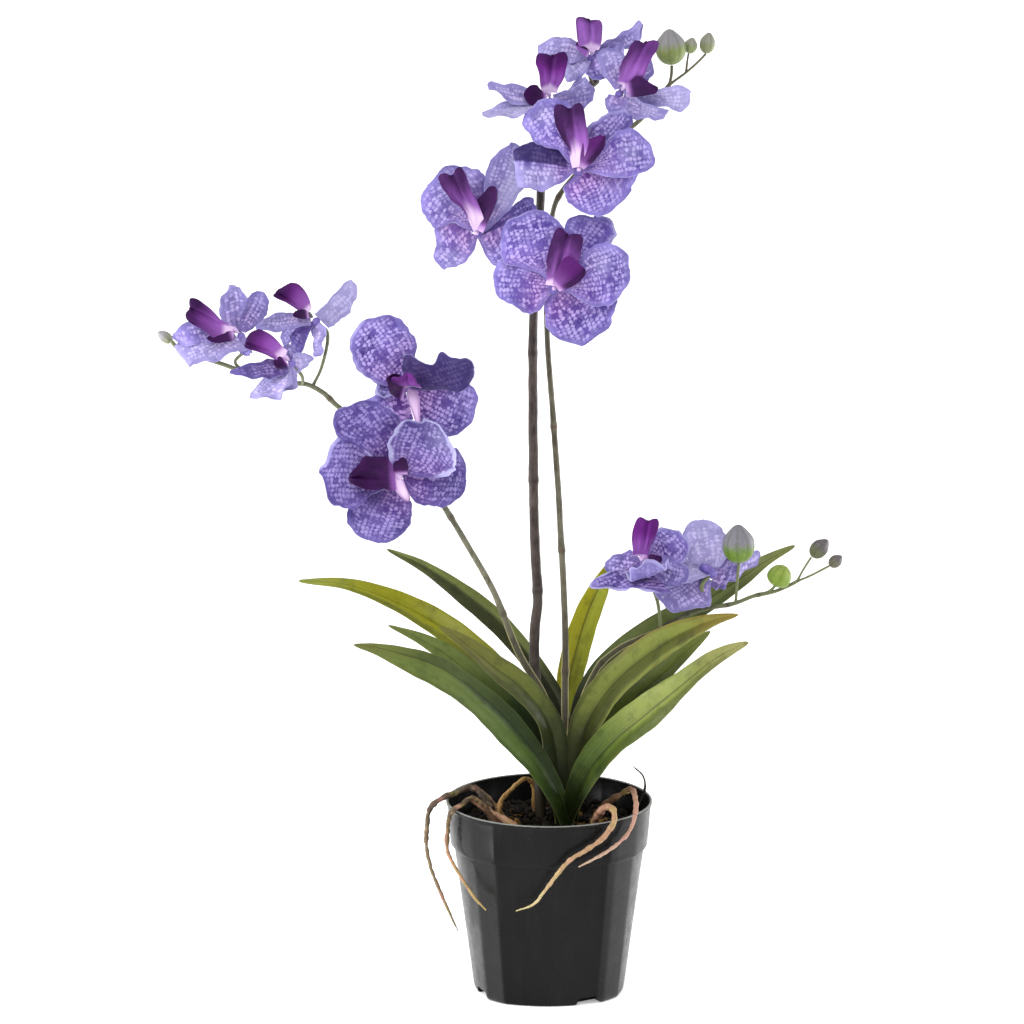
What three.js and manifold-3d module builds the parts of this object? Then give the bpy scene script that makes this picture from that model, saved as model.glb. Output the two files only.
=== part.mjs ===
// Potted vanda orchid: a tapered nursery pot with bark medium, ten strap leaves, four flower spikes
// with their stalks, thirteen flowers, eight buds and eight air roots. Millimetres, +Z up,
// the origin in the middle of the pot's underside, -Y the front.
import * as THREE from "three";
import { mergeVertices } from "three/addons/utils/BufferGeometryUtils.js";
import Module from "manifold-3d";

const wasm = await Module();
wasm.setup();

// ---- driving dimensions ----
const POT_HEIGHT = 123;
const RIM_RADIUS = 65.5;
const BAND_HEIGHT = 27.5; // the stepped rim band
const BAND_FOOT_RADIUS = 62.8;
const BODY_TOP_RADIUS = 60.6; // just under the band
const BODY_FOOT_RADIUS = 47.9;
const WALL = 1.6;
const FLOOR = 2.6;
const DRAIN_WIDTH = 18;
const DRAIN_HEIGHT = 5.2;
const DRAIN_BEARINGS = [31, 121, 211, 301]; // degrees from the front
const SOIL_EDGE = 108;
const SOIL_CROWN = 111.5;
const GAP = 0.3; // kept between neighbouring pieces
const PETAL_THICKNESS = 1.2;
const LIP_THICKNESS = 1.6;
const LEAF_THICKNESS = 2.0;
const LEAF_FOLD = 0.3; // rise of a leaf's edges over its midrib, per half width
const HEART_RADIUS = 3.6; // the knot where a flower's petals meet
const COLUMN_RADIUS = 2.4;

// ---- tables: every point in millimetres, every direction a unit vector ----
// petals, lip and its side lobes: base, tip, face normal, bow, cup, curl, and the half widths to the left
// and to the right of the axis at SHARES of the length
const SHARES = [0, 0.14, 0.3, 0.45, 0.6, 0.74, 0.86, 0.94, 1];
const FLOWERS = {
  flower_01: {
    centre: [1.6, -30.0, 456.6],
    facing: [0.099, -0.988, 0.119],
    petals: [
      { base: [1.0, -29.9, 458.8], tip: [-11.9, -34.0, 505.3], normal: [-0.078, -0.991, -0.109], bow: 0.06, cup: -0.05, curl: 0.03, left: [2.0, 3.9, 14.7, 24.4, 25.4, 22.9, 19.2, 15.4, 5.8], right: [3.0, 8.1, 12.5, 15.6, 17.1, 15.4, 11.5, 8.5, 4.4] },
      { base: [-0.7, -30.4, 456.8], tip: [-35.4, -32.0, 459.4], normal: [0.067, -0.944, 0.323], bow: 0.06, cup: -0.05, curl: 0.05, left: [5.0, 14.5, 16.8, 15.9, 13.5, 10.9, 8.3, 5.6, 1.8], right: [6.4, 10.2, 11.3, 12.6, 13.9, 15.6, 17.2, 14.7, 8.1] },
      { base: [2.6, -29.3, 454.5], tip: [19.8, -28.0, 419.6], normal: [0.165, -0.985, 0.044], bow: 0.08, cup: -0.06, curl: 0.05, left: [13.2, 23.2, 28.8, 31.9, 31.5, 27.9, 23.9, 19.6, 8.9], right: [2.0, 10.0, 12.5, 14.1, 13.7, 10.3, 5.6, 2.5, 0.7] },
      { base: [3.9, -30.9, 457.3], tip: [50.5, -30.0, 469.2], normal: [0.014, -1.0, 0.021], bow: 0.08, cup: 0.05, curl: 0.1, left: [2.0, 4.9, 8.9, 17.6, 20.5, 19.8, 16.3, 11.9, 7.9], right: [2.0, 5.3, 12.8, 18.2, 17.6, 15.0, 10.8, 6.5, 2.5] },
      { base: [2.6, -28.3, 458.4], tip: [28.8, -17.4, 502.3], normal: [-0.15, -0.935, 0.322], bow: 0.04, cup: -0.05, curl: 0.05, left: [2.0, 2.0, 3.7, 6.6, 10.5, 13.7, 9.9, 0.7, 0.7], right: [2.0, 6.1, 9.2, 11.9, 14.8, 17.5, 17.7, 14.9, 11.5] },
    ],
    lip: { base: [2.5, -35.1, 459.0], tip: [11.2, -47.0, 495.8], normal: [-0.049, -0.954, -0.296], bow: 0.05, cup: 0.12, curl: 0, left: [5.5, 5.9, 7.1, 8.9, 9.1, 8.9, 8.4, 7.4, 5.8], right: [4.1, 7.1, 9.5, 10.3, 10.5, 10.3, 10.2, 8.1, 0.5] },
    lobes: [
      { base: [3.6, -35.2, 458.3], tip: [20.8, -42.8, 470.9], normal: [-0.101, -0.908, -0.408], bow: 0, cup: 0, curl: 0, left: [1.6, 3.1, 4.4, 5.5, 6.3, 6.9, 7.2, 6.7, 4.9], right: [3.1, 3.4, 3.3, 3.5, 3.7, 3.5, 3.0, 2.4, 1.3] },
    ],
  },
  flower_02: {
    centre: [-44.7, -8.0, 487.5],
    facing: [-0.147, -0.978, 0.147],
    petals: [
      { base: [-46.4, -9.0, 489.3], tip: [-76.1, -11.0, 518.5], normal: [0.111, -0.993, 0.046], bow: 0.05, cup: -0.05, curl: 0.04, left: [2.0, 2.0, 2.0, 14.2, 14.9, 14.3, 11.7, 7.4, 0.7], right: [3.7, 11.4, 19.7, 25.2, 26.8, 25.1, 21.1, 17.8, 13.7] },
      { base: [-46.3, -8.3, 485.9], tip: [-65.9, -8.0, 464.1], normal: [0.053, -0.997, -0.061], bow: 0.05, cup: -0.04, curl: 0.05, left: [2.1, 3.1, 3.5, 4.1, 5.4, 4.9, 2.2, 0.7, 0.7], right: [18.9, 20.4, 20.5, 19.4, 16.9, 13.7, 11.7, 9.8, 7.5] },
      { base: [-43.8, -7.2, 489.6], tip: [-23.7, -1.8, 543.0], normal: [0.28, -0.96, -0.009], bow: 0.04, cup: 0.08, curl: 0.03, left: [2.1, 2.7, 5.4, 8.0, 9.8, 9.8, 7.2, 3.6, 0.7], right: [4.0, 8.5, 12.1, 14.5, 15.6, 15.9, 15.2, 13.9, 10.8] },
      { base: [-42.5, -6.2, 488.3], tip: [-9.3, 4.0, 505.2], normal: [0.044, -0.891, 0.451], bow: 0.03, cup: -0.05, curl: 0.03, left: [2.1, 3.3, 4.3, 3.6, 4.1, 5.6, 5.9, 4.9, 3.0], right: [2.1, 2.6, 4.4, 5.1, 5.8, 6.3, 6.2, 5.2, 2.5] },
      { base: [-43.6, -7.0, 485.5], tip: [-32.9, 0.0, 464.9], normal: [-0.028, -0.941, -0.336], bow: 0.05, cup: -0.05, curl: 0.03, left: [17.6, 17.8, 17.4, 16.3, 14.5, 12.1, 9.3, 6.5, 4.1], right: [2.1, 2.1, 2.1, 2.6, 2.9, 2.8, 2.5, 1.9, 0.7] },
    ],
    lip: { base: [-46.1, -13.0, 490.0], tip: [-61.6, -23.9, 528.6], normal: [0.156, -0.965, -0.209], bow: 0.05, cup: 0.12, curl: 0, left: [1.4, 1.4, 1.4, 2.7, 6.6, 7.9, 8.8, 8.6, 7.1], right: [4.9, 7.5, 7.9, 8.0, 7.1, 7.5, 7.8, 7.4, 6.4] },
    lobes: [
      { base: [-44.7, -13.0, 490.0], tip: [-34.6, -20.2, 517.6], normal: [-0.286, -0.948, -0.142], bow: 0, cup: 0, curl: 0, left: [1.0, 1.9, 4.2, 5.6, 6.0, 4.6, 3.6, 2.9, 1.7], right: [3.6, 4.0, 4.2, 4.5, 4.7, 4.7, 3.7, 2.6, 1.2] },
    ],
  },
  flower_03: {
    centre: [16.8, -28.0, 529.4],
    facing: [0.102, -0.973, 0.205],
    petals: [
      { base: [15.5, -29.0, 531.5], tip: [-12.6, -30.0, 568.4], normal: [-0.138, -0.982, -0.132], bow: 0.05, cup: -0.05, curl: 0.04, left: [2.0, 2.0, 2.0, 8.1, 11.7, 10.2, 11.4, 7.0, 3.5], right: [2.0, 7.0, 12.1, 16.1, 19.0, 19.8, 17.7, 12.9, 6.6] },
      { base: [14.6, -28.5, 529.9], tip: [-23.4, -32.1, 535.7], normal: [0.137, -0.938, 0.318], bow: 0.06, cup: -0.1, curl: 0.05, left: [2.0, 8.1, 12.5, 15.6, 16.2, 15.8, 14.5, 3.2, 0.7], right: [2.0, 9.3, 12.8, 14.0, 13.4, 13.3, 11.5, 9.2, 6.8] },
      { base: [17.7, -28.0, 527.3], tip: [29.6, -32.2, 500.4], normal: [0.109, -0.974, 0.2], bow: 0.08, cup: -0.08, curl: 0.04, left: [16.1, 24.7, 30.5, 32.7, 30.1, 25.5, 19.6, 12.3, 8.2], right: [3.0, 12.3, 13.5, 13.0, 10.9, 7.9, 4.9, 1.7, 0.7] },
      { base: [19.2, -28.9, 530.1], tip: [64.2, -28.0, 538.7], normal: [-0.023, -0.975, 0.22], bow: 0.08, cup: 0.04, curl: 0.08, left: [2.0, 4.9, 9.8, 15.6, 18.7, 18.5, 13.9, 8.8, 3.7], right: [2.0, 3.9, 7.9, 10.1, 10.3, 9.9, 8.9, 6.3, 2.9] },
      { base: [18.3, -26.3, 530.8], tip: [50.4, -17.9, 561.8], normal: [0.404, -0.898, -0.172], bow: 0.03, cup: 0.05, curl: 0.02, left: [2.3, 6.4, 13.2, 18.7, 17.4, 14.4, 11.8, 8.5, 5.3], right: [2.3, 2.3, 2.3, 2.3, 2.3, 2.6, 4.1, 3.5, 0.9] },
    ],
    lip: { base: [17.0, -33.0, 532.3], tip: [11.0, -44.1, 572.3], normal: [-0.057, -0.96, -0.275], bow: 0.05, cup: 0.12, curl: 0, left: [3.7, 4.1, 3.7, 6.2, 8.3, 9.9, 10.1, 9.3, 7.8], right: [2.1, 4.3, 7.4, 9.1, 8.9, 8.8, 8.7, 7.9, 6.6] },
    lobes: [
      { base: [18.4, -33.1, 531.9], tip: [33.1, -40.6, 551.0], normal: [0.019, -0.925, -0.379], bow: 0, cup: 0, curl: 0, left: [1.0, 2.4, 4.3, 5.8, 7.2, 6.1, 4.1, 3.1, 2.3], right: [2.2, 2.6, 3.2, 3.5, 3.7, 3.6, 2.6, 1.1, 0.4] },
    ],
  },
  flower_04: {
    centre: [-0.2, -6.0, 569.8],
    facing: [-0.1, -0.597, 0.796],
    petals: [
      { base: [-2.5, -6.4, 570.6], tip: [-38.5, -10.1, 579.1], normal: [0.233, -0.683, 0.692], bow: 0.03, cup: 0.08, curl: 0.02, left: [2.6, 6.8, 10.6, 11.1, 10.1, 9.8, 5.7, 4.3, 2.8], right: [2.6, 2.6, 2.6, 3.8, 4.2, 2.6, 4.3, 4.8, 3.7] },
      { base: [-2.4, -6.5, 569.4], tip: [-41.7, -16.1, 561.8], normal: [-0.135, -0.219, 0.966], bow: 0.03, cup: 0.03, curl: 0.02, left: [11.7, 15.8, 19.6, 20.4, 18.0, 13.9, 9.1, 7.5, 6.0], right: [5.8, 5.8, 5.8, 5.8, 5.8, 5.8, 5.8, 4.9, 5.1] },
      { base: [0.4, -6.8, 567.8], tip: [4.1, -12.1, 554.9], normal: [-0.548, -0.818, 0.175], bow: 0.05, cup: -0.03, curl: 0.03, left: [4.3, 7.2, 9.3, 10.6, 10.8, 9.7, 8.1, 6.4, 4.3], right: [3.9, 6.1, 7.3, 7.3, 6.4, 5.0, 3.2, 1.5, 0.8] },
      { base: [2.0, -6.5, 570.7], tip: [27.7, -8.0, 574.5], normal: [0.037, -0.816, -0.576], bow: 0.04, cup: 0.06, curl: 0.04, left: [2.6, 4.5, 6.2, 7.2, 7.8, 9.2, 8.7, 6.5, 4.2], right: [3.8, 7.1, 8.8, 9.5, 9.5, 8.5, 6.4, 3.7, 0.9] },
      { base: [1.8, -4.6, 570.0], tip: [23.6, 4.1, 581.2], normal: [0.54, -0.625, -0.564], bow: 0.03, cup: 0.03, curl: 0.02, left: [3.4, 3.4, 5.0, 5.9, 7.5, 8.3, 6.8, 4.1, 1.4], right: [3.4, 3.5, 4.5, 4.4, 4.7, 5.6, 5.0, 3.6, 2.2] },
    ],
    lip: { base: [-0.6, -9.4, 575.4], tip: [0.9, -18.7, 600.9], normal: [-0.037, -0.94, -0.339], bow: 0.05, cup: 0.1, curl: 0, left: [4.5, 5.5, 6.4, 6.9, 8.2, 9.7, 9.5, 7.5, 0.5], right: [4.7, 5.4, 7.2, 8.5, 9.0, 9.7, 9.9, 8.8, 7.5] },
    lobes: [
      { base: [-2.5, -9.6, 573.6], tip: [-16.0, -16.3, 574.2], normal: [0.433, -0.856, 0.284], bow: 0, cup: 0, curl: 0, left: [1.0, 4.4, 5.2, 6.6, 7.0, 6.7, 5.4, 3.7, 2.1], right: [1.0, 1.0, 3.4, 5.8, 6.0, 5.5, 4.2, 2.7, 1.3] },
    ],
  },
  flower_05: {
    centre: [25.2, 10.0, 594.6],
    facing: [0.108, -0.755, 0.647],
    petals: [
      { base: [23.0, 9.5, 595.4], tip: [-7.7, 10.0, 601.3], normal: [0.045, -0.951, 0.307], bow: 0.05, cup: -0.08, curl: 0.06, left: [2.0, 5.1, 7.1, 7.3, 7.2, 6.8, 6.1, 5.3, 4.4], right: [2.0, 4.0, 7.3, 8.6, 8.1, 6.8, 4.6, 2.2, 0.7] },
      { base: [23.6, 9.4, 593.1], tip: [10.0, 3.9, 580.1], normal: [-0.112, -0.867, 0.486], bow: 0.05, cup: -0.04, curl: 0.03, left: [2.1, 3.3, 4.7, 5.2, 5.0, 4.1, 2.7, 1.5, 0.7], right: [4.4, 8.3, 10.9, 10.6, 8.7, 6.6, 4.3, 2.7, 1.4] },
      { base: [26.0, 9.2, 592.7], tip: [30.9, 5.9, 580.4], normal: [-0.523, -0.852, 0.024], bow: 0.04, cup: -0.04, curl: 0.03, left: [5.9, 7.9, 9.3, 9.6, 9.2, 8.2, 6.6, 4.8, 3.3], right: [4.2, 6.3, 7.3, 7.4, 6.9, 5.5, 3.6, 1.6, 0.8] },
      { base: [27.4, 10.4, 595.2], tip: [46.3, 16.2, 598.4], normal: [0.323, -0.909, -0.264], bow: 0.04, cup: -0.04, curl: 0.03, left: [2.2, 2.6, 4.4, 5.4, 5.7, 5.4, 4.3, 2.5, 0.9], right: [2.4, 3.7, 5.1, 6.1, 6.5, 6.2, 5.5, 4.0, 2.3] },
      { base: [26.9, 11.4, 595.3], tip: [57.7, 26.1, 614.0], normal: [0.437, -0.9, -0.012], bow: 0.04, cup: 0.05, curl: 0.02, left: [2.1, 3.6, 4.6, 2.7, 3.9, 2.8, 3.5, 3.6, 2.5], right: [2.1, 2.5, 3.0, 6.1, 8.8, 10.2, 8.0, 4.1, 2.0] },
    ],
    lip: { base: [25.5, 5.9, 599.5], tip: [23.6, -0.5, 620.8], normal: [0.018, -0.957, -0.289], bow: 0.05, cup: 0.1, curl: 0, left: [5.5, 7.0, 8.0, 8.3, 8.4, 8.4, 8.4, 7.8, 6.3], right: [4.3, 5.7, 6.7, 7.1, 7.6, 7.9, 6.6, 0.5, 0.5] },
    lobes: [
      { base: [24.0, 5.8, 598.4], tip: [15.9, 2.1, 602.8], normal: [0.44, -0.895, 0.07], bow: 0, cup: 0, curl: 0, left: [3.8, 3.8, 3.5, 3.2, 2.7, 2.2, 1.4, 0.4, 0.4], right: [1.0, 1.5, 2.4, 3.0, 3.4, 3.3, 3.0, 2.7, 2.2] },
    ],
  },
  flower_06: {
    centre: [42.7, -12.0, 574.9],
    facing: [0.422, -0.527, 0.738],
    petals: [
      { base: [42.1, -11.7, 577.2], tip: [33.9, -5.9, 601.8], normal: [0.194, -0.938, 0.286], bow: 0.05, cup: 0.04, curl: 0.02, left: [2.9, 4.4, 6.5, 7.8, 8.2, 7.9, 7.2, 5.8, 3.9], right: [2.0, 4.8, 7.2, 8.8, 9.7, 9.2, 7.1, 4.5, 1.7] },
      { base: [43.9, -10.8, 576.0], tip: [61.7, -0.2, 595.4], normal: [-0.161, -0.797, 0.583], bow: 0.04, cup: -0.04, curl: 0.02, left: [2.2, 2.2, 2.2, 2.2, 3.6, 4.7, 4.9, 4.2, 3.0], right: [2.2, 3.9, 6.0, 8.5, 9.6, 8.2, 5.9, 3.5, 1.4] },
      { base: [45.2, -12.4, 575.2], tip: [86.3, -14.0, 572.7], normal: [-0.066, -0.835, -0.546], bow: 0.05, cup: 0.06, curl: 0.05, left: [2.6, 2.6, 4.0, 5.5, 8.4, 9.1, 7.7, 5.3, 2.4], right: [2.6, 5.8, 6.8, 7.0, 7.8, 9.7, 11.0, 9.1, 4.2] },
      { base: [44.9, -12.9, 574.3], tip: [71.8, -21.9, 563.2], normal: [-0.462, -0.686, -0.562], bow: 0.04, cup: 0.04, curl: 0.02, left: [3.1, 3.1, 3.1, 3.1, 3.1, 3.1, 3.1, 1.4, 1.2], right: [12.2, 16.1, 16.4, 14.7, 11.3, 9.4, 7.0, 4.3, 1.6] },
      { base: [41.8, -13.2, 573.1], tip: [37.0, -20.0, 563.5], normal: [-0.237, -0.735, 0.636], bow: 0.04, cup: -0.04, curl: 0.03, left: [5.9, 7.0, 7.7, 7.8, 7.3, 6.5, 5.3, 3.8, 2.2], right: [6.4, 7.1, 7.3, 6.9, 5.9, 4.6, 3.2, 2.0, 0.8] },
    ],
    lip: { base: [45.4, -15.0, 580.0], tip: [59.1, -26.0, 610.5], normal: [-0.196, -0.947, -0.253], bow: 0.05, cup: 0.1, curl: 0, left: [4.4, 5.1, 7.3, 7.7, 7.3, 7.4, 6.2, 0.5, 0.5], right: [5.4, 7.2, 8.2, 8.1, 7.7, 7.8, 8.5, 7.9, 7.1] },
    lobes: [
      { base: [46.4, -15.4, 578.4], tip: [65.0, -26.1, 579.6], normal: [-0.468, -0.849, -0.244], bow: 0, cup: 0, curl: 0, left: [2.6, 4.1, 6.4, 8.3, 7.2, 4.7, 2.7, 1.4, 0.5], right: [5.3, 5.2, 5.2, 4.9, 4.6, 4.2, 3.8, 3.1, 2.1] },
    ],
  },
  flower_07: {
    centre: [-92.7, -46.0, 342.4],
    facing: [-0.1, -0.995, 0.0],
    petals: [
      { base: [-94.2, -45.7, 344.2], tip: [-128.7, -46.0, 384.8], normal: [0.009, -1.0, 0.001], bow: 0.05, cup: -0.05, curl: 0.05, left: [2.0, 2.3, 6.4, 7.1, 9.1, 14.3, 12.5, 9.6, 5.7], right: [2.0, 8.9, 16.0, 22.3, 23.3, 20.2, 14.5, 7.9, 2.5] },
      { base: [-95.1, -46.4, 342.6], tip: [-142.8, -48.0, 346.0], normal: [0.055, -0.943, 0.329], bow: 0.06, cup: 0.05, curl: 0.03, left: [3.1, 9.3, 14.2, 21.2, 23.4, 22.9, 18.4, 4.2, 2.0], right: [2.0, 6.7, 9.4, 17.7, 21.6, 20.9, 15.8, 4.9, 2.7] },
      { base: [-93.4, -46.0, 340.2], tip: [-106.6, -46.0, 298.2], normal: [0.098, -0.995, -0.031], bow: 0.07, cup: -0.06, curl: 0.05, left: [2.0, 5.2, 12.2, 14.5, 14.9, 13.4, 9.1, 5.1, 0.9], right: [2.0, 10.6, 17.8, 22.8, 25.7, 23.9, 19.9, 15.6, 9.1] },
      { base: [-92.0, -47.8, 344.5], tip: [-77.2, -58.3, 381.3], normal: [0.014, -0.96, -0.278], bow: 0.1, cup: 0.1, curl: 0.02, left: [2.0, 8.2, 12.8, 15.4, 16.3, 15.2, 11.6, 0.7, 0.7], right: [5.6, 19.4, 27.1, 28.3, 26.7, 21.4, 15.2, 9.6, 4.9] },
      { base: [-90.5, -46.1, 342.2], tip: [-50.7, -42.0, 337.8], normal: [0.113, -0.988, 0.101], bow: 0.06, cup: -0.06, curl: 0.06, left: [2.0, 10.3, 16.4, 20.0, 21.8, 20.1, 15.8, 10.3, 0.9], right: [4.1, 12.6, 16.9, 17.8, 17.5, 15.8, 12.4, 8.9, 5.7] },
    ],
    lip: { base: [-95.1, -51.1, 342.5], tip: [-126.1, -60.2, 343.4], normal: [0.275, -0.903, 0.331], bow: 0.05, cup: 0.1, curl: 0, left: [8.3, 8.8, 7.5, 8.2, 8.1, 6.4, 4.3, 3.0, 1.9], right: [9.3, 11.6, 11.9, 12.2, 12.9, 7.7, 4.3, 2.5, 1.1] },
    lobes: [
      { base: [-93.3, -51.4, 344.2], tip: [-93.7, -57.6, 357.3], normal: [0.051, -0.903, -0.427], bow: 0, cup: 0, curl: 0, left: [1.5, 2.0, 2.2, 2.2, 2.0, 1.6, 1.0, 0.3, 0.3], right: [3.8, 3.9, 4.1, 4.2, 3.9, 3.5, 3.0, 2.5, 2.0] },
      { base: [-92.5, -51.6, 340.9], tip: [-87.4, -59.6, 328.9], normal: [-0.107, -0.849, 0.518], bow: 0, cup: 0, curl: 0, left: [1.6, 2.1, 2.2, 2.3, 2.6, 2.7, 2.5, 1.8, 0.8], right: [4.8, 6.2, 7.3, 7.3, 6.2, 4.7, 3.2, 2.0, 1.0] },
    ],
  },
  flower_08: {
    centre: [-88.0, -26.0, 393.3],
    facing: [-0.101, -0.909, 0.404],
    petals: [
      { base: [-89.2, -26.2, 395.4], tip: [-114.0, -24.0, 435.9], normal: [0.072, -0.993, 0.098], bow: 0.05, cup: -0.06, curl: 0.04, left: [2.0, 11.8, 17.5, 20.0, 20.3, 18.8, 15.5, 10.9, 5.5], right: [2.0, 8.4, 16.2, 19.7, 20.0, 18.3, 15.0, 10.0, 3.5] },
      { base: [-86.0, -27.5, 394.5], tip: [-44.9, -40.1, 409.1], normal: [-0.13, -0.902, -0.411], bow: 0.06, cup: -0.06, curl: -0.04, left: [14.3, 23.1, 18.3, 11.2, 16.1, 12.6, 11.0, 9.8, 6.6], right: [2.3, 5.5, 7.5, 9.9, 10.8, 10.3, 8.0, 4.5, 0.9] },
      { base: [-86.0, -25.8, 392.3], tip: [-47.3, -22.1, 372.8], normal: [0.091, -0.996, -0.01], bow: 0.06, cup: -0.05, curl: 0.04, left: [2.0, 7.8, 12.1, 15.4, 18.2, 18.7, 16.4, 11.6, 5.0], right: [2.0, 7.8, 12.0, 13.0, 14.3, 17.2, 14.3, 9.0, 4.1] },
      { base: [-90.3, -26.1, 393.8], tip: [-107.5, -21.9, 395.2], normal: [-0.143, -0.79, 0.596], bow: 0.03, cup: 0.12, curl: 0.02, left: [2.9, 5.5, 8.2, 9.7, 10.2, 10.0, 9.0, 7.5, 5.9], right: [2.2, 3.5, 5.8, 8.8, 11.4, 12.0, 10.4, 5.9, 0.8] },
      { base: [-90.0, -24.7, 392.3], tip: [-117.8, -14.9, 380.9], normal: [-0.399, -0.894, 0.203], bow: 0.04, cup: -0.04, curl: 0.03, left: [19.3, 19.9, 17.9, 14.9, 11.1, 7.7, 5.3, 3.0, 0.8], right: [2.0, 2.0, 2.0, 2.0, 2.0, 2.0, 2.1, 2.2, 1.8] },
    ],
    lip: { base: [-88.4, -31.9, 396.2], tip: [-88.0, -54.2, 408.1], normal: [0.013, -0.473, -0.881], bow: 0.06, cup: 0.08, curl: 0, left: [11.1, 11.2, 11.1, 10.8, 10.2, 9.1, 3.0, 2.2, 1.0], right: [8.7, 8.2, 7.5, 6.8, 5.9, 5.0, 3.9, 2.8, 1.6] },
    lobes: [
      { base: [-89.5, -31.8, 395.8], tip: [-100.1, -48.8, 402.6], normal: [0.807, -0.569, -0.161], bow: 0, cup: 0, curl: 0, left: [6.5, 6.7, 6.7, 6.5, 6.1, 5.2, 3.4, 1.5, 0.3], right: [1.0, 1.8, 2.7, 3.5, 4.0, 4.0, 3.5, 2.8, 1.9] },
      { base: [-88.0, -31.6, 393.9], tip: [-80.6, -53.5, 373.0], normal: [-0.14, -0.708, 0.692], bow: 0, cup: 0, curl: 0, left: [1.0, 6.7, 6.9, 5.8, 4.4, 3.0, 2.0, 1.3, 0.7], right: [1.0, 2.5, 2.7, 2.3, 2.0, 1.8, 1.6, 1.3, 0.7] },
    ],
  },
  flower_09: {
    centre: [-192.4, -12.0, 424.2],
    facing: [-0.477, -0.572, 0.667],
    petals: [
      { base: [-192.6, -11.2, 426.2], tip: [-196.3, -3.9, 454.8], normal: [0.132, -0.955, 0.264], bow: 0.04, cup: 0.03, curl: 0.02, left: [5.1, 10.0, 11.3, 11.3, 10.7, 9.7, 5.7, 3.7, 3.4], right: [2.0, 2.6, 4.1, 5.9, 7.5, 6.3, 4.3, 3.1, 0.7] },
      { base: [-191.7, -11.7, 426.5], tip: [-180.5, -5.9, 451.1], normal: [0.304, -0.949, 0.085], bow: 0.04, cup: -0.04, curl: 0.02, left: [2.1, 3.0, 4.2, 4.6, 4.9, 4.2, 3.4, 1.9, 0.7], right: [3.3, 6.0, 7.8, 10.0, 11.1, 10.1, 8.4, 6.3, 4.1] },
      { base: [-195.1, -12.7, 424.9], tip: [-233.7, -16.1, 425.6], normal: [0.086, -0.926, 0.369], bow: 0.06, cup: -0.08, curl: 0.05, left: [2.0, 3.5, 5.8, 7.3, 8.1, 8.2, 6.9, 5.1, 3.2], right: [2.0, 2.0, 2.0, 3.8, 7.1, 7.7, 5.1, 2.5, 0.7] },
      { base: [-194.5, -13.0, 423.4], tip: [-223.6, -26.2, 407.6], normal: [0.021, -0.787, 0.616], bow: 0.06, cup: -0.06, curl: 0.05, left: [12.1, 9.5, 8.2, 8.7, 7.8, 3.4, 2.2, 0.8, 0.8], right: [2.2, 3.8, 6.5, 9.0, 11.5, 14.0, 16.3, 17.4, 16.9] },
      { base: [-191.3, -13.2, 422.6], tip: [-185.1, -19.4, 413.7], normal: [-0.502, -0.831, 0.24], bow: 0.03, cup: -0.03, curl: 0.02, left: [2.2, 2.7, 3.4, 3.9, 3.8, 3.1, 2.2, 1.4, 0.8], right: [2.7, 4.2, 5.5, 6.2, 6.0, 5.3, 4.3, 3.1, 1.8] },
    ],
    lip: { base: [-196.2, -15.3, 428.2], tip: [-224.8, -26.7, 444.9], normal: [0.37, -0.929, -0.002], bow: 0.05, cup: 0.1, curl: 0, left: [7.0, 8.6, 10.1, 9.2, 8.4, 8.4, 7.5, 4.9, 1.4], right: [1.4, 1.4, 1.7, 3.4, 5.2, 6.3, 6.9, 6.2, 5.0] },
    lobes: [
      { base: [-196.3, -15.6, 427.0], tip: [-211.7, -24.1, 424.4], normal: [0.389, -0.826, 0.409], bow: 0, cup: 0, curl: 0, left: [1.0, 5.3, 5.3, 5.1, 4.9, 4.4, 3.3, 2.2, 1.2], right: [1.0, 1.0, 1.0, 1.0, 1.0, 1.1, 1.1, 0.6, 0.4] },
    ],
  },
  flower_10: {
    centre: [-146.6, 6.0, 430.6],
    facing: [-0.619, -0.309, 0.722],
    petals: [
      { base: [-145.2, 6.3, 432.5], tip: [-123.0, 12.3, 454.9], normal: [0.367, -0.923, -0.116], bow: 0.03, cup: 0.05, curl: 0.03, left: [2.2, 2.2, 2.2, 2.2, 2.4, 2.4, 3.1, 2.3, 0.8], right: [10.7, 12.7, 13.2, 12.8, 12.0, 10.9, 9.0, 6.9, 4.7] },
      { base: [-149.0, 5.8, 430.8], tip: [-184.0, 4.0, 429.7], normal: [0.01, -0.65, 0.76], bow: 0.05, cup: -0.05, curl: 0.04, left: [4.8, 5.8, 7.0, 8.1, 8.7, 8.7, 7.7, 6.1, 3.4], right: [2.6, 3.3, 5.0, 5.5, 4.6, 3.5, 3.2, 2.0, 0.9] },
      { base: [-148.0, 5.3, 429.1], tip: [-159.0, -0.0, 408.8], normal: [-0.162, -0.93, 0.33], bow: 0.04, cup: -0.04, curl: 0.03, left: [2.1, 2.1, 2.1, 2.1, 2.7, 3.3, 3.4, 2.0, 0.7], right: [2.1, 4.4, 6.8, 7.9, 7.3, 5.7, 6.0, 5.9, 4.5] },
      { base: [-146.3, 5.6, 428.4], tip: [-144.1, 2.0, 408.0], normal: [-0.674, -0.736, 0.056], bow: 0.03, cup: -0.03, curl: 0.02, left: [3.5, 8.8, 9.7, 6.4, 4.8, 4.6, 3.7, 1.8, 1.0], right: [2.8, 4.0, 4.4, 2.9, 3.4, 4.6, 5.2, 4.1, 2.6] },
      { base: [-148.0, 6.4, 428.8], tip: [-167.5, 8.1, 415.2], normal: [-0.389, -0.801, 0.454], bow: 0.04, cup: -0.04, curl: 0.03, left: [2.3, 2.3, 2.3, 2.3, 2.3, 2.3, 2.3, 0.8, 0.8], right: [2.3, 3.6, 5.2, 6.8, 8.4, 9.0, 8.0, 6.4, 4.7] },
    ],
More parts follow.
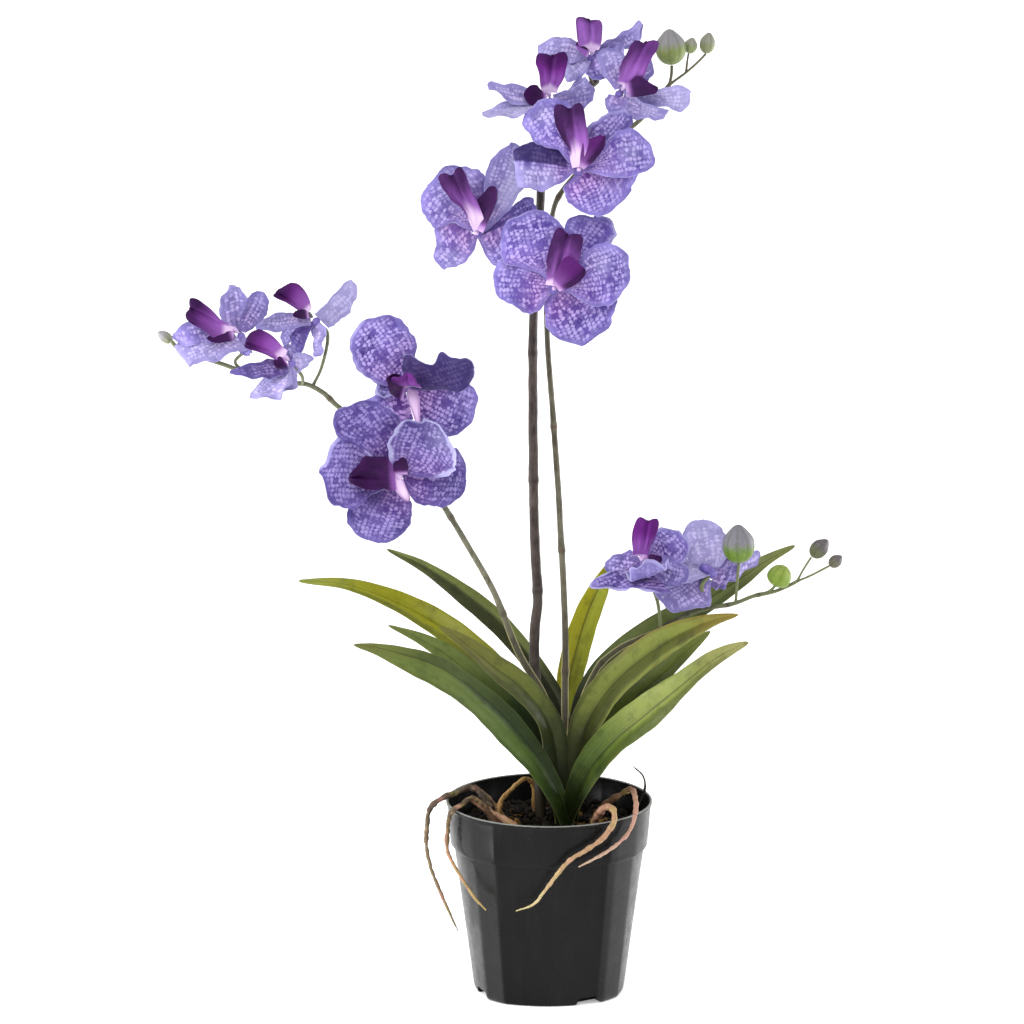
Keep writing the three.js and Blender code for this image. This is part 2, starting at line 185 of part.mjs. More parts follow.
    lip: { base: [-151.0, 4.1, 435.1], tip: [-172.2, -2.0, 450.3], normal: [0.279, -0.96, 0.003], bow: 0.05, cup: 0.1, curl: 0, left: [1.9, 1.5, 1.4, 1.4, 1.4, 2.0, 2.5, 2.6, 2.0], right: [4.5, 7.5, 10.0, 11.5, 12.1, 10.8, 5.0, 2.5, 1.2] },
    lobes: [
      { base: [-150.9, 3.3, 434.2], tip: [-159.3, -4.2, 435.5], normal: [0.659, -0.695, 0.287], bow: 0, cup: 0, curl: 0, left: [2.0, 2.3, 2.5, 2.5, 2.2, 1.9, 1.4, 1.0, 0.5], right: [2.4, 2.9, 3.3, 3.4, 3.2, 2.9, 2.4, 1.6, 0.8] },
    ],
  },
  flower_11: {
    centre: [-160.0, -32.0, 410.1],
    facing: [-0.503, -0.503, 0.704],
    petals: [
      { base: [-162.4, -32.4, 410.1], tip: [-197.5, -36.1, 405.7], normal: [-0.053, -0.503, 0.862], bow: 0.04, cup: -0.04, curl: 0.03, left: [7.9, 11.7, 13.2, 13.0, 11.5, 8.5, 5.7, 3.7, 1.2], right: [3.1, 3.1, 5.7, 3.1, 3.1, 3.1, 3.1, 2.3, 2.3] },
      { base: [-158.3, -31.2, 410.7], tip: [-145.5, -24.0, 411.2], normal: [0.49, -0.861, -0.137], bow: 0.04, cup: -0.03, curl: 0.03, left: [4.7, 4.9, 4.9, 4.6, 3.9, 3.0, 2.1, 1.2, 0.7], right: [9.8, 8.9, 7.7, 6.5, 4.9, 3.2, 2.1, 1.2, 0.7] },
      { base: [-161.0, -33.0, 408.4], tip: [-169.0, -41.4, 389.5], normal: [-0.121, -0.889, 0.442], bow: 0.05, cup: -0.04, curl: 0.03, left: [3.5, 6.6, 8.6, 9.8, 8.6, 3.4, 2.0, 0.7, 0.7], right: [2.0, 2.1, 3.9, 7.2, 9.7, 9.8, 9.4, 8.9, 8.2] },
      { base: [-161.7, -32.0, 408.5], tip: [-186.8, -34.1, 389.8], normal: [-0.526, -0.399, 0.751], bow: 0.04, cup: -0.04, curl: 0.03, left: [7.0, 18.8, 21.6, 22.3, 20.2, 15.3, 9.9, 5.7, 2.6], right: [4.0, 4.0, 4.0, 4.0, 4.0, 4.0, 4.0, 3.6, 2.3] },
      { base: [-160.0, -29.7, 410.8], tip: [-163.6, -18.0, 420.2], normal: [0.198, -0.576, 0.793], bow: 0.04, cup: -0.03, curl: 0.02, left: [2.1, 3.6, 4.6, 4.9, 4.7, 4.2, 3.3, 2.0, 0.7], right: [3.7, 4.1, 4.3, 4.4, 4.3, 4.1, 3.6, 2.7, 1.6] },
    ],
    lip: { base: [-164.0, -34.9, 414.1], tip: [-189.3, -44.3, 425.6], normal: [0.362, -0.931, 0.042], bow: 0.05, cup: 0.1, curl: 0, left: [2.7, 3.1, 2.8, 2.3, 2.3, 2.5, 2.8, 2.4, 1.4], right: [4.6, 5.9, 8.3, 9.9, 10.8, 11.0, 8.0, 3.4, 1.2] },
    lobes: [
      { base: [-163.8, -35.5, 412.8], tip: [-169.7, -40.4, 410.6], normal: [0.42, -0.743, 0.521], bow: 0, cup: 0, curl: 0, left: [4.5, 4.3, 4.1, 3.9, 3.7, 3.3, 2.8, 1.9, 0.9], right: [2.9, 3.5, 3.8, 4.0, 3.8, 3.3, 2.5, 1.8, 1.0] },
    ],
  },
  flower_12: {
    centre: [59.8, -8.0, 277.8],
    facing: [-0.199, -0.497, 0.845],
    petals: [
      { base: [61.5, -7.1, 279.0], tip: [82.0, 2.0, 297.5], normal: [0.168, -0.945, 0.28], bow: 0.05, cup: -0.05, curl: 0.03, left: [2.0, 4.1, 7.3, 9.6, 11.0, 9.7, 5.5, 2.0, 0.7], right: [2.5, 9.2, 12.9, 14.9, 15.7, 15.1, 12.5, 9.4, 6.3] },
      { base: [57.8, -6.8, 277.6], tip: [35.4, 4.1, 277.8], normal: [-0.283, -0.595, 0.752], bow: 0.04, cup: -0.04, curl: 0.03, left: [5.2, 8.8, 11.1, 12.4, 12.3, 10.9, 8.8, 6.6, 4.3], right: [2.5, 4.6, 7.4, 9.3, 7.0, 5.8, 5.3, 3.9, 1.6] },
      { base: [57.9, -9.1, 277.3], tip: [24.2, -28.1, 268.8], normal: [-0.017, -0.386, 0.922], bow: 0.04, cup: -0.04, curl: 0.03, left: [33.2, 31.2, 26.3, 21.3, 16.0, 11.2, 7.7, 4.9, 2.6], right: [3.1, 3.1, 3.1, 3.1, 3.1, 3.1, 3.2, 2.9, 1.2] },
      { base: [59.7, -10.7, 279.0], tip: [60.8, -42.0, 283.4], normal: [-0.623, 0.09, 0.777], bow: -0.22, cup: 0.05, curl: -0.02, left: [5.0, 6.1, 9.3, 11.9, 12.4, 11.7, 9.6, 6.7, 3.5], right: [5.0, 6.1, 9.3, 11.9, 12.4, 11.7, 9.6, 6.7, 3.5] },
      { base: [61.7, -9.3, 277.4], tip: [85.2, -23.8, 269.2], normal: [-0.564, -0.798, -0.213], bow: 0.04, cup: -0.04, curl: 0.03, left: [2.4, 6.8, 9.5, 11.2, 12.3, 12.5, 11.4, 9.8, 7.9], right: [2.4, 3.4, 5.3, 7.2, 7.3, 6.3, 4.1, 1.1, 0.9] },
    ],
    lip: { base: [59.1, -10.8, 283.6], tip: [61.3, -18.4, 309.7], normal: [-0.075, -0.96, -0.27], bow: 0.05, cup: 0.1, curl: 0, left: [6.9, 7.3, 8.1, 8.7, 8.8, 8.4, 7.5, 6.3, 5.0], right: [2.5, 2.8, 3.4, 4.4, 5.7, 6.9, 7.2, 6.5, 5.7] },
    lobes: [
      { base: [60.5, -11.5, 282.1], tip: [69.5, -18.8, 284.1], normal: [-0.62, -0.784, -0.034], bow: 0, cup: 0, curl: 0, left: [1.0, 1.8, 2.5, 2.7, 2.5, 2.0, 1.4, 0.8, 0.4], right: [5.3, 5.4, 5.2, 4.8, 4.2, 3.4, 2.5, 1.6, 0.9] },
    ],
  },
  flower_13: {
    centre: [101.8, 4.0, 270.0],
    facing: [0.508, 0.609, 0.609],
    petals: [
      { base: [101.5, 4.4, 272.3], tip: [96.6, 10.2, 303.2], normal: [-0.036, -0.983, 0.178], bow: 0.05, cup: 0.06, curl: 0.04, left: [2.0, 8.0, 11.8, 13.4, 14.5, 14.4, 11.9, 9.2, 5.8], right: [6.1, 9.7, 11.8, 12.7, 12.5, 10.9, 7.7, 3.7, 0.7] },
      { base: [99.7, 2.7, 269.5], tip: [67.9, -16.0, 263.6], normal: [0.045, -0.371, 0.927], bow: 0.05, cup: 0.04, curl: 0.03, left: [3.1, 3.1, 3.1, 3.1, 3.3, 3.5, 3.1, 1.4, 1.1], right: [17.6, 17.2, 14.3, 10.5, 6.7, 3.6, 3.1, 1.2, 1.1] },
      { base: [99.7, 2.9, 268.4], tip: [72.7, -7.7, 250.6], normal: [0.034, -0.881, 0.472], bow: 0.05, cup: -0.04, curl: 0.03, left: [4.2, 9.2, 13.7, 14.1, 11.0, 9.4, 8.0, 5.9, 0.7], right: [2.0, 4.4, 6.3, 7.9, 9.7, 12.9, 14.2, 13.7, 11.2] },
      { base: [104.1, 5.1, 270.0], tip: [119.9, 12.4, 268.2], normal: [0.361, -0.875, -0.324], bow: 0.04, cup: -0.04, curl: 0.03, left: [2.3, 2.3, 3.2, 4.8, 5.3, 5.2, 4.5, 3.2, 1.6], right: [10.8, 11.5, 11.4, 10.8, 9.7, 8.1, 5.9, 3.6, 1.7] },
      { base: [103.8, 5.1, 270.4], tip: [134.9, 22.0, 276.4], normal: [0.496, -0.759, -0.423], bow: 0.04, cup: -0.04, curl: 0.03, left: [2.9, 2.9, 2.9, 2.9, 2.9, 2.9, 4.7, 4.4, 2.4], right: [2.9, 9.3, 10.9, 10.5, 9.2, 7.7, 6.1, 3.6, 1.3] },
    ],
    lip: { base: [105.0, 8.0, 274.2], tip: [114.4, 22.0, 290.0], normal: [-0.163, 0.786, -0.597], bow: 0.05, cup: 0.1, curl: 0, left: [3.3, 4.0, 6.1, 7.8, 8.2, 7.7, 6.3, 4.4, 2.3], right: [3.3, 4.0, 6.1, 7.8, 8.2, 7.7, 6.3, 4.4, 2.3] },
    lobes: [
      { base: [105.6, 8.2, 273.0], tip: [118.3, 20.0, 274.3], normal: [-0.617, 0.699, -0.362], bow: 0, cup: 0, curl: 0, left: [1.9, 2.7, 3.4, 3.8, 3.7, 3.3, 2.7, 1.5, 1.5], right: [1.9, 2.7, 3.4, 3.8, 3.7, 3.3, 2.7, 1.5, 1.5] },
    ],
  },
};

// spikes: path of the stem, radii at its foot and tip, and the side stalks
const SPIKES = {
  main_spike: {
    r: [3.47, 2.46], sides: 8, steps: 13,
    path: [[-5.2, 2.0, 92.0], [-5.2, 2.0, 108.0], [-6.5, 3.0, 147.9], [-7.8, 4.0, 193.4], [-9.4, 4.0, 213.0], [-9.1, 3.0, 235.3], [-7.4, 3.0, 250.9], [-9.1, 4.0, 285.5], [-9.9, 5.0, 316.2], [-10.5, 7.0, 379.7], [-10.2, 8.0, 433.5], [-7.4, 9.0, 474.3], [-5.9, 10.0, 505.5], [-4.4, 12.0, 536.5], [3.7, 16.0, 556.0], [17.4, 24.0, 568.7], [29.3, 32.0, 577.8]],
    stalks: [
      { r: [1.2, 1.5], path: [[-8.7, 8.0, 448.0], [0.4, -18.1, 455.2], [1.2, -26.1, 456.1]] },
      { r: [1.2, 1.5], path: [[-5.6, 10.0, 481.7], [-18.6, 14.0, 486.8], [-42.9, 3.7, 485.8], [-44.1, -4.1, 486.9]] },
      { r: [1.2, 1.5], path: [[-4.7, 11.0, 525.4], [15.6, -16.3, 527.0], [16.4, -24.2, 528.6]] },
      { r: [1.2, 1.5], path: [[3.7, 16.0, 556.0], [1.0, 1.2, 560.3], [0.2, -3.6, 566.7]] },
      { r: [1.1, 1.4], path: [[26.2, 29.0, 575.6], [23.9, 19.1, 586.8], [24.8, 13.0, 592.0]] },
    ],
  },
  second_spike: {
    r: [2.27, 1.4], sides: 6, steps: 15,
    path: [[10.7, -2.0, 92.0], [10.7, -2.0, 108.0], [10.0, -3.0, 161.2], [9.9, 0.0, 194.4], [10.1, 2.0, 223.2], [8.9, 3.0, 261.8], [6.6, 5.0, 302.0], [5.9, 6.0, 316.0], [2.1, 12.0, 369.2], [-1.7, 20.0, 421.9], [-0.8, 24.0, 462.5], [2.6, 24.0, 498.5], [8.2, 24.0, 509.8], [26.2, 24.0, 529.9], [44.7, 18.0, 545.7], [55.7, 10.0, 555.5], [64.1, 5.0, 566.0], [73.5, 2.0, 578.4]],
    stalks: [
      { r: [1.1, 1.4], path: [[48.4, 15.0, 549.2], [45.6, 6.0, 559.7], [37.6, -5.7, 566.0], [41.0, -9.9, 572.0]] },
      { r: [0.9, 1.0], path: [[73.5, 2.0, 578.4], [74.7, 1.0, 585.1], [74.8, 0.0, 590.1]] },
      { r: [0.8, 0.7], path: [[73.5, 2.0, 578.4], [80.0, 4.0, 582.9], [84.4, 6.0, 585.9], [91.2, 8.0, 591.7], [95.9, 9.0, 596.5]] },
      { r: [0.7, 0.6], path: [[83.8, 6.0, 585.6], [84.5, 7.0, 591.8], [85.3, 8.0, 596.7]] },
    ],
  },
  left_spike: {
    r: [2.38, 1.3], sides: 6, steps: 15,
    path: [[5.7, 4.0, 92.0], [5.7, 4.0, 108.0], [4.3, 2.0, 148.1], [-0.2, 0.0, 184.0], [-18.6, -5.0, 218.4], [-35.6, -11.0, 261.8], [-51.2, -15.0, 290.9], [-65.4, -18.0, 315.8], [-80.9, -19.0, 340.2], [-103.2, -18.0, 362.8], [-130.6, -15.0, 378.7], [-141.8, -13.0, 388.5], [-151.8, -11.0, 393.1], [-161.2, -9.0, 393.4], [-175.6, -6.0, 397.3], [-190.8, -4.0, 399.8], [-204.4, -3.0, 404.4], [-217.9, -5.0, 409.1], [-230.2, -6.0, 413.7], [-235.7, -6.0, 419.4]],
    stalks: [
      { r: [1.1, 1.4], path: [[-78.4, -19.0, 336.4], [-85.8, -26.0, 337.2], [-91.6, -34.1, 342.4], [-92.4, -42.1, 342.4]] },
      { r: [1.1, 1.4], path: [[-93.3, -19.0, 352.9], [-89.8, -5.0, 369.2], [-86.8, -15.1, 388.5], [-87.6, -22.4, 391.8]] },
      { r: [0.9, 1.2], path: [[-190.8, -4.0, 399.8], [-196.3, -2.0, 405.5], [-186.7, -5.1, 416.2], [-190.5, -9.7, 421.6]] },
      { r: [0.9, 1.2], path: [[-147.8, -11.0, 391.3], [-142.2, 0.0, 402.6], [-139.1, 9.7, 422.0], [-144.1, 7.2, 427.8]] },
      { r: [0.9, 1.2], path: [[-153.6, -11.0, 393.1], [-154.0, -26.0, 401.7], [-158.0, -30.0, 407.3]] },
    ],
  },
  right_spike: {
    r: [2.27, 1.08], sides: 6, steps: 13,
    path: [[13.9, 0.0, 92.0], [13.9, 0.0, 108.0], [14.5, -1.0, 142.4], [16.2, -2.0, 168.2], [19.4, -3.0, 184.7], [27.5, -3.0, 204.3], [32.6, -3.0, 212.7], [46.4, -2.0, 223.5], [60.9, -1.0, 229.8], [74.8, 0.0, 237.3], [88.6, 0.0, 244.4], [100.6, 0.0, 247.7], [108.8, 0.0, 249.0], [117.4, 0.0, 250.9], [128.9, 1.0, 255.2], [142.0, 2.0, 257.9], [150.4, 3.0, 261.2], [156.1, 3.0, 264.2]],
    stalks: [
      { r: [1.0, 1.3], path: [[70.4, -1.0, 234.9], [67.7, -3.0, 253.5], [62.2, -2.0, 267.7], [60.6, -6.0, 274.5]] },
      { r: [1.0, 1.3], path: [[100.6, 0.0, 247.7], [95.7, -3.3, 262.7], [99.8, 1.6, 267.6]] },
      { r: [0.9, 0.9], path: [[117.4, 0.0, 250.9], [117.9, -4.0, 262.8], [118.7, -6.0, 277.4]] },
      { r: [0.9, 0.9], path: [[136.5, 1.6, 257.0], [139.7, 1.6, 258.9], [142.1, 1.0, 261.7]] },
      { r: [0.7, 0.7], path: [[156.1, 3.0, 264.2], [159.8, 3.0, 271.5], [164.7, 3.0, 279.6]] },
      { r: [0.7, 0.7], path: [[156.1, 3.0, 264.2], [165.5, 4.0, 268.1], [176.2, 4.0, 273.9]] },
    ],
  },
};

const BUDS = {
  bud_top_large: { base: [74.8, 0.0, 590.8], tip: [72.9, 0.0, 612.9], width: 18.5 },
  bud_top_small: { base: [85.3, 8.0, 597.0], tip: [88.0, 8.0, 606.8], width: 8.0 },
  bud_top_end: { base: [95.9, 9.0, 596.8], tip: [98.2, 9.0, 609.8], width: 9.3 },
  bud_right_large: { base: [118.8, -6.0, 278.0], tip: [118.1, -6.0, 302.7], width: 19.8 },
  bud_right_green: { base: [141.8, 1.0, 261.7], tip: [148.3, 1.0, 274.6], width: 15.1 },
  bud_right_grey: { base: [165.0, 3.0, 280.2], tip: [175.2, 3.0, 290.9], width: 10.7 },
  bud_right_end: { base: [176.5, 4.0, 273.9], tip: [184.3, 4.0, 280.3], width: 7.6 },
  bud_left_end: { base: [-235.3, -3.0, 418.3], tip: [-244.0, -3.0, 424.6], width: 6.8 },
};

// leaves: stations of x, y, z, width and the upper face's normal, from the foot to the tip
const LEAVES = {
  leaf_01: [
    [11.5, 11.7, 112.2, 5.4, -0.351, -0.92, 0.175],
    [10.9, 15.6, 131.4, 6.8, -0.346, -0.929, 0.131],
    [7.6, 22.1, 175.8, 10.2, -0.317, -0.946, 0.07],
    [-8.3, 27.3, 202.8, 13.6, -0.259, -0.966, -0.003],
    [-31.9, 32.5, 230.4, 14.9, -0.225, -0.974, -0.035],
    [-54.9, 36.4, 249.1, 12.9, -0.198, -0.979, -0.056],
    [-80.4, 40.3, 265.9, 8.1, -0.173, -0.982, -0.074],
    [-103.4, 42.9, 276.4, 2.0, -0.152, -0.984, -0.088],
  ],
  leaf_02: [
    [8.2, 3.9, 112.2, 7.0, 0.577, -0.797, 0.182],
    [5.0, 6.5, 133.8, 10.9, 0.582, -0.782, 0.222],
    [-5.8, 9.1, 167.3, 15.5, 0.563, -0.747, 0.353],
    [-30.0, 11.7, 200.7, 18.6, 0.496, -0.714, 0.495],
    [-56.6, 13.0, 223.8, 20.1, 0.419, -0.695, 0.585],
    [-79.4, 14.3, 239.2, 18.6, 0.336, -0.683, 0.648],
    [-104.1, 15.6, 251.2, 15.5, 0.265, -0.676, 0.688],
    [-129.4, 15.6, 259.7, 8.5, 0.12, -0.67, 0.732],
    [-158.6, 16.9, 261.3, 2.3, 0.012, -0.671, 0.741],
  ],
  leaf_03: [
    [7.4, -10.4, 112.2, 7.5, 0.529, -0.846, -0.068],
    [6.7, -13.0, 139.0, 12.7, 0.552, -0.833, -0.03],
    [1.0, -16.9, 174.0, 17.8, 0.603, -0.791, 0.103],
    [-15.5, -22.1, 199.3, 18.5, 0.601, -0.733, 0.319],
    [-36.8, -28.6, 218.3, 16.2, 0.586, -0.709, 0.392],
    [-54.8, -35.1, 234.6, 9.6, 0.609, -0.692, 0.388],
    [-69.0, -41.6, 245.7, 2.2, 0.621, -0.674, 0.399],
  ],
  leaf_04: [
    [6.2, -3.9, 112.2, 7.8, 0.604, -0.794, 0.068],
    [1.7, -5.2, 136.9, 12.4, 0.615, -0.77, 0.172],
    [-12.2, -6.5, 166.7, 17.0, 0.578, -0.731, 0.363],
    [-36.3, -6.5, 194.7, 17.0, 0.516, -0.706, 0.485],
    [-58.9, -7.8, 214.5, 15.4, 0.458, -0.691, 0.56],
    [-79.1, -7.8, 228.1, 10.0, 0.359, -0.679, 0.641],
    [-101.7, -7.8, 238.5, 2.3, 0.307, -0.674, 0.672],
  ],
  leaf_05: [
    [9.3, -18.2, 112.2, 9.2, 0.655, -0.754, -0.058],
    [4.8, -23.4, 128.8, 15.2, 0.677, -0.734, 0.051],
    [-7.9, -31.2, 153.6, 22.7, 0.692, -0.701, 0.173],
    [-26.1, -41.6, 178.4, 26.4, 0.686, -0.678, 0.265],
    [-47.3, -52.0, 202.2, 26.3, 0.66, -0.66, 0.36],
    [-70.1, -62.4, 220.7, 23.1, 0.589, -0.642, 0.49],
    [-91.5, -70.2, 231.5, 17.9, 0.495, -0.641, 0.587],
    [-108.0, -75.4, 238.5, 9.7, 0.458, -0.635, 0.622],
    [-121.3, -80.6, 242.9, 2.2, 0.453, -0.623, 0.638],
  ],
  leaf_06: [
    [11.6, 16.9, 112.2, 5.8, 0.128, -0.952, 0.279],
    [12.2, 22.1, 129.6, 9.1, 0.128, -0.961, 0.247],
    [11.6, 28.6, 157.7, 12.3, 0.127, -0.975, 0.182],
    [12.8, 33.8, 192.0, 16.2, 0.117, -0.982, 0.147],
    [18.0, 37.7, 213.4, 18.1, 0.109, -0.982, 0.154],
    [24.3, 41.6, 233.5, 17.4, 0.11, -0.98, 0.165],
    [32.0, 45.5, 250.3, 12.9, 0.102, -0.984, 0.147],
    [39.1, 48.1, 266.8, 2.6, 0.09, -0.989, 0.118],
  ],
  leaf_07: [
    [14.0, 6.5, 112.2, 7.3, -0.634, -0.769, 0.084],
    [15.2, 7.8, 133.5, 11.3, -0.635, -0.761, 0.134],
    [19.0, 11.7, 165.3, 15.3, -0.635, -0.746, 0.201],
    [24.7, 14.3, 187.6, 17.0, -0.598, -0.705, 0.381],
    [36.2, 18.2, 204.3, 18.6, -0.461, -0.656, 0.598],
    [57.8, 22.1, 221.7, 20.2, -0.353, -0.637, 0.685],
    [80.8, 26.0, 234.5, 21.0, -0.326, -0.635, 0.7],
    [103.6, 28.6, 248.9, 21.0, -0.332, -0.635, 0.697],
    [122.8, 32.5, 260.4, 17.8, -0.299, -0.629, 0.718],
    [139.5, 36.4, 270.7, 8.9, -0.281, -0.629, 0.725],
    [156.7, 39.0, 279.2, 2.4, -0.267, -0.631, 0.729],
  ],
  leaf_08: [
    [11.9, -7.8, 112.2, 7.2, -0.513, -0.855, -0.079],
    [14.3, -11.7, 138.7, 12.9, -0.539, -0.841, -0.05],
    [22.4, -18.2, 174.3, 20.7, -0.589, -0.808, 0.001],
    [34.1, -26.0, 198.3, 23.4, -0.639, -0.757, 0.139],
    [50.1, -33.8, 217.0, 23.4, -0.61, -0.734, 0.298],
    [70.4, -41.6, 234.2, 20.5, -0.558, -0.728, 0.399],
    [90.0, -48.1, 246.6, 14.1, -0.489, -0.724, 0.486],
    [104.0, -52.0, 252.6, 7.7, -0.407, -0.719, 0.563],
    [116.8, -55.9, 256.1, 2.1, -0.377, -0.714, 0.59],
  ],
  leaf_09: [
    [15.8, -1.3, 112.2, 6.6, -0.548, -0.835, 0.04],
    [19.5, -2.6, 136.2, 11.0, -0.57, -0.815, 0.103],
    [30.8, -5.2, 164.4, 14.6, -0.582, -0.774, 0.249],
    [49.6, -9.1, 186.3, 16.8, -0.553, -0.747, 0.368],
    [69.6, -13.0, 206.7, 16.0, -0.536, -0.745, 0.397],
    [85.7, -15.6, 222.9, 10.2, -0.527, -0.744, 0.411],
    [100.6, -18.2, 237.0, 2.2, -0.526, -0.742, 0.415],
  ],
  leaf_10: [
    [11.8, -15.6, 112.2, 8.6, -0.599, -0.781, -0.178],
    [15.5, -22.1, 128.4, 14.3, -0.631, -0.771, -0.087],
    [25.4, -31.2, 152.4, 20.6, -0.672, -0.739, 0.049],
    [40.1, -41.6, 172.6, 23.4, -0.677, -0.707, 0.205],
    [61.0, -53.3, 193.6, 23.2, -0.656, -0.705, 0.269],
    [80.4, -63.7, 212.8, 17.5, -0.646, -0.709, 0.283],
    [98.4, -72.8, 230.3, 11.9, -0.625, -0.709, 0.328],
    [110.4, -78.0, 239.1, 7.0, -0.591, -0.694, 0.412],
    [121.2, -83.2, 245.4, 2.1, -0.586, -0.681, 0.439],
  ],
};

const ROOTS = {
  root_01: { path: [[-33.2, -6.0, 109.6], [-40.1, -4.0, 123.5], [-49.2, -1.0, 130.6], [-59.2, -2.0, 127.5], [-67.8, -4.0, 124.8], [-75.4, -6.0, 118.8], [-77.6, -7.0, 107.2], [-78.0, -7.0, 94.7], [-75.2, -8.0, 79.8], [-69.0, -9.0, 63.8], [-63.1, -10.0, 50.0], [-58.0, -11.0, 39.0]], r: [2.2, 0.7], sides: 6, steps: 12 },
  root_02: { path: [[-33.7, -24.0, 112.0], [-41.3, -22.0, 124.5], [-48.9, -24.0, 130.2], [-54.5, -30.6, 128.1], [-58.9, -32.0, 125.9], [-62.7, -28.3, 120.3], [-64.2, -25.2, 110.3], [-64.3, -22.1, 95.0], [-57.7, -34.1, 84.7], [-46.9, -45.0, 70.9], [-40.0, -50.0, 64.5]], r: [1.9, 0.8], sides: 6, steps: 12 },
  root_03: { path: [[-47.5, 0.0, 122.4], [-37.6, -12.0, 117.8], [-26.2, -24.0, 114.6], [-18.0, -28.0, 109.8]], r: [2.3, 2.9], sides: 6, steps: 4 },
  root_04: { path: [[-48.2, 14.0, 127.8], [-41.5, 9.0, 123.9], [-33.8, -2.0, 117.7], [-26.8, -8.0, 110.1], [-23.6, -8.0, 105.5]], r: [1.8, 2.4], sides: 6, steps: 5 },
  root_05: { path: [[-32.5, -12.0, 108.0], [-31.9, -10.0, 117.2], [-30.6, -6.0, 123.0], [-24.0, 0.0, 129.4], [-15.4, 5.0, 134.9], [-10.2, 9.0, 130.5], [-9.6, 10.0, 111.7]], r: [1.7, 1.7], sides: 6, steps: 6 },
  root_06: { path: [[26.8, -28.0, 107.8], [29.8, -36.0, 121.2], [35.3, -44.8, 130.1], [39.5, -51.6, 130.0], [40.0, -56.9, 123.7], [32.5, -61.8, 114.4], [23.7, -65.9, 108.8], [12.5, -68.9, 102.5], [3.8, -68.9, 92.2], [-2.4, -68.0, 83.5], [-9.9, -66.3, 73.3], [-21.1, -62.5, 67.6]], r: [3.1, 0.9], sides: 7, steps: 13 },
  root_07: { path: [[26.6, -4.0, 109.0], [34.1, -6.0, 120.1], [43.5, -12.0, 128.3], [50.9, -18.0, 134.2], [53.9, -38.1, 132.8], [53.7, -44.6, 126.1], [49.3, -49.7, 114.9], [37.6, -59.1, 106.5], [27.5, -64.4, 101.9], [17.9, -66.6, 97.4]], r: [2.5, 0.8], sides: 6, steps: 13 },
  root_08: { path: [[51.8, 14.0, 106.7], [58.2, 14.0, 116.6], [61.3, 13.0, 126.8], [60.0, 13.0, 134.7], [53.4, 14.0, 141.0]], r: [1.1, 0.6], sides: 5, steps: 5 },
};

// ---- small tools ----
const V = (a) => new THREE.Vector3(a[0], a[1], a[2]);
const lerp = (a, b, t) => a + (b - a) * t;

function solidOf(geometry) {
  const g = geometry.clone();
  g.deleteAttribute("normal");
  g.deleteAttribute("uv");
  const m = mergeVertices(g, 1e-4);
  return new wasm.Manifold(
    new wasm.Mesh({
      numProp: 3,
      vertProperties: new Float32Array(m.attributes.position.array),
      triVerts: new Uint32Array(m.index.array),
    }),
  );
}

function geometryOf(solid) {
  const m = solid.getMesh();
  const n = m.numProp;
  const p = new Float32Array(m.numVert * 3);
  for (let i = 0; i < m.numVert; i++)
    p.set(m.vertProperties.subarray(i * n, i * n + 3), i * 3);
  const g = new THREE.BufferGeometry();
  g.setAttribute("position", new THREE.BufferAttribute(p, 3));
  g.setIndex(new THREE.BufferAttribute(new Uint32Array(m.triVerts), 1));
  g.computeVertexNormals();
  return g;
}

const unite = (solids) => solids.reduce((a, b) => a.add(b));

// A thin closed slab over a grid of ts (lengthwise) and vs (across); at(t, v) gives its middle surface and normal.
function slab(ts, vs, thickness, at) {
  const nt = ts.length - 1;
  const nv = vs.length - 1;
  const g = new THREE.BoxGeometry(1, 1, 1, nv, nt, 1);
  const p = g.attributes.position;
  for (let i = 0; i < p.count; i++) {
    const v = vs[Math.round((p.getX(i) + 0.5) * nv)];
    const t = ts[Math.round((p.getY(i) + 0.5) * nt)];
    const side = Math.sign(p.getZ(i));
    const { point, normal } = at(t, v);
    point.addScaledVector(normal, (side * thickness) / 2);
    p.setXYZ(i, point.x, point.y, point.z);
  }
  return solidOf(g);
}

// A round bar of changing radius along a smooth path.
function bar(path, r0, r1, sides, steps, extra = 0) {
  const curve = new THREE.CatmullRomCurve3(path.map(V), false, "centripetal");
  const g = new THREE.CylinderGeometry(1, 1, 1, sides, steps, false);
  const p = g.attributes.position;
  const frames = curve.computeFrenetFrames(steps, false);
  const points = curve.getSpacedPoints(steps);
  for (let i = 0; i < p.count; i++) {
    const k = Math.round((p.getY(i) + 0.5) * steps);
    const r = lerp(r0, r1, k / steps) + extra;
    const q = points[k]
      .clone()
      .addScaledVector(frames.normals[k], p.getX(i) * r)
      .addScaledVector(frames.binormals[k], -p.getZ(i) * r);
    if (extra && k === 0) q.addScaledVector(frames.tangents[k], -extra);
    if (extra && k === steps) q.addScaledVector(frames.tangents[k], extra);
    p.setXYZ(i, q.x, q.y, q.z);
  }
  return solidOf(g);
}

// An egg from base to tip.
function egg(base, tip, width, extra = 0, rings = 6, sides = 8, fat = 0) {
  const b = V(base);
  const t = V(tip);
  const axis = t.clone().sub(b);
  const length = axis.length() + 2 * extra;
  axis.normalize();
  const g = new THREE.SphereGeometry(0.5, sides, rings);
  const p = g.attributes.position;
  for (let i = 0; i < p.count; i++) {
    const y = p.getY(i);
    const swell = 1 + fat * (0.25 - y * y) - fat * y * 0.5;
    p.setXYZ(i, p.getX(i) * (width + 2 * extra) * swell, y * length, p.getZ(i) * (width + 2 * extra) * swell);
  }
  g.applyQuaternion(new THREE.Quaternion().setFromUnitVectors(new THREE.Vector3(0, 1, 0), axis));
  const mid = b.add(t).multiplyScalar(0.5);
  g.translate(mid.x, mid.y, mid.z);
  return solidOf(g);
}

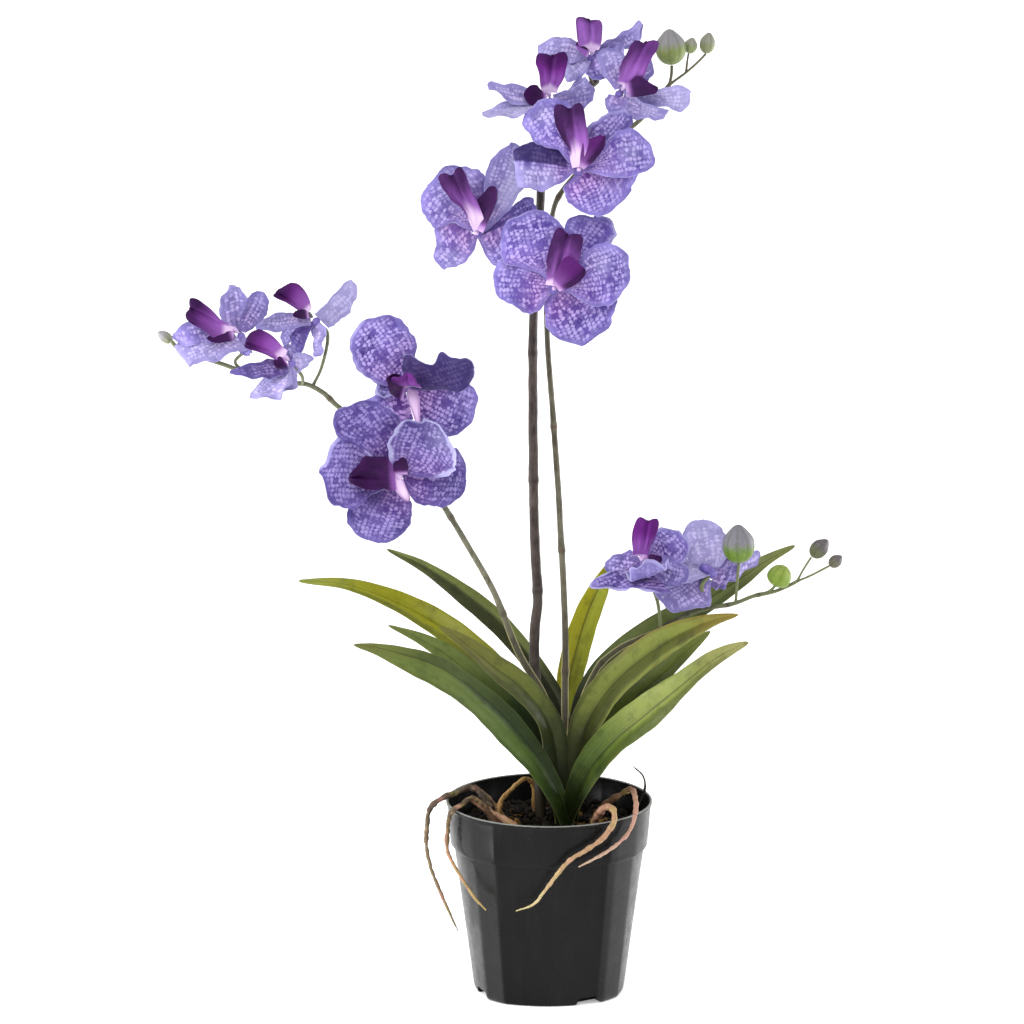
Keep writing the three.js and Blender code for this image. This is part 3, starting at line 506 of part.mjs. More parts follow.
// ---- flowers ----
function blade({ base, tip, normal, bow, cup, curl, left, right }, picks, vs, thickness, notch = 0, extra = 0) {
  const b = V(base);
  const t = V(tip);
  const along = t.clone().sub(b);
  const length = along.length();
  along.normalize();
  const face = V(normal);
  face.addScaledVector(along, -face.dot(along)).normalize();
  const side = along.clone().cross(face);
  const full = Math.max(...left) + Math.max(...right);
  const end = SHARES.length - 1;
  return slab(picks.map((i) => SHARES[i]), vs, thickness + 2 * extra, (s, v) => {
    const i = SHARES.indexOf(s);
    const room = (w) => Math.max(w, i === end ? 0.12 * full : 1.6) + extra;
    const across = v < 0 ? v * room(left[i]) : v * room(right[i]);
    const back = i === end ? notch * length * (1 - Math.abs(v)) : 0;
    const over = extra * (i === end ? 1 : i === 0 ? -1 : 0);
    const turn = Math.max(0, (s - 0.55) / 0.45);
    const point = b
      .clone()
      .addScaledVector(along, length * s - back + over)
      .addScaledVector(side, across)
      .addScaledVector(face, 4 * bow * length * s * (1 - s) - curl * length * turn * turn + (cup * 2 * v * v * (left[i] + right[i])) / 2);
    return { point, normal: face };
  });
}

function flowerSolids(f, extra) {
  const heart = V(f.centre);
  const facing = V(f.facing);
  const back = heart.clone().addScaledVector(facing, -3.2).toArray();
  const front = heart.clone().addScaledVector(facing, 2.2).toArray();
  const petals = unite([
    ...f.petals.map((row) => blade(row, [0, 1, 2, 4, 5, 6, 8], [-1, 0, 1], PETAL_THICKNESS, 0, extra)),
    egg(back, front, HEART_RADIUS * 2, extra, 4, 6),
  ]);
  const foot = heart.clone().addScaledVector(facing, 3.2).toArray();
  const nose = heart.clone().addScaledVector(facing, 9.5).toArray();
  const lip = unite([
    blade(f.lip, [0, 1, 2, 4, 6, 8], [-1, 0, 1], LIP_THICKNESS, 0.06, extra),
    ...f.lobes.map((row) => blade(row, [0, 3, 6, 8], [-1, 1], LIP_THICKNESS, 0, extra)),
    egg(foot, nose, COLUMN_RADIUS * 2, extra, 4, 5),
  ]);
  return { petals, lip };
}

// ---- assembling, each piece cleared from the ones already placed ----
const orchid = new THREE.Group();
const placed = [];
function place(name, solid, roomy, colour, roughness) {
  const box = solid.boundingBox();
  const near = placed.filter(
    (p) =>
      p.box.max[0] > box.min[0] && p.box.min[0] < box.max[0] &&
      p.box.max[1] > box.min[1] && p.box.min[1] < box.max[1] &&
      p.box.max[2] > box.min[2] && p.box.min[2] < box.max[2],
  );
  let piece = solid;
  for (const p of near) if (piece.intersect(p.roomy).volume() > 0) piece = piece.subtract(p.roomy);
  const bodies = piece.decompose().sort((a, b) => b.volume() - a.volume());
  piece = bodies[0];
  placed.push({ name, roomy, box: roomy.boundingBox() });
  const mesh = new THREE.Mesh(
    geometryOf(piece),
    new THREE.MeshStandardMaterial({ color: colour, roughness, metalness: 0 }),
  );
  mesh.name = name;
  orchid.add(mesh);
}

for (const [name, f] of Object.entries(FLOWERS)) {
  const tight = flowerSolids(f, 0);
  const roomy = flowerSolids(f, GAP);
  place(name + "_petals", tight.petals, roomy.petals, 0x6a5cb8, 0.55);
  place(name + "_lip", tight.lip, roomy.lip, 0x5a2478, 0.5);
}

for (const [name, b] of Object.entries(BUDS))
  place(name, egg(b.base, b.tip, b.width, 0, 6, 8, 0.3), egg(b.base, b.tip, b.width, GAP, 6, 8, 0.3), 0x8a9a62, 0.55);

for (const [name, s] of Object.entries(SPIKES)) {
  const make = (extra) =>
    unite([
      bar(s.path, s.r[0], s.r[1], s.sides, s.steps, extra),
      ...s.stalks.map((k) => bar(k.path, k.r[0], k.r[1], 6, 4, extra)),
    ]);
  place(name, make(0), make(GAP), 0x6b6255, 0.55);
}

function leafSolid(stations, extra) {
  const spine = new THREE.CatmullRomCurve3(stations.map((s) => V(s)), false, "centripetal");
  const n = stations.length - 1;
  const ts = stations.map((_, i) => i / n);
  const points = stations.map((s) => V(s));
  return slab(ts, [-1, 0, 1], LEAF_THICKNESS + 2 * extra, (t, v) => {
    const i = Math.round(t * n);
    const along = spine.getTangent(t);
    const face = new THREE.Vector3(stations[i][4], stations[i][5], stations[i][6]);
    face.addScaledVector(along, -face.dot(along)).normalize();
    const side = along.clone().cross(face);
    const half = stations[i][3] / 2 + extra;
    const point = points[i]
      .clone()
      .addScaledVector(side, v * half)
      .addScaledVector(face, LEAF_FOLD * half * (Math.abs(v) - 0.5))
      .addScaledVector(along, i === 0 ? -extra : i === n ? extra : 0);
    return { point, normal: face };
  });
}
for (const name of ["leaf_05", "leaf_10", "leaf_08", "leaf_03", "leaf_09", "leaf_04", "leaf_02", "leaf_07", "leaf_01", "leaf_06"])
  place(name, leafSolid(LEAVES[name], 0), leafSolid(LEAVES[name], GAP), 0x55763a, 0.45);

// ---- pot ----
function potSolid(extra) {
  const outer = [
    [0, 0 - extra],
    [BODY_FOOT_RADIUS - 2.5, 0 - extra],
    [BODY_FOOT_RADIUS + 0.3 + extra, 2.6],
    [BODY_TOP_RADIUS + extra, POT_HEIGHT - BAND_HEIGHT - 1],
    [BAND_FOOT_RADIUS + extra, POT_HEIGHT - BAND_HEIGHT],
    [RIM_RADIUS + extra, POT_HEIGHT + extra],
    [RIM_RADIUS - WALL - extra, POT_HEIGHT + extra],
    [BAND_FOOT_RADIUS - WALL - extra, POT_HEIGHT - BAND_HEIGHT + 1],
    [BODY_TOP_RADIUS - WALL - extra, POT_HEIGHT - BAND_HEIGHT - 1],
    [BODY_FOOT_RADIUS - WALL - extra, FLOOR + extra],
    [0, FLOOR + extra],
  ].map(([x, z]) => new THREE.Vector2(x, z));
  const g = new THREE.LatheGeometry(outer, 24);
  g.rotateX(Math.PI / 2);
  return solidOf(g);
}
function drain(bearing) {
  const g = new THREE.BoxGeometry(DRAIN_WIDTH, 16, DRAIN_HEIGHT + 2);
  g.translate(0, -(BODY_FOOT_RADIUS + 1), DRAIN_HEIGHT / 2 - 1);
  g.rotateZ(THREE.MathUtils.degToRad(bearing));
  return solidOf(g);
}
const pot = DRAIN_BEARINGS.reduce((s, b) => s.subtract(drain(b)), potSolid(0));
place("pot", pot, potSolid(GAP), 0x333334, 0.5);

for (const [name, r] of Object.entries(ROOTS))
  place(name, bar(r.path, r.r[0], r.r[1], r.sides, r.steps), bar(r.path, r.r[0], r.r[1], r.sides, r.steps, GAP), 0x9a7a55, 0.75);

// ---- bark medium, around everything that is planted in it ----
const soil = new THREE.LatheGeometry(
  [
    [0, FLOOR + 0.5],
    [BODY_FOOT_RADIUS - WALL - 0.6, FLOOR + 0.5],
    [BODY_TOP_RADIUS - WALL - 0.6, POT_HEIGHT - BAND_HEIGHT - 0.6],
    [BAND_FOOT_RADIUS - WALL - 0.6, POT_HEIGHT - BAND_HEIGHT + 1.4],
    [BAND_FOOT_RADIUS - WALL + 0.4, SOIL_EDGE],
    [38, SOIL_EDGE + 2.4],
    [0, SOIL_CROWN],
  ].map(([x, z]) => new THREE.Vector2(x, z)),
  20,
);
soil.rotateX(Math.PI / 2);
place("bark_medium", solidOf(soil), solidOf(soil), 0x241f1b, 0.95);

export default orchid;
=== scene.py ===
"""Looks of the potted vanda orchid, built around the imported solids. Tables are in millimetres, the scene in metres, +Z up, -Y the front."""
import math

import bpy
import numpy as np
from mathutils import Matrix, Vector, noise


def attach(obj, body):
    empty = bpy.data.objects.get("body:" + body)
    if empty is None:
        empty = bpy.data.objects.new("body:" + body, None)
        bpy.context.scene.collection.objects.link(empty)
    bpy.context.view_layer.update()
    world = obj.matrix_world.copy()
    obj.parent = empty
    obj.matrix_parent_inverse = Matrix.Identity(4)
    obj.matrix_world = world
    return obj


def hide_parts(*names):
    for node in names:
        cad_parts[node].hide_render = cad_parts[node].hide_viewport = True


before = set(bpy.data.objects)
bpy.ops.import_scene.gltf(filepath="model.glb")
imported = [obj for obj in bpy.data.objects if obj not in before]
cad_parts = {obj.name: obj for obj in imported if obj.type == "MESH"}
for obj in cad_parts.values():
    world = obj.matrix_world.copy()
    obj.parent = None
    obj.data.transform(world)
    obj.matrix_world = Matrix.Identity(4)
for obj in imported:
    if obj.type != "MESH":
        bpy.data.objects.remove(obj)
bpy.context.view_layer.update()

MM = 0.001

# ---- tables ----
# flowers: petals, lip and its side lobes give base, tip, face normal, bow, cup, curl and the half widths
# to the left and to the right of the axis at SHARES of the length
FLOWERS = {
 "flower_01": dict(centre=[1.6,-30.0,456.6], facing=[0.099,-0.988,0.119],
  petals=[dict(base=[1.0,-29.9,458.8], tip=[-11.9,-34.0,505.3], normal=[-0.078,-0.991,-0.109], bow=0.06, cup=-0.05, curl=0.03, left=[2.0,3.9,14.7,24.4,25.4,22.9,19.2,15.4,5.8], right=[3.0,8.1,12.5,15.6,17.1,15.4,11.5,8.5,4.4]),
   dict(base=[-0.7,-30.4,456.8], tip=[-35.4,-32.0,459.4], normal=[0.067,-0.944,0.323], bow=0.06, cup=-0.05, curl=0.05, left=[5.0,14.5,16.8,15.9,13.5,10.9,8.3,5.6,1.8], right=[6.4,10.2,11.3,12.6,13.9,15.6,17.2,14.7,8.1]),
   dict(base=[2.6,-29.3,454.5], tip=[19.8,-28.0,419.6], normal=[0.165,-0.985,0.044], bow=0.08, cup=-0.06, curl=0.05, left=[13.2,23.2,28.8,31.9,31.5,27.9,23.9,19.6,8.9], right=[2.0,10.0,12.5,14.1,13.7,10.3,5.6,2.5,0.7]),
   dict(base=[3.9,-30.9,457.3], tip=[50.5,-30.0,469.2], normal=[0.014,-1.0,0.021], bow=0.08, cup=0.05, curl=0.1, left=[2.0,4.9,8.9,17.6,20.5,19.8,16.3,11.9,7.9], right=[2.0,5.3,12.8,18.2,17.6,15.0,10.8,6.5,2.5]),
   dict(base=[2.6,-28.3,458.4], tip=[28.8,-17.4,502.3], normal=[-0.15,-0.935,0.322], bow=0.04, cup=-0.05, curl=0.05, left=[2.0,2.0,3.7,6.6,10.5,13.7,9.9,0.7,0.7], right=[2.0,6.1,9.2,11.9,14.8,17.5,17.7,14.9,11.5])],
  lip=dict(base=[2.5,-35.1,459.0], tip=[11.2,-47.0,495.8], normal=[-0.049,-0.954,-0.296], bow=0.05, cup=0.12, curl=0, left=[5.5,5.9,7.1,8.9,9.1,8.9,8.4,7.4,5.8], right=[4.1,7.1,9.5,10.3,10.5,10.3,10.2,8.1,0.5]),
  lobes=[dict(base=[3.6,-35.2,458.3], tip=[20.8,-42.8,470.9], normal=[-0.101,-0.908,-0.408], bow=0, cup=0, curl=0, left=[1.6,3.1,4.4,5.5,6.3,6.9,7.2,6.7,4.9], right=[3.1,3.4,3.3,3.5,3.7,3.5,3.0,2.4,1.3])]),
 "flower_02": dict(centre=[-44.7,-8.0,487.5], facing=[-0.147,-0.978,0.147],
  petals=[dict(base=[-46.4,-9.0,489.3], tip=[-76.1,-11.0,518.5], normal=[0.111,-0.993,0.046], bow=0.05, cup=-0.05, curl=0.04, left=[2.0,2.0,2.0,14.2,14.9,14.3,11.7,7.4,0.7], right=[3.7,11.4,19.7,25.2,26.8,25.1,21.1,17.8,13.7]),
   dict(base=[-46.3,-8.3,485.9], tip=[-65.9,-8.0,464.1], normal=[0.053,-0.997,-0.061], bow=0.05, cup=-0.04, curl=0.05, left=[2.1,3.1,3.5,4.1,5.4,4.9,2.2,0.7,0.7], right=[18.9,20.4,20.5,19.4,16.9,13.7,11.7,9.8,7.5]),
   dict(base=[-43.8,-7.2,489.6], tip=[-23.7,-1.8,543.0], normal=[0.28,-0.96,-0.009], bow=0.04, cup=0.08, curl=0.03, left=[2.1,2.7,5.4,8.0,9.8,9.8,7.2,3.6,0.7], right=[4.0,8.5,12.1,14.5,15.6,15.9,15.2,13.9,10.8]),
   dict(base=[-42.5,-6.2,488.3], tip=[-9.3,4.0,505.2], normal=[0.044,-0.891,0.451], bow=0.03, cup=-0.05, curl=0.03, left=[2.1,3.3,4.3,3.6,4.1,5.6,5.9,4.9,3.0], right=[2.1,2.6,4.4,5.1,5.8,6.3,6.2,5.2,2.5]),
   dict(base=[-43.6,-7.0,485.5], tip=[-32.9,0.0,464.9], normal=[-0.028,-0.941,-0.336], bow=0.05, cup=-0.05, curl=0.03, left=[17.6,17.8,17.4,16.3,14.5,12.1,9.3,6.5,4.1], right=[2.1,2.1,2.1,2.6,2.9,2.8,2.5,1.9,0.7])],
  lip=dict(base=[-46.1,-13.0,490.0], tip=[-61.6,-23.9,528.6], normal=[0.156,-0.965,-0.209], bow=0.05, cup=0.12, curl=0, left=[1.4,1.4,1.4,2.7,6.6,7.9,8.8,8.6,7.1], right=[4.9,7.5,7.9,8.0,7.1,7.5,7.8,7.4,6.4]),
  lobes=[dict(base=[-44.7,-13.0,490.0], tip=[-34.6,-20.2,517.6], normal=[-0.286,-0.948,-0.142], bow=0, cup=0, curl=0, left=[1.0,1.9,4.2,5.6,6.0,4.6,3.6,2.9,1.7], right=[3.6,4.0,4.2,4.5,4.7,4.7,3.7,2.6,1.2])]),
 "flower_03": dict(centre=[16.8,-28.0,529.4], facing=[0.102,-0.973,0.205],
  petals=[dict(base=[15.5,-29.0,531.5], tip=[-12.6,-30.0,568.4], normal=[-0.138,-0.982,-0.132], bow=0.05, cup=-0.05, curl=0.04, left=[2.0,2.0,2.0,8.1,11.7,10.2,11.4,7.0,3.5], right=[2.0,7.0,12.1,16.1,19.0,19.8,17.7,12.9,6.6]),
   dict(base=[14.6,-28.5,529.9], tip=[-23.4,-32.1,535.7], normal=[0.137,-0.938,0.318], bow=0.06, cup=-0.1, curl=0.05, left=[2.0,8.1,12.5,15.6,16.2,15.8,14.5,3.2,0.7], right=[2.0,9.3,12.8,14.0,13.4,13.3,11.5,9.2,6.8]),
   dict(base=[17.7,-28.0,527.3], tip=[29.6,-32.2,500.4], normal=[0.109,-0.974,0.2], bow=0.08, cup=-0.08, curl=0.04, left=[16.1,24.7,30.5,32.7,30.1,25.5,19.6,12.3,8.2], right=[3.0,12.3,13.5,13.0,10.9,7.9,4.9,1.7,0.7]),
   dict(base=[19.2,-28.9,530.1], tip=[64.2,-28.0,538.7], normal=[-0.023,-0.975,0.22], bow=0.08, cup=0.04, curl=0.08, left=[2.0,4.9,9.8,15.6,18.7,18.5,13.9,8.8,3.7], right=[2.0,3.9,7.9,10.1,10.3,9.9,8.9,6.3,2.9]),
   dict(base=[18.3,-26.3,530.8], tip=[50.4,-17.9,561.8], normal=[0.404,-0.898,-0.172], bow=0.03, cup=0.05, curl=0.02, left=[2.3,6.4,13.2,18.7,17.4,14.4,11.8,8.5,5.3], right=[2.3,2.3,2.3,2.3,2.3,2.6,4.1,3.5,0.9])],
  lip=dict(base=[17.0,-33.0,532.3], tip=[11.0,-44.1,572.3], normal=[-0.057,-0.96,-0.275], bow=0.05, cup=0.12, curl=0, left=[3.7,4.1,3.7,6.2,8.3,9.9,10.1,9.3,7.8], right=[2.1,4.3,7.4,9.1,8.9,8.8,8.7,7.9,6.6]),
  lobes=[dict(base=[18.4,-33.1,531.9], tip=[33.1,-40.6,551.0], normal=[0.019,-0.925,-0.379], bow=0, cup=0, curl=0, left=[1.0,2.4,4.3,5.8,7.2,6.1,4.1,3.1,2.3], right=[2.2,2.6,3.2,3.5,3.7,3.6,2.6,1.1,0.4])]),
 "flower_04": dict(centre=[-0.2,-6.0,569.8], facing=[-0.1,-0.597,0.796],
  petals=[dict(base=[-2.5,-6.4,570.6], tip=[-38.5,-10.1,579.1], normal=[0.233,-0.683,0.692], bow=0.03, cup=0.08, curl=0.02, left=[2.6,6.8,10.6,11.1,10.1,9.8,5.7,4.3,2.8], right=[2.6,2.6,2.6,3.8,4.2,2.6,4.3,4.8,3.7]),
   dict(base=[-2.4,-6.5,569.4], tip=[-41.7,-16.1,561.8], normal=[-0.135,-0.219,0.966], bow=0.03, cup=0.03, curl=0.02, left=[11.7,15.8,19.6,20.4,18.0,13.9,9.1,7.5,6.0], right=[5.8,5.8,5.8,5.8,5.8,5.8,5.8,4.9,5.1]),
   dict(base=[0.4,-6.8,567.8], tip=[4.1,-12.1,554.9], normal=[-0.548,-0.818,0.175], bow=0.05, cup=-0.03, curl=0.03, left=[4.3,7.2,9.3,10.6,10.8,9.7,8.1,6.4,4.3], right=[3.9,6.1,7.3,7.3,6.4,5.0,3.2,1.5,0.8]),
   dict(base=[2.0,-6.5,570.7], tip=[27.7,-8.0,574.5], normal=[0.037,-0.816,-0.576], bow=0.04, cup=0.06, curl=0.04, left=[2.6,4.5,6.2,7.2,7.8,9.2,8.7,6.5,4.2], right=[3.8,7.1,8.8,9.5,9.5,8.5,6.4,3.7,0.9]),
   dict(base=[1.8,-4.6,570.0], tip=[23.6,4.1,581.2], normal=[0.54,-0.625,-0.564], bow=0.03, cup=0.03, curl=0.02, left=[3.4,3.4,5.0,5.9,7.5,8.3,6.8,4.1,1.4], right=[3.4,3.5,4.5,4.4,4.7,5.6,5.0,3.6,2.2])],
  lip=dict(base=[-0.6,-9.4,575.4], tip=[0.9,-18.7,600.9], normal=[-0.037,-0.94,-0.339], bow=0.05, cup=0.1, curl=0, left=[4.5,5.5,6.4,6.9,8.2,9.7,9.5,7.5,0.5], right=[4.7,5.4,7.2,8.5,9.0,9.7,9.9,8.8,7.5]),
  lobes=[dict(base=[-2.5,-9.6,573.6], tip=[-16.0,-16.3,574.2], normal=[0.433,-0.856,0.284], bow=0, cup=0, curl=0, left=[1.0,4.4,5.2,6.6,7.0,6.7,5.4,3.7,2.1], right=[1.0,1.0,3.4,5.8,6.0,5.5,4.2,2.7,1.3])]),
 "flower_05": dict(centre=[25.2,10.0,594.6], facing=[0.108,-0.755,0.647],
  petals=[dict(base=[23.0,9.5,595.4], tip=[-7.7,10.0,601.3], normal=[0.045,-0.951,0.307], bow=0.05, cup=-0.08, curl=0.06, left=[2.0,5.1,7.1,7.3,7.2,6.8,6.1,5.3,4.4], right=[2.0,4.0,7.3,8.6,8.1,6.8,4.6,2.2,0.7]),
   dict(base=[23.6,9.4,593.1], tip=[10.0,3.9,580.1], normal=[-0.112,-0.867,0.486], bow=0.05, cup=-0.04, curl=0.03, left=[2.1,3.3,4.7,5.2,5.0,4.1,2.7,1.5,0.7], right=[4.4,8.3,10.9,10.6,8.7,6.6,4.3,2.7,1.4]),
   dict(base=[26.0,9.2,592.7], tip=[30.9,5.9,580.4], normal=[-0.523,-0.852,0.024], bow=0.04, cup=-0.04, curl=0.03, left=[5.9,7.9,9.3,9.6,9.2,8.2,6.6,4.8,3.3], right=[4.2,6.3,7.3,7.4,6.9,5.5,3.6,1.6,0.8]),
   dict(base=[27.4,10.4,595.2], tip=[46.3,16.2,598.4], normal=[0.323,-0.909,-0.264], bow=0.04, cup=-0.04, curl=0.03, left=[2.2,2.6,4.4,5.4,5.7,5.4,4.3,2.5,0.9], right=[2.4,3.7,5.1,6.1,6.5,6.2,5.5,4.0,2.3]),
   dict(base=[26.9,11.4,595.3], tip=[57.7,26.1,614.0], normal=[0.437,-0.9,-0.012], bow=0.04, cup=0.05, curl=0.02, left=[2.1,3.6,4.6,2.7,3.9,2.8,3.5,3.6,2.5], right=[2.1,2.5,3.0,6.1,8.8,10.2,8.0,4.1,2.0])],
  lip=dict(base=[25.5,5.9,599.5], tip=[23.6,-0.5,620.8], normal=[0.018,-0.957,-0.289], bow=0.05, cup=0.1, curl=0, left=[5.5,7.0,8.0,8.3,8.4,8.4,8.4,7.8,6.3], right=[4.3,5.7,6.7,7.1,7.6,7.9,6.6,0.5,0.5]),
  lobes=[dict(base=[24.0,5.8,598.4], tip=[15.9,2.1,602.8], normal=[0.44,-0.895,0.07], bow=0, cup=0, curl=0, left=[3.8,3.8,3.5,3.2,2.7,2.2,1.4,0.4,0.4], right=[1.0,1.5,2.4,3.0,3.4,3.3,3.0,2.7,2.2])]),
 "flower_06": dict(centre=[42.7,-12.0,574.9], facing=[0.422,-0.527,0.738],
  petals=[dict(base=[42.1,-11.7,577.2], tip=[33.9,-5.9,601.8], normal=[0.194,-0.938,0.286], bow=0.05, cup=0.04, curl=0.02, left=[2.9,4.4,6.5,7.8,8.2,7.9,7.2,5.8,3.9], right=[2.0,4.8,7.2,8.8,9.7,9.2,7.1,4.5,1.7]),
   dict(base=[43.9,-10.8,576.0], tip=[61.7,-0.2,595.4], normal=[-0.161,-0.797,0.583], bow=0.04, cup=-0.04, curl=0.02, left=[2.2,2.2,2.2,2.2,3.6,4.7,4.9,4.2,3.0], right=[2.2,3.9,6.0,8.5,9.6,8.2,5.9,3.5,1.4]),
   dict(base=[45.2,-12.4,575.2], tip=[86.3,-14.0,572.7], normal=[-0.066,-0.835,-0.546], bow=0.05, cup=0.06, curl=0.05, left=[2.6,2.6,4.0,5.5,8.4,9.1,7.7,5.3,2.4], right=[2.6,5.8,6.8,7.0,7.8,9.7,11.0,9.1,4.2]),
   dict(base=[44.9,-12.9,574.3], tip=[71.8,-21.9,563.2], normal=[-0.462,-0.686,-0.562], bow=0.04, cup=0.04, curl=0.02, left=[3.1,3.1,3.1,3.1,3.1,3.1,3.1,1.4,1.2], right=[12.2,16.1,16.4,14.7,11.3,9.4,7.0,4.3,1.6]),
   dict(base=[41.8,-13.2,573.1], tip=[37.0,-20.0,563.5], normal=[-0.237,-0.735,0.636], bow=0.04, cup=-0.04, curl=0.03, left=[5.9,7.0,7.7,7.8,7.3,6.5,5.3,3.8,2.2], right=[6.4,7.1,7.3,6.9,5.9,4.6,3.2,2.0,0.8])],
  lip=dict(base=[45.4,-15.0,580.0], tip=[59.1,-26.0,610.5], normal=[-0.196,-0.947,-0.253], bow=0.05, cup=0.1, curl=0, left=[4.4,5.1,7.3,7.7,7.3,7.4,6.2,0.5,0.5], right=[5.4,7.2,8.2,8.1,7.7,7.8,8.5,7.9,7.1]),
  lobes=[dict(base=[46.4,-15.4,578.4], tip=[65.0,-26.1,579.6], normal=[-0.468,-0.849,-0.244], bow=0, cup=0, curl=0, left=[2.6,4.1,6.4,8.3,7.2,4.7,2.7,1.4,0.5], right=[5.3,5.2,5.2,4.9,4.6,4.2,3.8,3.1,2.1])]),
 "flower_07": dict(centre=[-92.7,-46.0,342.4], facing=[-0.1,-0.995,0.0],
  petals=[dict(base=[-94.2,-45.7,344.2], tip=[-128.7,-46.0,384.8], normal=[0.009,-1.0,0.001], bow=0.05, cup=-0.05, curl=0.05, left=[2.0,2.3,6.4,7.1,9.1,14.3,12.5,9.6,5.7], right=[2.0,8.9,16.0,22.3,23.3,20.2,14.5,7.9,2.5]),
   dict(base=[-95.1,-46.4,342.6], tip=[-142.8,-48.0,346.0], normal=[0.055,-0.943,0.329], bow=0.06, cup=0.05, curl=0.03, left=[3.1,9.3,14.2,21.2,23.4,22.9,18.4,4.2,2.0], right=[2.0,6.7,9.4,17.7,21.6,20.9,15.8,4.9,2.7]),
   dict(base=[-93.4,-46.0,340.2], tip=[-106.6,-46.0,298.2], normal=[0.098,-0.995,-0.031], bow=0.07, cup=-0.06, curl=0.05, left=[2.0,5.2,12.2,14.5,14.9,13.4,9.1,5.1,0.9], right=[2.0,10.6,17.8,22.8,25.7,23.9,19.9,15.6,9.1]),
   dict(base=[-92.0,-47.8,344.5], tip=[-77.2,-58.3,381.3], normal=[0.014,-0.96,-0.278], bow=0.1, cup=0.1, curl=0.02, left=[2.0,8.2,12.8,15.4,16.3,15.2,11.6,0.7,0.7], right=[5.6,19.4,27.1,28.3,26.7,21.4,15.2,9.6,4.9]),
   dict(base=[-90.5,-46.1,342.2], tip=[-50.7,-42.0,337.8], normal=[0.113,-0.988,0.101], bow=0.06, cup=-0.06, curl=0.06, left=[2.0,10.3,16.4,20.0,21.8,20.1,15.8,10.3,0.9], right=[4.1,12.6,16.9,17.8,17.5,15.8,12.4,8.9,5.7])],
  lip=dict(base=[-95.1,-51.1,342.5], tip=[-126.1,-60.2,343.4], normal=[0.275,-0.903,0.331], bow=0.05, cup=0.1, curl=0, left=[8.3,8.8,7.5,8.2,8.1,6.4,4.3,3.0,1.9], right=[9.3,11.6,11.9,12.2,12.9,7.7,4.3,2.5,1.1]),
  lobes=[dict(base=[-93.3,-51.4,344.2], tip=[-93.7,-57.6,357.3], normal=[0.051,-0.903,-0.427], bow=0, cup=0, curl=0, left=[1.5,2.0,2.2,2.2,2.0,1.6,1.0,0.3,0.3], right=[3.8,3.9,4.1,4.2,3.9,3.5,3.0,2.5,2.0]),
   dict(base=[-92.5,-51.6,340.9], tip=[-87.4,-59.6,328.9], normal=[-0.107,-0.849,0.518], bow=0, cup=0, curl=0, left=[1.6,2.1,2.2,2.3,2.6,2.7,2.5,1.8,0.8], right=[4.8,6.2,7.3,7.3,6.2,4.7,3.2,2.0,1.0])]),
 "flower_08": dict(centre=[-88.0,-26.0,393.3], facing=[-0.101,-0.909,0.404],
  petals=[dict(base=[-89.2,-26.2,395.4], tip=[-114.0,-24.0,435.9], normal=[0.072,-0.993,0.098], bow=0.05, cup=-0.06, curl=0.04, left=[2.0,11.8,17.5,20.0,20.3,18.8,15.5,10.9,5.5], right=[2.0,8.4,16.2,19.7,20.0,18.3,15.0,10.0,3.5]),
   dict(base=[-86.0,-27.5,394.5], tip=[-44.9,-40.1,409.1], normal=[-0.13,-0.902,-0.411], bow=0.06, cup=-0.06, curl=-0.04, left=[14.3,23.1,18.3,11.2,16.1,12.6,11.0,9.8,6.6], right=[2.3,5.5,7.5,9.9,10.8,10.3,8.0,4.5,0.9]),
   dict(base=[-86.0,-25.8,392.3], tip=[-47.3,-22.1,372.8], normal=[0.091,-0.996,-0.01], bow=0.06, cup=-0.05, curl=0.04, left=[2.0,7.8,12.1,15.4,18.2,18.7,16.4,11.6,5.0], right=[2.0,7.8,12.0,13.0,14.3,17.2,14.3,9.0,4.1]),
   dict(base=[-90.3,-26.1,393.8], tip=[-107.5,-21.9,395.2], normal=[-0.143,-0.79,0.596], bow=0.03, cup=0.12, curl=0.02, left=[2.9,5.5,8.2,9.7,10.2,10.0,9.0,7.5,5.9], right=[2.2,3.5,5.8,8.8,11.4,12.0,10.4,5.9,0.8]),
   dict(base=[-90.0,-24.7,392.3], tip=[-117.8,-14.9,380.9], normal=[-0.399,-0.894,0.203], bow=0.04, cup=-0.04, curl=0.03, left=[19.3,19.9,17.9,14.9,11.1,7.7,5.3,3.0,0.8], right=[2.0,2.0,2.0,2.0,2.0,2.0,2.1,2.2,1.8])],
  lip=dict(base=[-88.4,-31.9,396.2], tip=[-88.0,-54.2,408.1], normal=[0.013,-0.473,-0.881], bow=0.06, cup=0.08, curl=0, left=[11.1,11.2,11.1,10.8,10.2,9.1,3.0,2.2,1.0], right=[8.7,8.2,7.5,6.8,5.9,5.0,3.9,2.8,1.6]),
  lobes=[dict(base=[-89.5,-31.8,395.8], tip=[-100.1,-48.8,402.6], normal=[0.807,-0.569,-0.161], bow=0, cup=0, curl=0, left=[6.5,6.7,6.7,6.5,6.1,5.2,3.4,1.5,0.3], right=[1.0,1.8,2.7,3.5,4.0,4.0,3.5,2.8,1.9]),
   dict(base=[-88.0,-31.6,393.9], tip=[-80.6,-53.5,373.0], normal=[-0.14,-0.708,0.692], bow=0, cup=0, curl=0, left=[1.0,6.7,6.9,5.8,4.4,3.0,2.0,1.3,0.7], right=[1.0,2.5,2.7,2.3,2.0,1.8,1.6,1.3,0.7])]),
 "flower_09": dict(centre=[-192.4,-12.0,424.2], facing=[-0.477,-0.572,0.667],
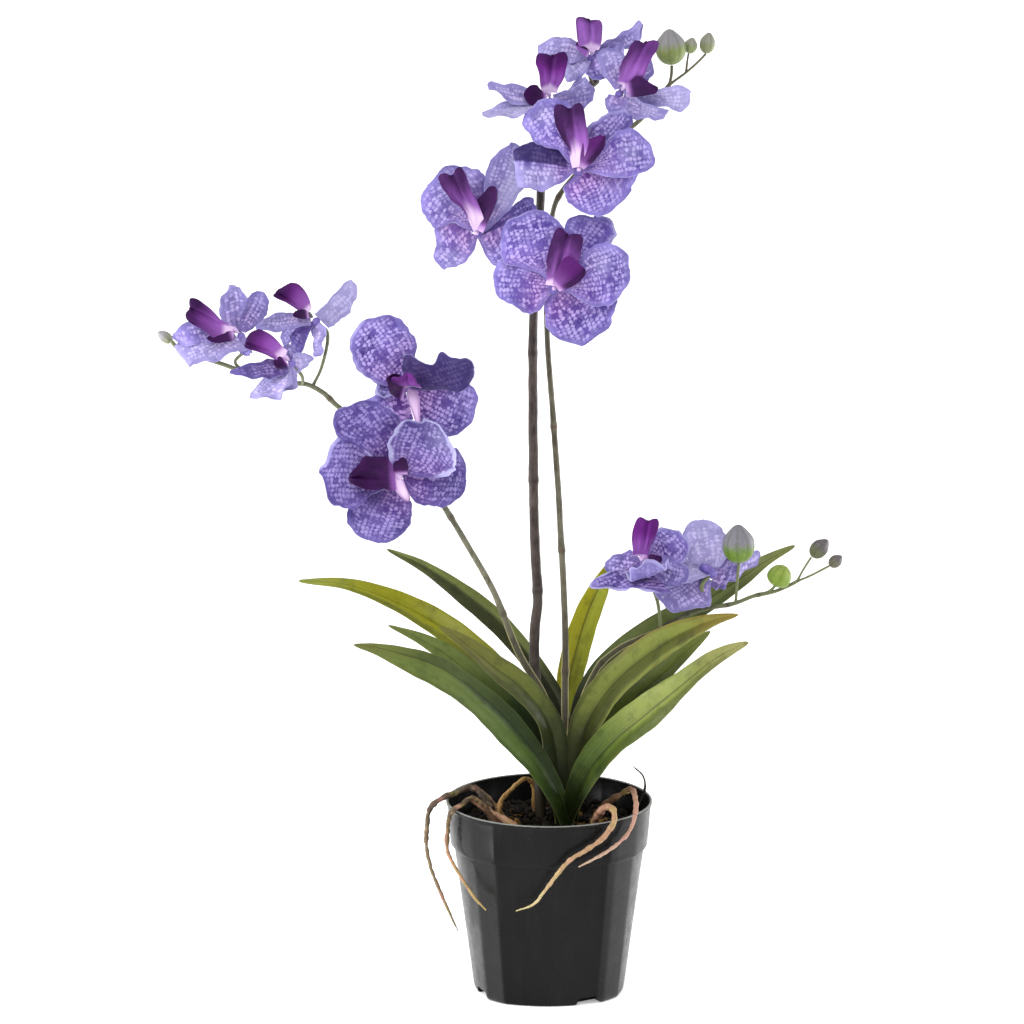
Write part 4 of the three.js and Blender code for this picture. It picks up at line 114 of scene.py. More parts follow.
  petals=[dict(base=[-192.6,-11.2,426.2], tip=[-196.3,-3.9,454.8], normal=[0.132,-0.955,0.264], bow=0.04, cup=0.03, curl=0.02, left=[5.1,10.0,11.3,11.3,10.7,9.7,5.7,3.7,3.4], right=[2.0,2.6,4.1,5.9,7.5,6.3,4.3,3.1,0.7]),
   dict(base=[-191.7,-11.7,426.5], tip=[-180.5,-5.9,451.1], normal=[0.304,-0.949,0.085], bow=0.04, cup=-0.04, curl=0.02, left=[2.1,3.0,4.2,4.6,4.9,4.2,3.4,1.9,0.7], right=[3.3,6.0,7.8,10.0,11.1,10.1,8.4,6.3,4.1]),
   dict(base=[-195.1,-12.7,424.9], tip=[-233.7,-16.1,425.6], normal=[0.086,-0.926,0.369], bow=0.06, cup=-0.08, curl=0.05, left=[2.0,3.5,5.8,7.3,8.1,8.2,6.9,5.1,3.2], right=[2.0,2.0,2.0,3.8,7.1,7.7,5.1,2.5,0.7]),
   dict(base=[-194.5,-13.0,423.4], tip=[-223.6,-26.2,407.6], normal=[0.021,-0.787,0.616], bow=0.06, cup=-0.06, curl=0.05, left=[12.1,9.5,8.2,8.7,7.8,3.4,2.2,0.8,0.8], right=[2.2,3.8,6.5,9.0,11.5,14.0,16.3,17.4,16.9]),
   dict(base=[-191.3,-13.2,422.6], tip=[-185.1,-19.4,413.7], normal=[-0.502,-0.831,0.24], bow=0.03, cup=-0.03, curl=0.02, left=[2.2,2.7,3.4,3.9,3.8,3.1,2.2,1.4,0.8], right=[2.7,4.2,5.5,6.2,6.0,5.3,4.3,3.1,1.8])],
  lip=dict(base=[-196.2,-15.3,428.2], tip=[-224.8,-26.7,444.9], normal=[0.37,-0.929,-0.002], bow=0.05, cup=0.1, curl=0, left=[7.0,8.6,10.1,9.2,8.4,8.4,7.5,4.9,1.4], right=[1.4,1.4,1.7,3.4,5.2,6.3,6.9,6.2,5.0]),
  lobes=[dict(base=[-196.3,-15.6,427.0], tip=[-211.7,-24.1,424.4], normal=[0.389,-0.826,0.409], bow=0, cup=0, curl=0, left=[1.0,5.3,5.3,5.1,4.9,4.4,3.3,2.2,1.2], right=[1.0,1.0,1.0,1.0,1.0,1.1,1.1,0.6,0.4])]),
 "flower_10": dict(centre=[-146.6,6.0,430.6], facing=[-0.619,-0.309,0.722],
  petals=[dict(base=[-145.2,6.3,432.5], tip=[-123.0,12.3,454.9], normal=[0.367,-0.923,-0.116], bow=0.03, cup=0.05, curl=0.03, left=[2.2,2.2,2.2,2.2,2.4,2.4,3.1,2.3,0.8], right=[10.7,12.7,13.2,12.8,12.0,10.9,9.0,6.9,4.7]),
   dict(base=[-149.0,5.8,430.8], tip=[-184.0,4.0,429.7], normal=[0.01,-0.65,0.76], bow=0.05, cup=-0.05, curl=0.04, left=[4.8,5.8,7.0,8.1,8.7,8.7,7.7,6.1,3.4], right=[2.6,3.3,5.0,5.5,4.6,3.5,3.2,2.0,0.9]),
   dict(base=[-148.0,5.3,429.1], tip=[-159.0,-0.0,408.8], normal=[-0.162,-0.93,0.33], bow=0.04, cup=-0.04, curl=0.03, left=[2.1,2.1,2.1,2.1,2.7,3.3,3.4,2.0,0.7], right=[2.1,4.4,6.8,7.9,7.3,5.7,6.0,5.9,4.5]),
   dict(base=[-146.3,5.6,428.4], tip=[-144.1,2.0,408.0], normal=[-0.674,-0.736,0.056], bow=0.03, cup=-0.03, curl=0.02, left=[3.5,8.8,9.7,6.4,4.8,4.6,3.7,1.8,1.0], right=[2.8,4.0,4.4,2.9,3.4,4.6,5.2,4.1,2.6]),
   dict(base=[-148.0,6.4,428.8], tip=[-167.5,8.1,415.2], normal=[-0.389,-0.801,0.454], bow=0.04, cup=-0.04, curl=0.03, left=[2.3,2.3,2.3,2.3,2.3,2.3,2.3,0.8,0.8], right=[2.3,3.6,5.2,6.8,8.4,9.0,8.0,6.4,4.7])],
  lip=dict(base=[-151.0,4.1,435.1], tip=[-172.2,-2.0,450.3], normal=[0.279,-0.96,0.003], bow=0.05, cup=0.1, curl=0, left=[1.9,1.5,1.4,1.4,1.4,2.0,2.5,2.6,2.0], right=[4.5,7.5,10.0,11.5,12.1,10.8,5.0,2.5,1.2]),
  lobes=[dict(base=[-150.9,3.3,434.2], tip=[-159.3,-4.2,435.5], normal=[0.659,-0.695,0.287], bow=0, cup=0, curl=0, left=[2.0,2.3,2.5,2.5,2.2,1.9,1.4,1.0,0.5], right=[2.4,2.9,3.3,3.4,3.2,2.9,2.4,1.6,0.8])]),
 "flower_11": dict(centre=[-160.0,-32.0,410.1], facing=[-0.503,-0.503,0.704],
  petals=[dict(base=[-162.4,-32.4,410.1], tip=[-197.5,-36.1,405.7], normal=[-0.053,-0.503,0.862], bow=0.04, cup=-0.04, curl=0.03, left=[7.9,11.7,13.2,13.0,11.5,8.5,5.7,3.7,1.2], right=[3.1,3.1,5.7,3.1,3.1,3.1,3.1,2.3,2.3]),
   dict(base=[-158.3,-31.2,410.7], tip=[-145.5,-24.0,411.2], normal=[0.49,-0.861,-0.137], bow=0.04, cup=-0.03, curl=0.03, left=[4.7,4.9,4.9,4.6,3.9,3.0,2.1,1.2,0.7], right=[9.8,8.9,7.7,6.5,4.9,3.2,2.1,1.2,0.7]),
   dict(base=[-161.0,-33.0,408.4], tip=[-169.0,-41.4,389.5], normal=[-0.121,-0.889,0.442], bow=0.05, cup=-0.04, curl=0.03, left=[3.5,6.6,8.6,9.8,8.6,3.4,2.0,0.7,0.7], right=[2.0,2.1,3.9,7.2,9.7,9.8,9.4,8.9,8.2]),
   dict(base=[-161.7,-32.0,408.5], tip=[-186.8,-34.1,389.8], normal=[-0.526,-0.399,0.751], bow=0.04, cup=-0.04, curl=0.03, left=[7.0,18.8,21.6,22.3,20.2,15.3,9.9,5.7,2.6], right=[4.0,4.0,4.0,4.0,4.0,4.0,4.0,3.6,2.3]),
   dict(base=[-160.0,-29.7,410.8], tip=[-163.6,-18.0,420.2], normal=[0.198,-0.576,0.793], bow=0.04, cup=-0.03, curl=0.02, left=[2.1,3.6,4.6,4.9,4.7,4.2,3.3,2.0,0.7], right=[3.7,4.1,4.3,4.4,4.3,4.1,3.6,2.7,1.6])],
  lip=dict(base=[-164.0,-34.9,414.1], tip=[-189.3,-44.3,425.6], normal=[0.362,-0.931,0.042], bow=0.05, cup=0.1, curl=0, left=[2.7,3.1,2.8,2.3,2.3,2.5,2.8,2.4,1.4], right=[4.6,5.9,8.3,9.9,10.8,11.0,8.0,3.4,1.2]),
  lobes=[dict(base=[-163.8,-35.5,412.8], tip=[-169.7,-40.4,410.6], normal=[0.42,-0.743,0.521], bow=0, cup=0, curl=0, left=[4.5,4.3,4.1,3.9,3.7,3.3,2.8,1.9,0.9], right=[2.9,3.5,3.8,4.0,3.8,3.3,2.5,1.8,1.0])]),
 "flower_12": dict(centre=[59.8,-8.0,277.8], facing=[-0.199,-0.497,0.845],
  petals=[dict(base=[61.5,-7.1,279.0], tip=[82.0,2.0,297.5], normal=[0.168,-0.945,0.28], bow=0.05, cup=-0.05, curl=0.03, left=[2.0,4.1,7.3,9.6,11.0,9.7,5.5,2.0,0.7], right=[2.5,9.2,12.9,14.9,15.7,15.1,12.5,9.4,6.3]),
   dict(base=[57.8,-6.8,277.6], tip=[35.4,4.1,277.8], normal=[-0.283,-0.595,0.752], bow=0.04, cup=-0.04, curl=0.03, left=[5.2,8.8,11.1,12.4,12.3,10.9,8.8,6.6,4.3], right=[2.5,4.6,7.4,9.3,7.0,5.8,5.3,3.9,1.6]),
   dict(base=[57.9,-9.1,277.3], tip=[24.2,-28.1,268.8], normal=[-0.017,-0.386,0.922], bow=0.04, cup=-0.04, curl=0.03, left=[33.2,31.2,26.3,21.3,16.0,11.2,7.7,4.9,2.6], right=[3.1,3.1,3.1,3.1,3.1,3.1,3.2,2.9,1.2]),
   dict(base=[59.7,-10.7,279.0], tip=[60.8,-42.0,283.4], normal=[-0.623,0.09,0.777], bow=-0.22, cup=0.05, curl=-0.02, left=[5.0,6.1,9.3,11.9,12.4,11.7,9.6,6.7,3.5], right=[5.0,6.1,9.3,11.9,12.4,11.7,9.6,6.7,3.5]),
   dict(base=[61.7,-9.3,277.4], tip=[85.2,-23.8,269.2], normal=[-0.564,-0.798,-0.213], bow=0.04, cup=-0.04, curl=0.03, left=[2.4,6.8,9.5,11.2,12.3,12.5,11.4,9.8,7.9], right=[2.4,3.4,5.3,7.2,7.3,6.3,4.1,1.1,0.9])],
  lip=dict(base=[59.1,-10.8,283.6], tip=[61.3,-18.4,309.7], normal=[-0.075,-0.96,-0.27], bow=0.05, cup=0.1, curl=0, left=[6.9,7.3,8.1,8.7,8.8,8.4,7.5,6.3,5.0], right=[2.5,2.8,3.4,4.4,5.7,6.9,7.2,6.5,5.7]),
  lobes=[dict(base=[60.5,-11.5,282.1], tip=[69.5,-18.8,284.1], normal=[-0.62,-0.784,-0.034], bow=0, cup=0, curl=0, left=[1.0,1.8,2.5,2.7,2.5,2.0,1.4,0.8,0.4], right=[5.3,5.4,5.2,4.8,4.2,3.4,2.5,1.6,0.9])]),
 "flower_13": dict(centre=[101.8,4.0,270.0], facing=[0.508,0.609,0.609],
  petals=[dict(base=[101.5,4.4,272.3], tip=[96.6,10.2,303.2], normal=[-0.036,-0.983,0.178], bow=0.05, cup=0.06, curl=0.04, left=[2.0,8.0,11.8,13.4,14.5,14.4,11.9,9.2,5.8], right=[6.1,9.7,11.8,12.7,12.5,10.9,7.7,3.7,0.7]),
   dict(base=[99.7,2.7,269.5], tip=[67.9,-16.0,263.6], normal=[0.045,-0.371,0.927], bow=0.05, cup=0.04, curl=0.03, left=[3.1,3.1,3.1,3.1,3.3,3.5,3.1,1.4,1.1], right=[17.6,17.2,14.3,10.5,6.7,3.6,3.1,1.2,1.1]),
   dict(base=[99.7,2.9,268.4], tip=[72.7,-7.7,250.6], normal=[0.034,-0.881,0.472], bow=0.05, cup=-0.04, curl=0.03, left=[4.2,9.2,13.7,14.1,11.0,9.4,8.0,5.9,0.7], right=[2.0,4.4,6.3,7.9,9.7,12.9,14.2,13.7,11.2]),
   dict(base=[104.1,5.1,270.0], tip=[119.9,12.4,268.2], normal=[0.361,-0.875,-0.324], bow=0.04, cup=-0.04, curl=0.03, left=[2.3,2.3,3.2,4.8,5.3,5.2,4.5,3.2,1.6], right=[10.8,11.5,11.4,10.8,9.7,8.1,5.9,3.6,1.7]),
   dict(base=[103.8,5.1,270.4], tip=[134.9,22.0,276.4], normal=[0.496,-0.759,-0.423], bow=0.04, cup=-0.04, curl=0.03, left=[2.9,2.9,2.9,2.9,2.9,2.9,4.7,4.4,2.4], right=[2.9,9.3,10.9,10.5,9.2,7.7,6.1,3.6,1.3])],
  lip=dict(base=[105.0,8.0,274.2], tip=[114.4,22.0,290.0], normal=[-0.163,0.786,-0.597], bow=0.05, cup=0.1, curl=0, left=[3.3,4.0,6.1,7.8,8.2,7.7,6.3,4.4,2.3], right=[3.3,4.0,6.1,7.8,8.2,7.7,6.3,4.4,2.3]),
  lobes=[dict(base=[105.6,8.2,273.0], tip=[118.3,20.0,274.3], normal=[-0.617,0.699,-0.362], bow=0, cup=0, curl=0, left=[1.9,2.7,3.4,3.8,3.7,3.3,2.7,1.5,1.5], right=[1.9,2.7,3.4,3.8,3.7,3.3,2.7,1.5,1.5])]),
}
SPIKES = {
 "main_spike": dict(r=[3.47,2.46], path=[[-5.2,2.0,92.0],[-5.2,2.0,108.0],[-6.5,3.0,147.9],[-7.8,4.0,193.4],[-9.4,4.0,213.0],[-9.1,3.0,235.3],[-7.4,3.0,250.9],[-9.1,4.0,285.5],[-9.9,5.0,316.2],[-10.5,7.0,379.7],[-10.2,8.0,433.5],[-7.4,9.0,474.3],[-5.9,10.0,505.5],[-4.4,12.0,536.5],[3.7,16.0,556.0],[17.4,24.0,568.7],[29.3,32.0,577.8]], stalks=[
   ([[-8.7,8.0,448.0],[0.4,-18.1,455.2],[1.2,-26.1,456.1]], [1.2,1.5]),
   ([[-5.6,10.0,481.7],[-18.6,14.0,486.8],[-42.9,3.7,485.8],[-44.1,-4.1,486.9]], [1.2,1.5]),
   ([[-4.7,11.0,525.4],[15.6,-16.3,527.0],[16.4,-24.2,528.6]], [1.2,1.5]),
   ([[3.7,16.0,556.0],[1.0,1.2,560.3],[0.2,-3.6,566.7]], [1.2,1.5]),
   ([[26.2,29.0,575.6],[23.9,19.1,586.8],[24.8,13.0,592.0]], [1.1,1.4]),
  ]),
 "second_spike": dict(r=[2.27,1.4], path=[[10.7,-2.0,92.0],[10.7,-2.0,108.0],[10.0,-3.0,161.2],[9.9,0.0,194.4],[10.1,2.0,223.2],[8.9,3.0,261.8],[6.6,5.0,302.0],[5.9,6.0,316.0],[2.1,12.0,369.2],[-1.7,20.0,421.9],[-0.8,24.0,462.5],[2.6,24.0,498.5],[8.2,24.0,509.8],[26.2,24.0,529.9],[44.7,18.0,545.7],[55.7,10.0,555.5],[64.1,5.0,566.0],[73.5,2.0,578.4]], stalks=[
   ([[48.4,15.0,549.2],[45.6,6.0,559.7],[37.6,-5.7,566.0],[41.0,-9.9,572.0]], [1.1,1.4]),
   ([[73.5,2.0,578.4],[74.7,1.0,585.1],[74.8,0.0,590.1]], [0.9,1.0]),
   ([[73.5,2.0,578.4],[80.0,4.0,582.9],[84.4,6.0,585.9],[91.2,8.0,591.7],[95.9,9.0,596.5]], [0.8,0.7]),
   ([[83.8,6.0,585.6],[84.5,7.0,591.8],[85.3,8.0,596.7]], [0.7,0.6]),
  ]),
 "left_spike": dict(r=[2.38,1.3], path=[[5.7,4.0,92.0],[5.7,4.0,108.0],[4.3,2.0,148.1],[-0.2,0.0,184.0],[-18.6,-5.0,218.4],[-35.6,-11.0,261.8],[-51.2,-15.0,290.9],[-65.4,-18.0,315.8],[-80.9,-19.0,340.2],[-103.2,-18.0,362.8],[-130.6,-15.0,378.7],[-141.8,-13.0,388.5],[-151.8,-11.0,393.1],[-161.2,-9.0,393.4],[-175.6,-6.0,397.3],[-190.8,-4.0,399.8],[-204.4,-3.0,404.4],[-217.9,-5.0,409.1],[-230.2,-6.0,413.7],[-235.7,-6.0,419.4]], stalks=[
   ([[-78.4,-19.0,336.4],[-85.8,-26.0,337.2],[-91.6,-34.1,342.4],[-92.4,-42.1,342.4]], [1.1,1.4]),
   ([[-93.3,-19.0,352.9],[-89.8,-5.0,369.2],[-86.8,-15.1,388.5],[-87.6,-22.4,391.8]], [1.1,1.4]),
   ([[-190.8,-4.0,399.8],[-196.3,-2.0,405.5],[-186.7,-5.1,416.2],[-190.5,-9.7,421.6]], [0.9,1.2]),
   ([[-147.8,-11.0,391.3],[-142.2,0.0,402.6],[-139.1,9.7,422.0],[-144.1,7.2,427.8]], [0.9,1.2]),
   ([[-153.6,-11.0,393.1],[-154.0,-26.0,401.7],[-158.0,-30.0,407.3]], [0.9,1.2]),
  ]),
 "right_spike": dict(r=[2.27,1.08], path=[[13.9,0.0,92.0],[13.9,0.0,108.0],[14.5,-1.0,142.4],[16.2,-2.0,168.2],[19.4,-3.0,184.7],[27.5,-3.0,204.3],[32.6,-3.0,212.7],[46.4,-2.0,223.5],[60.9,-1.0,229.8],[74.8,0.0,237.3],[88.6,0.0,244.4],[100.6,0.0,247.7],[108.8,0.0,249.0],[117.4,0.0,250.9],[128.9,1.0,255.2],[142.0,2.0,257.9],[150.4,3.0,261.2],[156.1,3.0,264.2]], stalks=[
   ([[70.4,-1.0,234.9],[67.7,-3.0,253.5],[62.2,-2.0,267.7],[60.6,-6.0,274.5]], [1.0,1.3]),
   ([[100.6,0.0,247.7],[95.7,-3.3,262.7],[99.8,1.6,267.6]], [1.0,1.3]),
   ([[117.4,0.0,250.9],[117.9,-4.0,262.8],[118.7,-6.0,277.4]], [0.9,0.9]),
   ([[136.5,1.6,257.0],[139.7,1.6,258.9],[142.1,1.0,261.7]], [0.9,0.9]),
   ([[156.1,3.0,264.2],[159.8,3.0,271.5],[164.7,3.0,279.6]], [0.7,0.7]),
   ([[156.1,3.0,264.2],[165.5,4.0,268.1],[176.2,4.0,273.9]], [0.7,0.7]),
  ]),
}
BUDS = {
 "bud_top_large": ([74.8,0.0,590.8], [72.9,0.0,612.9], 18.5),
 "bud_top_small": ([85.3,8.0,597.0], [88.0,8.0,606.8], 8.0),
 "bud_top_end": ([95.9,9.0,596.8], [98.2,9.0,609.8], 9.3),
 "bud_right_large": ([118.8,-6.0,278.0], [118.1,-6.0,302.7], 19.8),
 "bud_right_green": ([141.8,1.0,261.7], [148.3,1.0,274.6], 15.1),
 "bud_right_grey": ([165.0,3.0,280.2], [175.2,3.0,290.9], 10.7),
 "bud_right_end": ([176.5,4.0,273.9], [184.3,4.0,280.3], 7.6),
 "bud_left_end": ([-235.3,-3.0,418.3], [-244.0,-3.0,424.6], 6.8),
}
LEAVES = {
 "leaf_01": [
   [11.5,11.7,112.2,5.4,-0.351,-0.92,0.175],
   [10.9,15.6,131.4,6.8,-0.346,-0.929,0.131],
   [7.6,22.1,175.8,10.2,-0.317,-0.946,0.07],
   [-8.3,27.3,202.8,13.6,-0.259,-0.966,-0.003],
   [-31.9,32.5,230.4,14.9,-0.225,-0.974,-0.035],
   [-54.9,36.4,249.1,12.9,-0.198,-0.979,-0.056],
   [-80.4,40.3,265.9,8.1,-0.173,-0.982,-0.074],
   [-103.4,42.9,276.4,2.0,-0.152,-0.984,-0.088],
  ],
 "leaf_02": [
   [8.2,3.9,112.2,7.0,0.577,-0.797,0.182],
   [5.0,6.5,133.8,10.9,0.582,-0.782,0.222],
   [-5.8,9.1,167.3,15.5,0.563,-0.747,0.353],
   [-30.0,11.7,200.7,18.6,0.496,-0.714,0.495],
   [-56.6,13.0,223.8,20.1,0.419,-0.695,0.585],
   [-79.4,14.3,239.2,18.6,0.336,-0.683,0.648],
   [-104.1,15.6,251.2,15.5,0.265,-0.676,0.688],
   [-129.4,15.6,259.7,8.5,0.12,-0.67,0.732],
   [-158.6,16.9,261.3,2.3,0.012,-0.671,0.741],
  ],
 "leaf_03": [
   [7.4,-10.4,112.2,7.5,0.529,-0.846,-0.068],
   [6.7,-13.0,139.0,12.7,0.552,-0.833,-0.03],
   [1.0,-16.9,174.0,17.8,0.603,-0.791,0.103],
   [-15.5,-22.1,199.3,18.5,0.601,-0.733,0.319],
   [-36.8,-28.6,218.3,16.2,0.586,-0.709,0.392],
   [-54.8,-35.1,234.6,9.6,0.609,-0.692,0.388],
   [-69.0,-41.6,245.7,2.2,0.621,-0.674,0.399],
  ],
 "leaf_04": [
   [6.2,-3.9,112.2,7.8,0.604,-0.794,0.068],
   [1.7,-5.2,136.9,12.4,0.615,-0.77,0.172],
   [-12.2,-6.5,166.7,17.0,0.578,-0.731,0.363],
   [-36.3,-6.5,194.7,17.0,0.516,-0.706,0.485],
   [-58.9,-7.8,214.5,15.4,0.458,-0.691,0.56],
   [-79.1,-7.8,228.1,10.0,0.359,-0.679,0.641],
   [-101.7,-7.8,238.5,2.3,0.307,-0.674,0.672],
  ],
 "leaf_05": [
   [9.3,-18.2,112.2,9.2,0.655,-0.754,-0.058],
   [4.8,-23.4,128.8,15.2,0.677,-0.734,0.051],
   [-7.9,-31.2,153.6,22.7,0.692,-0.701,0.173],
   [-26.1,-41.6,178.4,26.4,0.686,-0.678,0.265],
   [-47.3,-52.0,202.2,26.3,0.66,-0.66,0.36],
   [-70.1,-62.4,220.7,23.1,0.589,-0.642,0.49],
   [-91.5,-70.2,231.5,17.9,0.495,-0.641,0.587],
   [-108.0,-75.4,238.5,9.7,0.458,-0.635,0.622],
   [-121.3,-80.6,242.9,2.2,0.453,-0.623,0.638],
  ],
 "leaf_06": [
   [11.6,16.9,112.2,5.8,0.128,-0.952,0.279],
   [12.2,22.1,129.6,9.1,0.128,-0.961,0.247],
   [11.6,28.6,157.7,12.3,0.127,-0.975,0.182],
   [12.8,33.8,192.0,16.2,0.117,-0.982,0.147],
   [18.0,37.7,213.4,18.1,0.109,-0.982,0.154],
   [24.3,41.6,233.5,17.4,0.11,-0.98,0.165],
   [32.0,45.5,250.3,12.9,0.102,-0.984,0.147],
   [39.1,48.1,266.8,2.6,0.09,-0.989,0.118],
  ],
 "leaf_07": [
   [14.0,6.5,112.2,7.3,-0.634,-0.769,0.084],
   [15.2,7.8,133.5,11.3,-0.635,-0.761,0.134],
   [19.0,11.7,165.3,15.3,-0.635,-0.746,0.201],
   [24.7,14.3,187.6,17.0,-0.598,-0.705,0.381],
   [36.2,18.2,204.3,18.6,-0.461,-0.656,0.598],
   [57.8,22.1,221.7,20.2,-0.353,-0.637,0.685],
   [80.8,26.0,234.5,21.0,-0.326,-0.635,0.7],
   [103.6,28.6,248.9,21.0,-0.332,-0.635,0.697],
   [122.8,32.5,260.4,17.8,-0.299,-0.629,0.718],
   [139.5,36.4,270.7,8.9,-0.281,-0.629,0.725],
   [156.7,39.0,279.2,2.4,-0.267,-0.631,0.729],
  ],
 "leaf_08": [
   [11.9,-7.8,112.2,7.2,-0.513,-0.855,-0.079],
   [14.3,-11.7,138.7,12.9,-0.539,-0.841,-0.05],
   [22.4,-18.2,174.3,20.7,-0.589,-0.808,0.001],
   [34.1,-26.0,198.3,23.4,-0.639,-0.757,0.139],
   [50.1,-33.8,217.0,23.4,-0.61,-0.734,0.298],
   [70.4,-41.6,234.2,20.5,-0.558,-0.728,0.399],
   [90.0,-48.1,246.6,14.1,-0.489,-0.724,0.486],
   [104.0,-52.0,252.6,7.7,-0.407,-0.719,0.563],
   [116.8,-55.9,256.1,2.1,-0.377,-0.714,0.59],
  ],
 "leaf_09": [
   [15.8,-1.3,112.2,6.6,-0.548,-0.835,0.04],
   [19.5,-2.6,136.2,11.0,-0.57,-0.815,0.103],
   [30.8,-5.2,164.4,14.6,-0.582,-0.774,0.249],
   [49.6,-9.1,186.3,16.8,-0.553,-0.747,0.368],
   [69.6,-13.0,206.7,16.0,-0.536,-0.745,0.397],
   [85.7,-15.6,222.9,10.2,-0.527,-0.744,0.411],
   [100.6,-18.2,237.0,2.2,-0.526,-0.742,0.415],
  ],
 "leaf_10": [
   [11.8,-15.6,112.2,8.6,-0.599,-0.781,-0.178],
   [15.5,-22.1,128.4,14.3,-0.631,-0.771,-0.087],
   [25.4,-31.2,152.4,20.6,-0.672,-0.739,0.049],
   [40.1,-41.6,172.6,23.4,-0.677,-0.707,0.205],
   [61.0,-53.3,193.6,23.2,-0.656,-0.705,0.269],
   [80.4,-63.7,212.8,17.5,-0.646,-0.709,0.283],
   [98.4,-72.8,230.3,11.9,-0.625,-0.709,0.328],
   [110.4,-78.0,239.1,7.0,-0.591,-0.694,0.412],
   [121.2,-83.2,245.4,2.1,-0.586,-0.681,0.439],
  ],
}
ROOTS = {
 "root_01": ([[-33.2,-6.0,109.6],[-40.1,-4.0,123.5],[-49.2,-1.0,130.6],[-59.2,-2.0,127.5],[-67.8,-4.0,124.8],[-75.4,-6.0,118.8],[-77.6,-7.0,107.2],[-78.0,-7.0,94.7],[-75.2,-8.0,79.8],[-69.0,-9.0,63.8],[-63.1,-10.0,50.0],[-58.0,-11.0,39.0]], [2.2,0.7]),
 "root_02": ([[-33.7,-24.0,112.0],[-41.3,-22.0,124.5],[-48.9,-24.0,130.2],[-54.5,-30.6,128.1],[-58.9,-32.0,125.9],[-62.7,-28.3,120.3],[-64.2,-25.2,110.3],[-64.3,-22.1,95.0],[-57.7,-34.1,84.7],[-46.9,-45.0,70.9],[-40.0,-50.0,64.5]], [1.9,0.8]),
 "root_03": ([[-47.5,0.0,122.4],[-37.6,-12.0,117.8],[-26.2,-24.0,114.6],[-18.0,-28.0,109.8]], [2.3,2.9]),
 "root_04": ([[-48.2,14.0,127.8],[-41.5,9.0,123.9],[-33.8,-2.0,117.7],[-26.8,-8.0,110.1],[-23.6,-8.0,105.5]], [1.8,2.4]),
 "root_05": ([[-32.5,-12.0,108.0],[-31.9,-10.0,117.2],[-30.6,-6.0,123.0],[-24.0,0.0,129.4],[-15.4,5.0,134.9],[-10.2,9.0,130.5],[-9.6,10.0,111.7]], [1.7,1.7]),
 "root_06": ([[26.8,-28.0,107.8],[29.8,-36.0,121.2],[35.3,-44.8,130.1],[39.5,-51.6,130.0],[40.0,-56.9,123.7],[32.5,-61.8,114.4],[23.7,-65.9,108.8],[12.5,-68.9,102.5],[3.8,-68.9,92.2],[-2.4,-68.0,83.5],[-9.9,-66.3,73.3],[-21.1,-62.5,67.6]], [3.1,0.9]),
 "root_07": ([[26.6,-4.0,109.0],[34.1,-6.0,120.1],[43.5,-12.0,128.3],[50.9,-18.0,134.2],[53.9,-38.1,132.8],[53.7,-44.6,126.1],[49.3,-49.7,114.9],[37.6,-59.1,106.5],[27.5,-64.4,101.9],[17.9,-66.6,97.4]], [2.5,0.8]),
 "root_08": ([[51.8,14.0,106.7],[58.2,14.0,116.6],[61.3,13.0,126.8],[60.0,13.0,134.7],[53.4,14.0,141.0]], [1.1,0.6]),
}

POT_HEIGHT = 123.0
RIM_RADIUS = 65.5
BAND_HEIGHT = 27.5
BAND_FOOT_RADIUS = 62.8
BODY_TOP_RADIUS = 60.6
BODY_FOOT_RADIUS = 47.9
WALL = 1.6
SOIL_EDGE = 108.0
SOIL_CROWN = 111.5


# ---- vectors and paths ----
def unit(a):
    a = np.asarray(a, float)
    return a / max(np.linalg.norm(a), 1e-12)


def lerp(a, b, t):
    return a + (b - a) * t


def smooth(x, a, b):
    t = np.clip((np.asarray(x, float) - a) / (b - a), 0, 1)
    return t * t * (3 - 2 * t)


def wobble(x, y, z, size):
    return noise.noise(Vector((x / size, y / size, z / size)))


def spline(points, step):
    """A smooth line through the points, resampled about every step."""
    p = np.asarray(points, float)
    p = np.vstack([2 * p[0] - p[1], p, 2 * p[-1] - p[-2]])
    out = []
    for i in range(1, len(p) - 2):
        t = np.linspace(0, 1, 24, endpoint=False)[:, None]
        a, b, c, d = p[i - 1], p[i], p[i + 1], p[i + 2]
        la, lb, lc = (max(np.linalg.norm(q), 1e-6) ** 0.5 for q in (b - a, c - b, d - c))
        m1 = lb * ((b - a) / la - (c - a) / (la + lb) + (c - b) / lb)
        m2 = lb * ((c - b) / lb - (d - b) / (lb + lc) + (d - c) / lc)
        out.append((2 * t**3 - 3 * t**2 + 1) * b + (t**3 - 2 * t**2 + t) * m1 + (3 * t**2 - 2 * t**3) * c + (t**3 - t**2) * m2)
    line = np.vstack(out + [p[-2]])
    d = np.concatenate([[0], np.cumsum(np.linalg.norm(np.diff(line, axis=0), axis=1))])
    n = max(int(round(d[-1] / step)), 3)
    at = np.linspace(0, d[-1], n + 1)
    return np.stack([np.interp(at, d, line[:, k]) for k in range(3)], 1)


def frames(path, first=(0.0, -1.0, 0.3)):
    """Tangents and two sideways directions that don't twist along the path."""
    t = np.gradient(path, axis=0)
    t /= np.linalg.norm(t, axis=1)[:, None]
    u = np.asarray(first, float)
    us, vs = [], []
    for k in range(len(path)):
        u = u - t[k] * np.dot(u, t[k])
        u = unit(u)
        us.append(u)
        vs.append(np.cross(t[k], u))
    return t, np.array(us), np.array(vs)


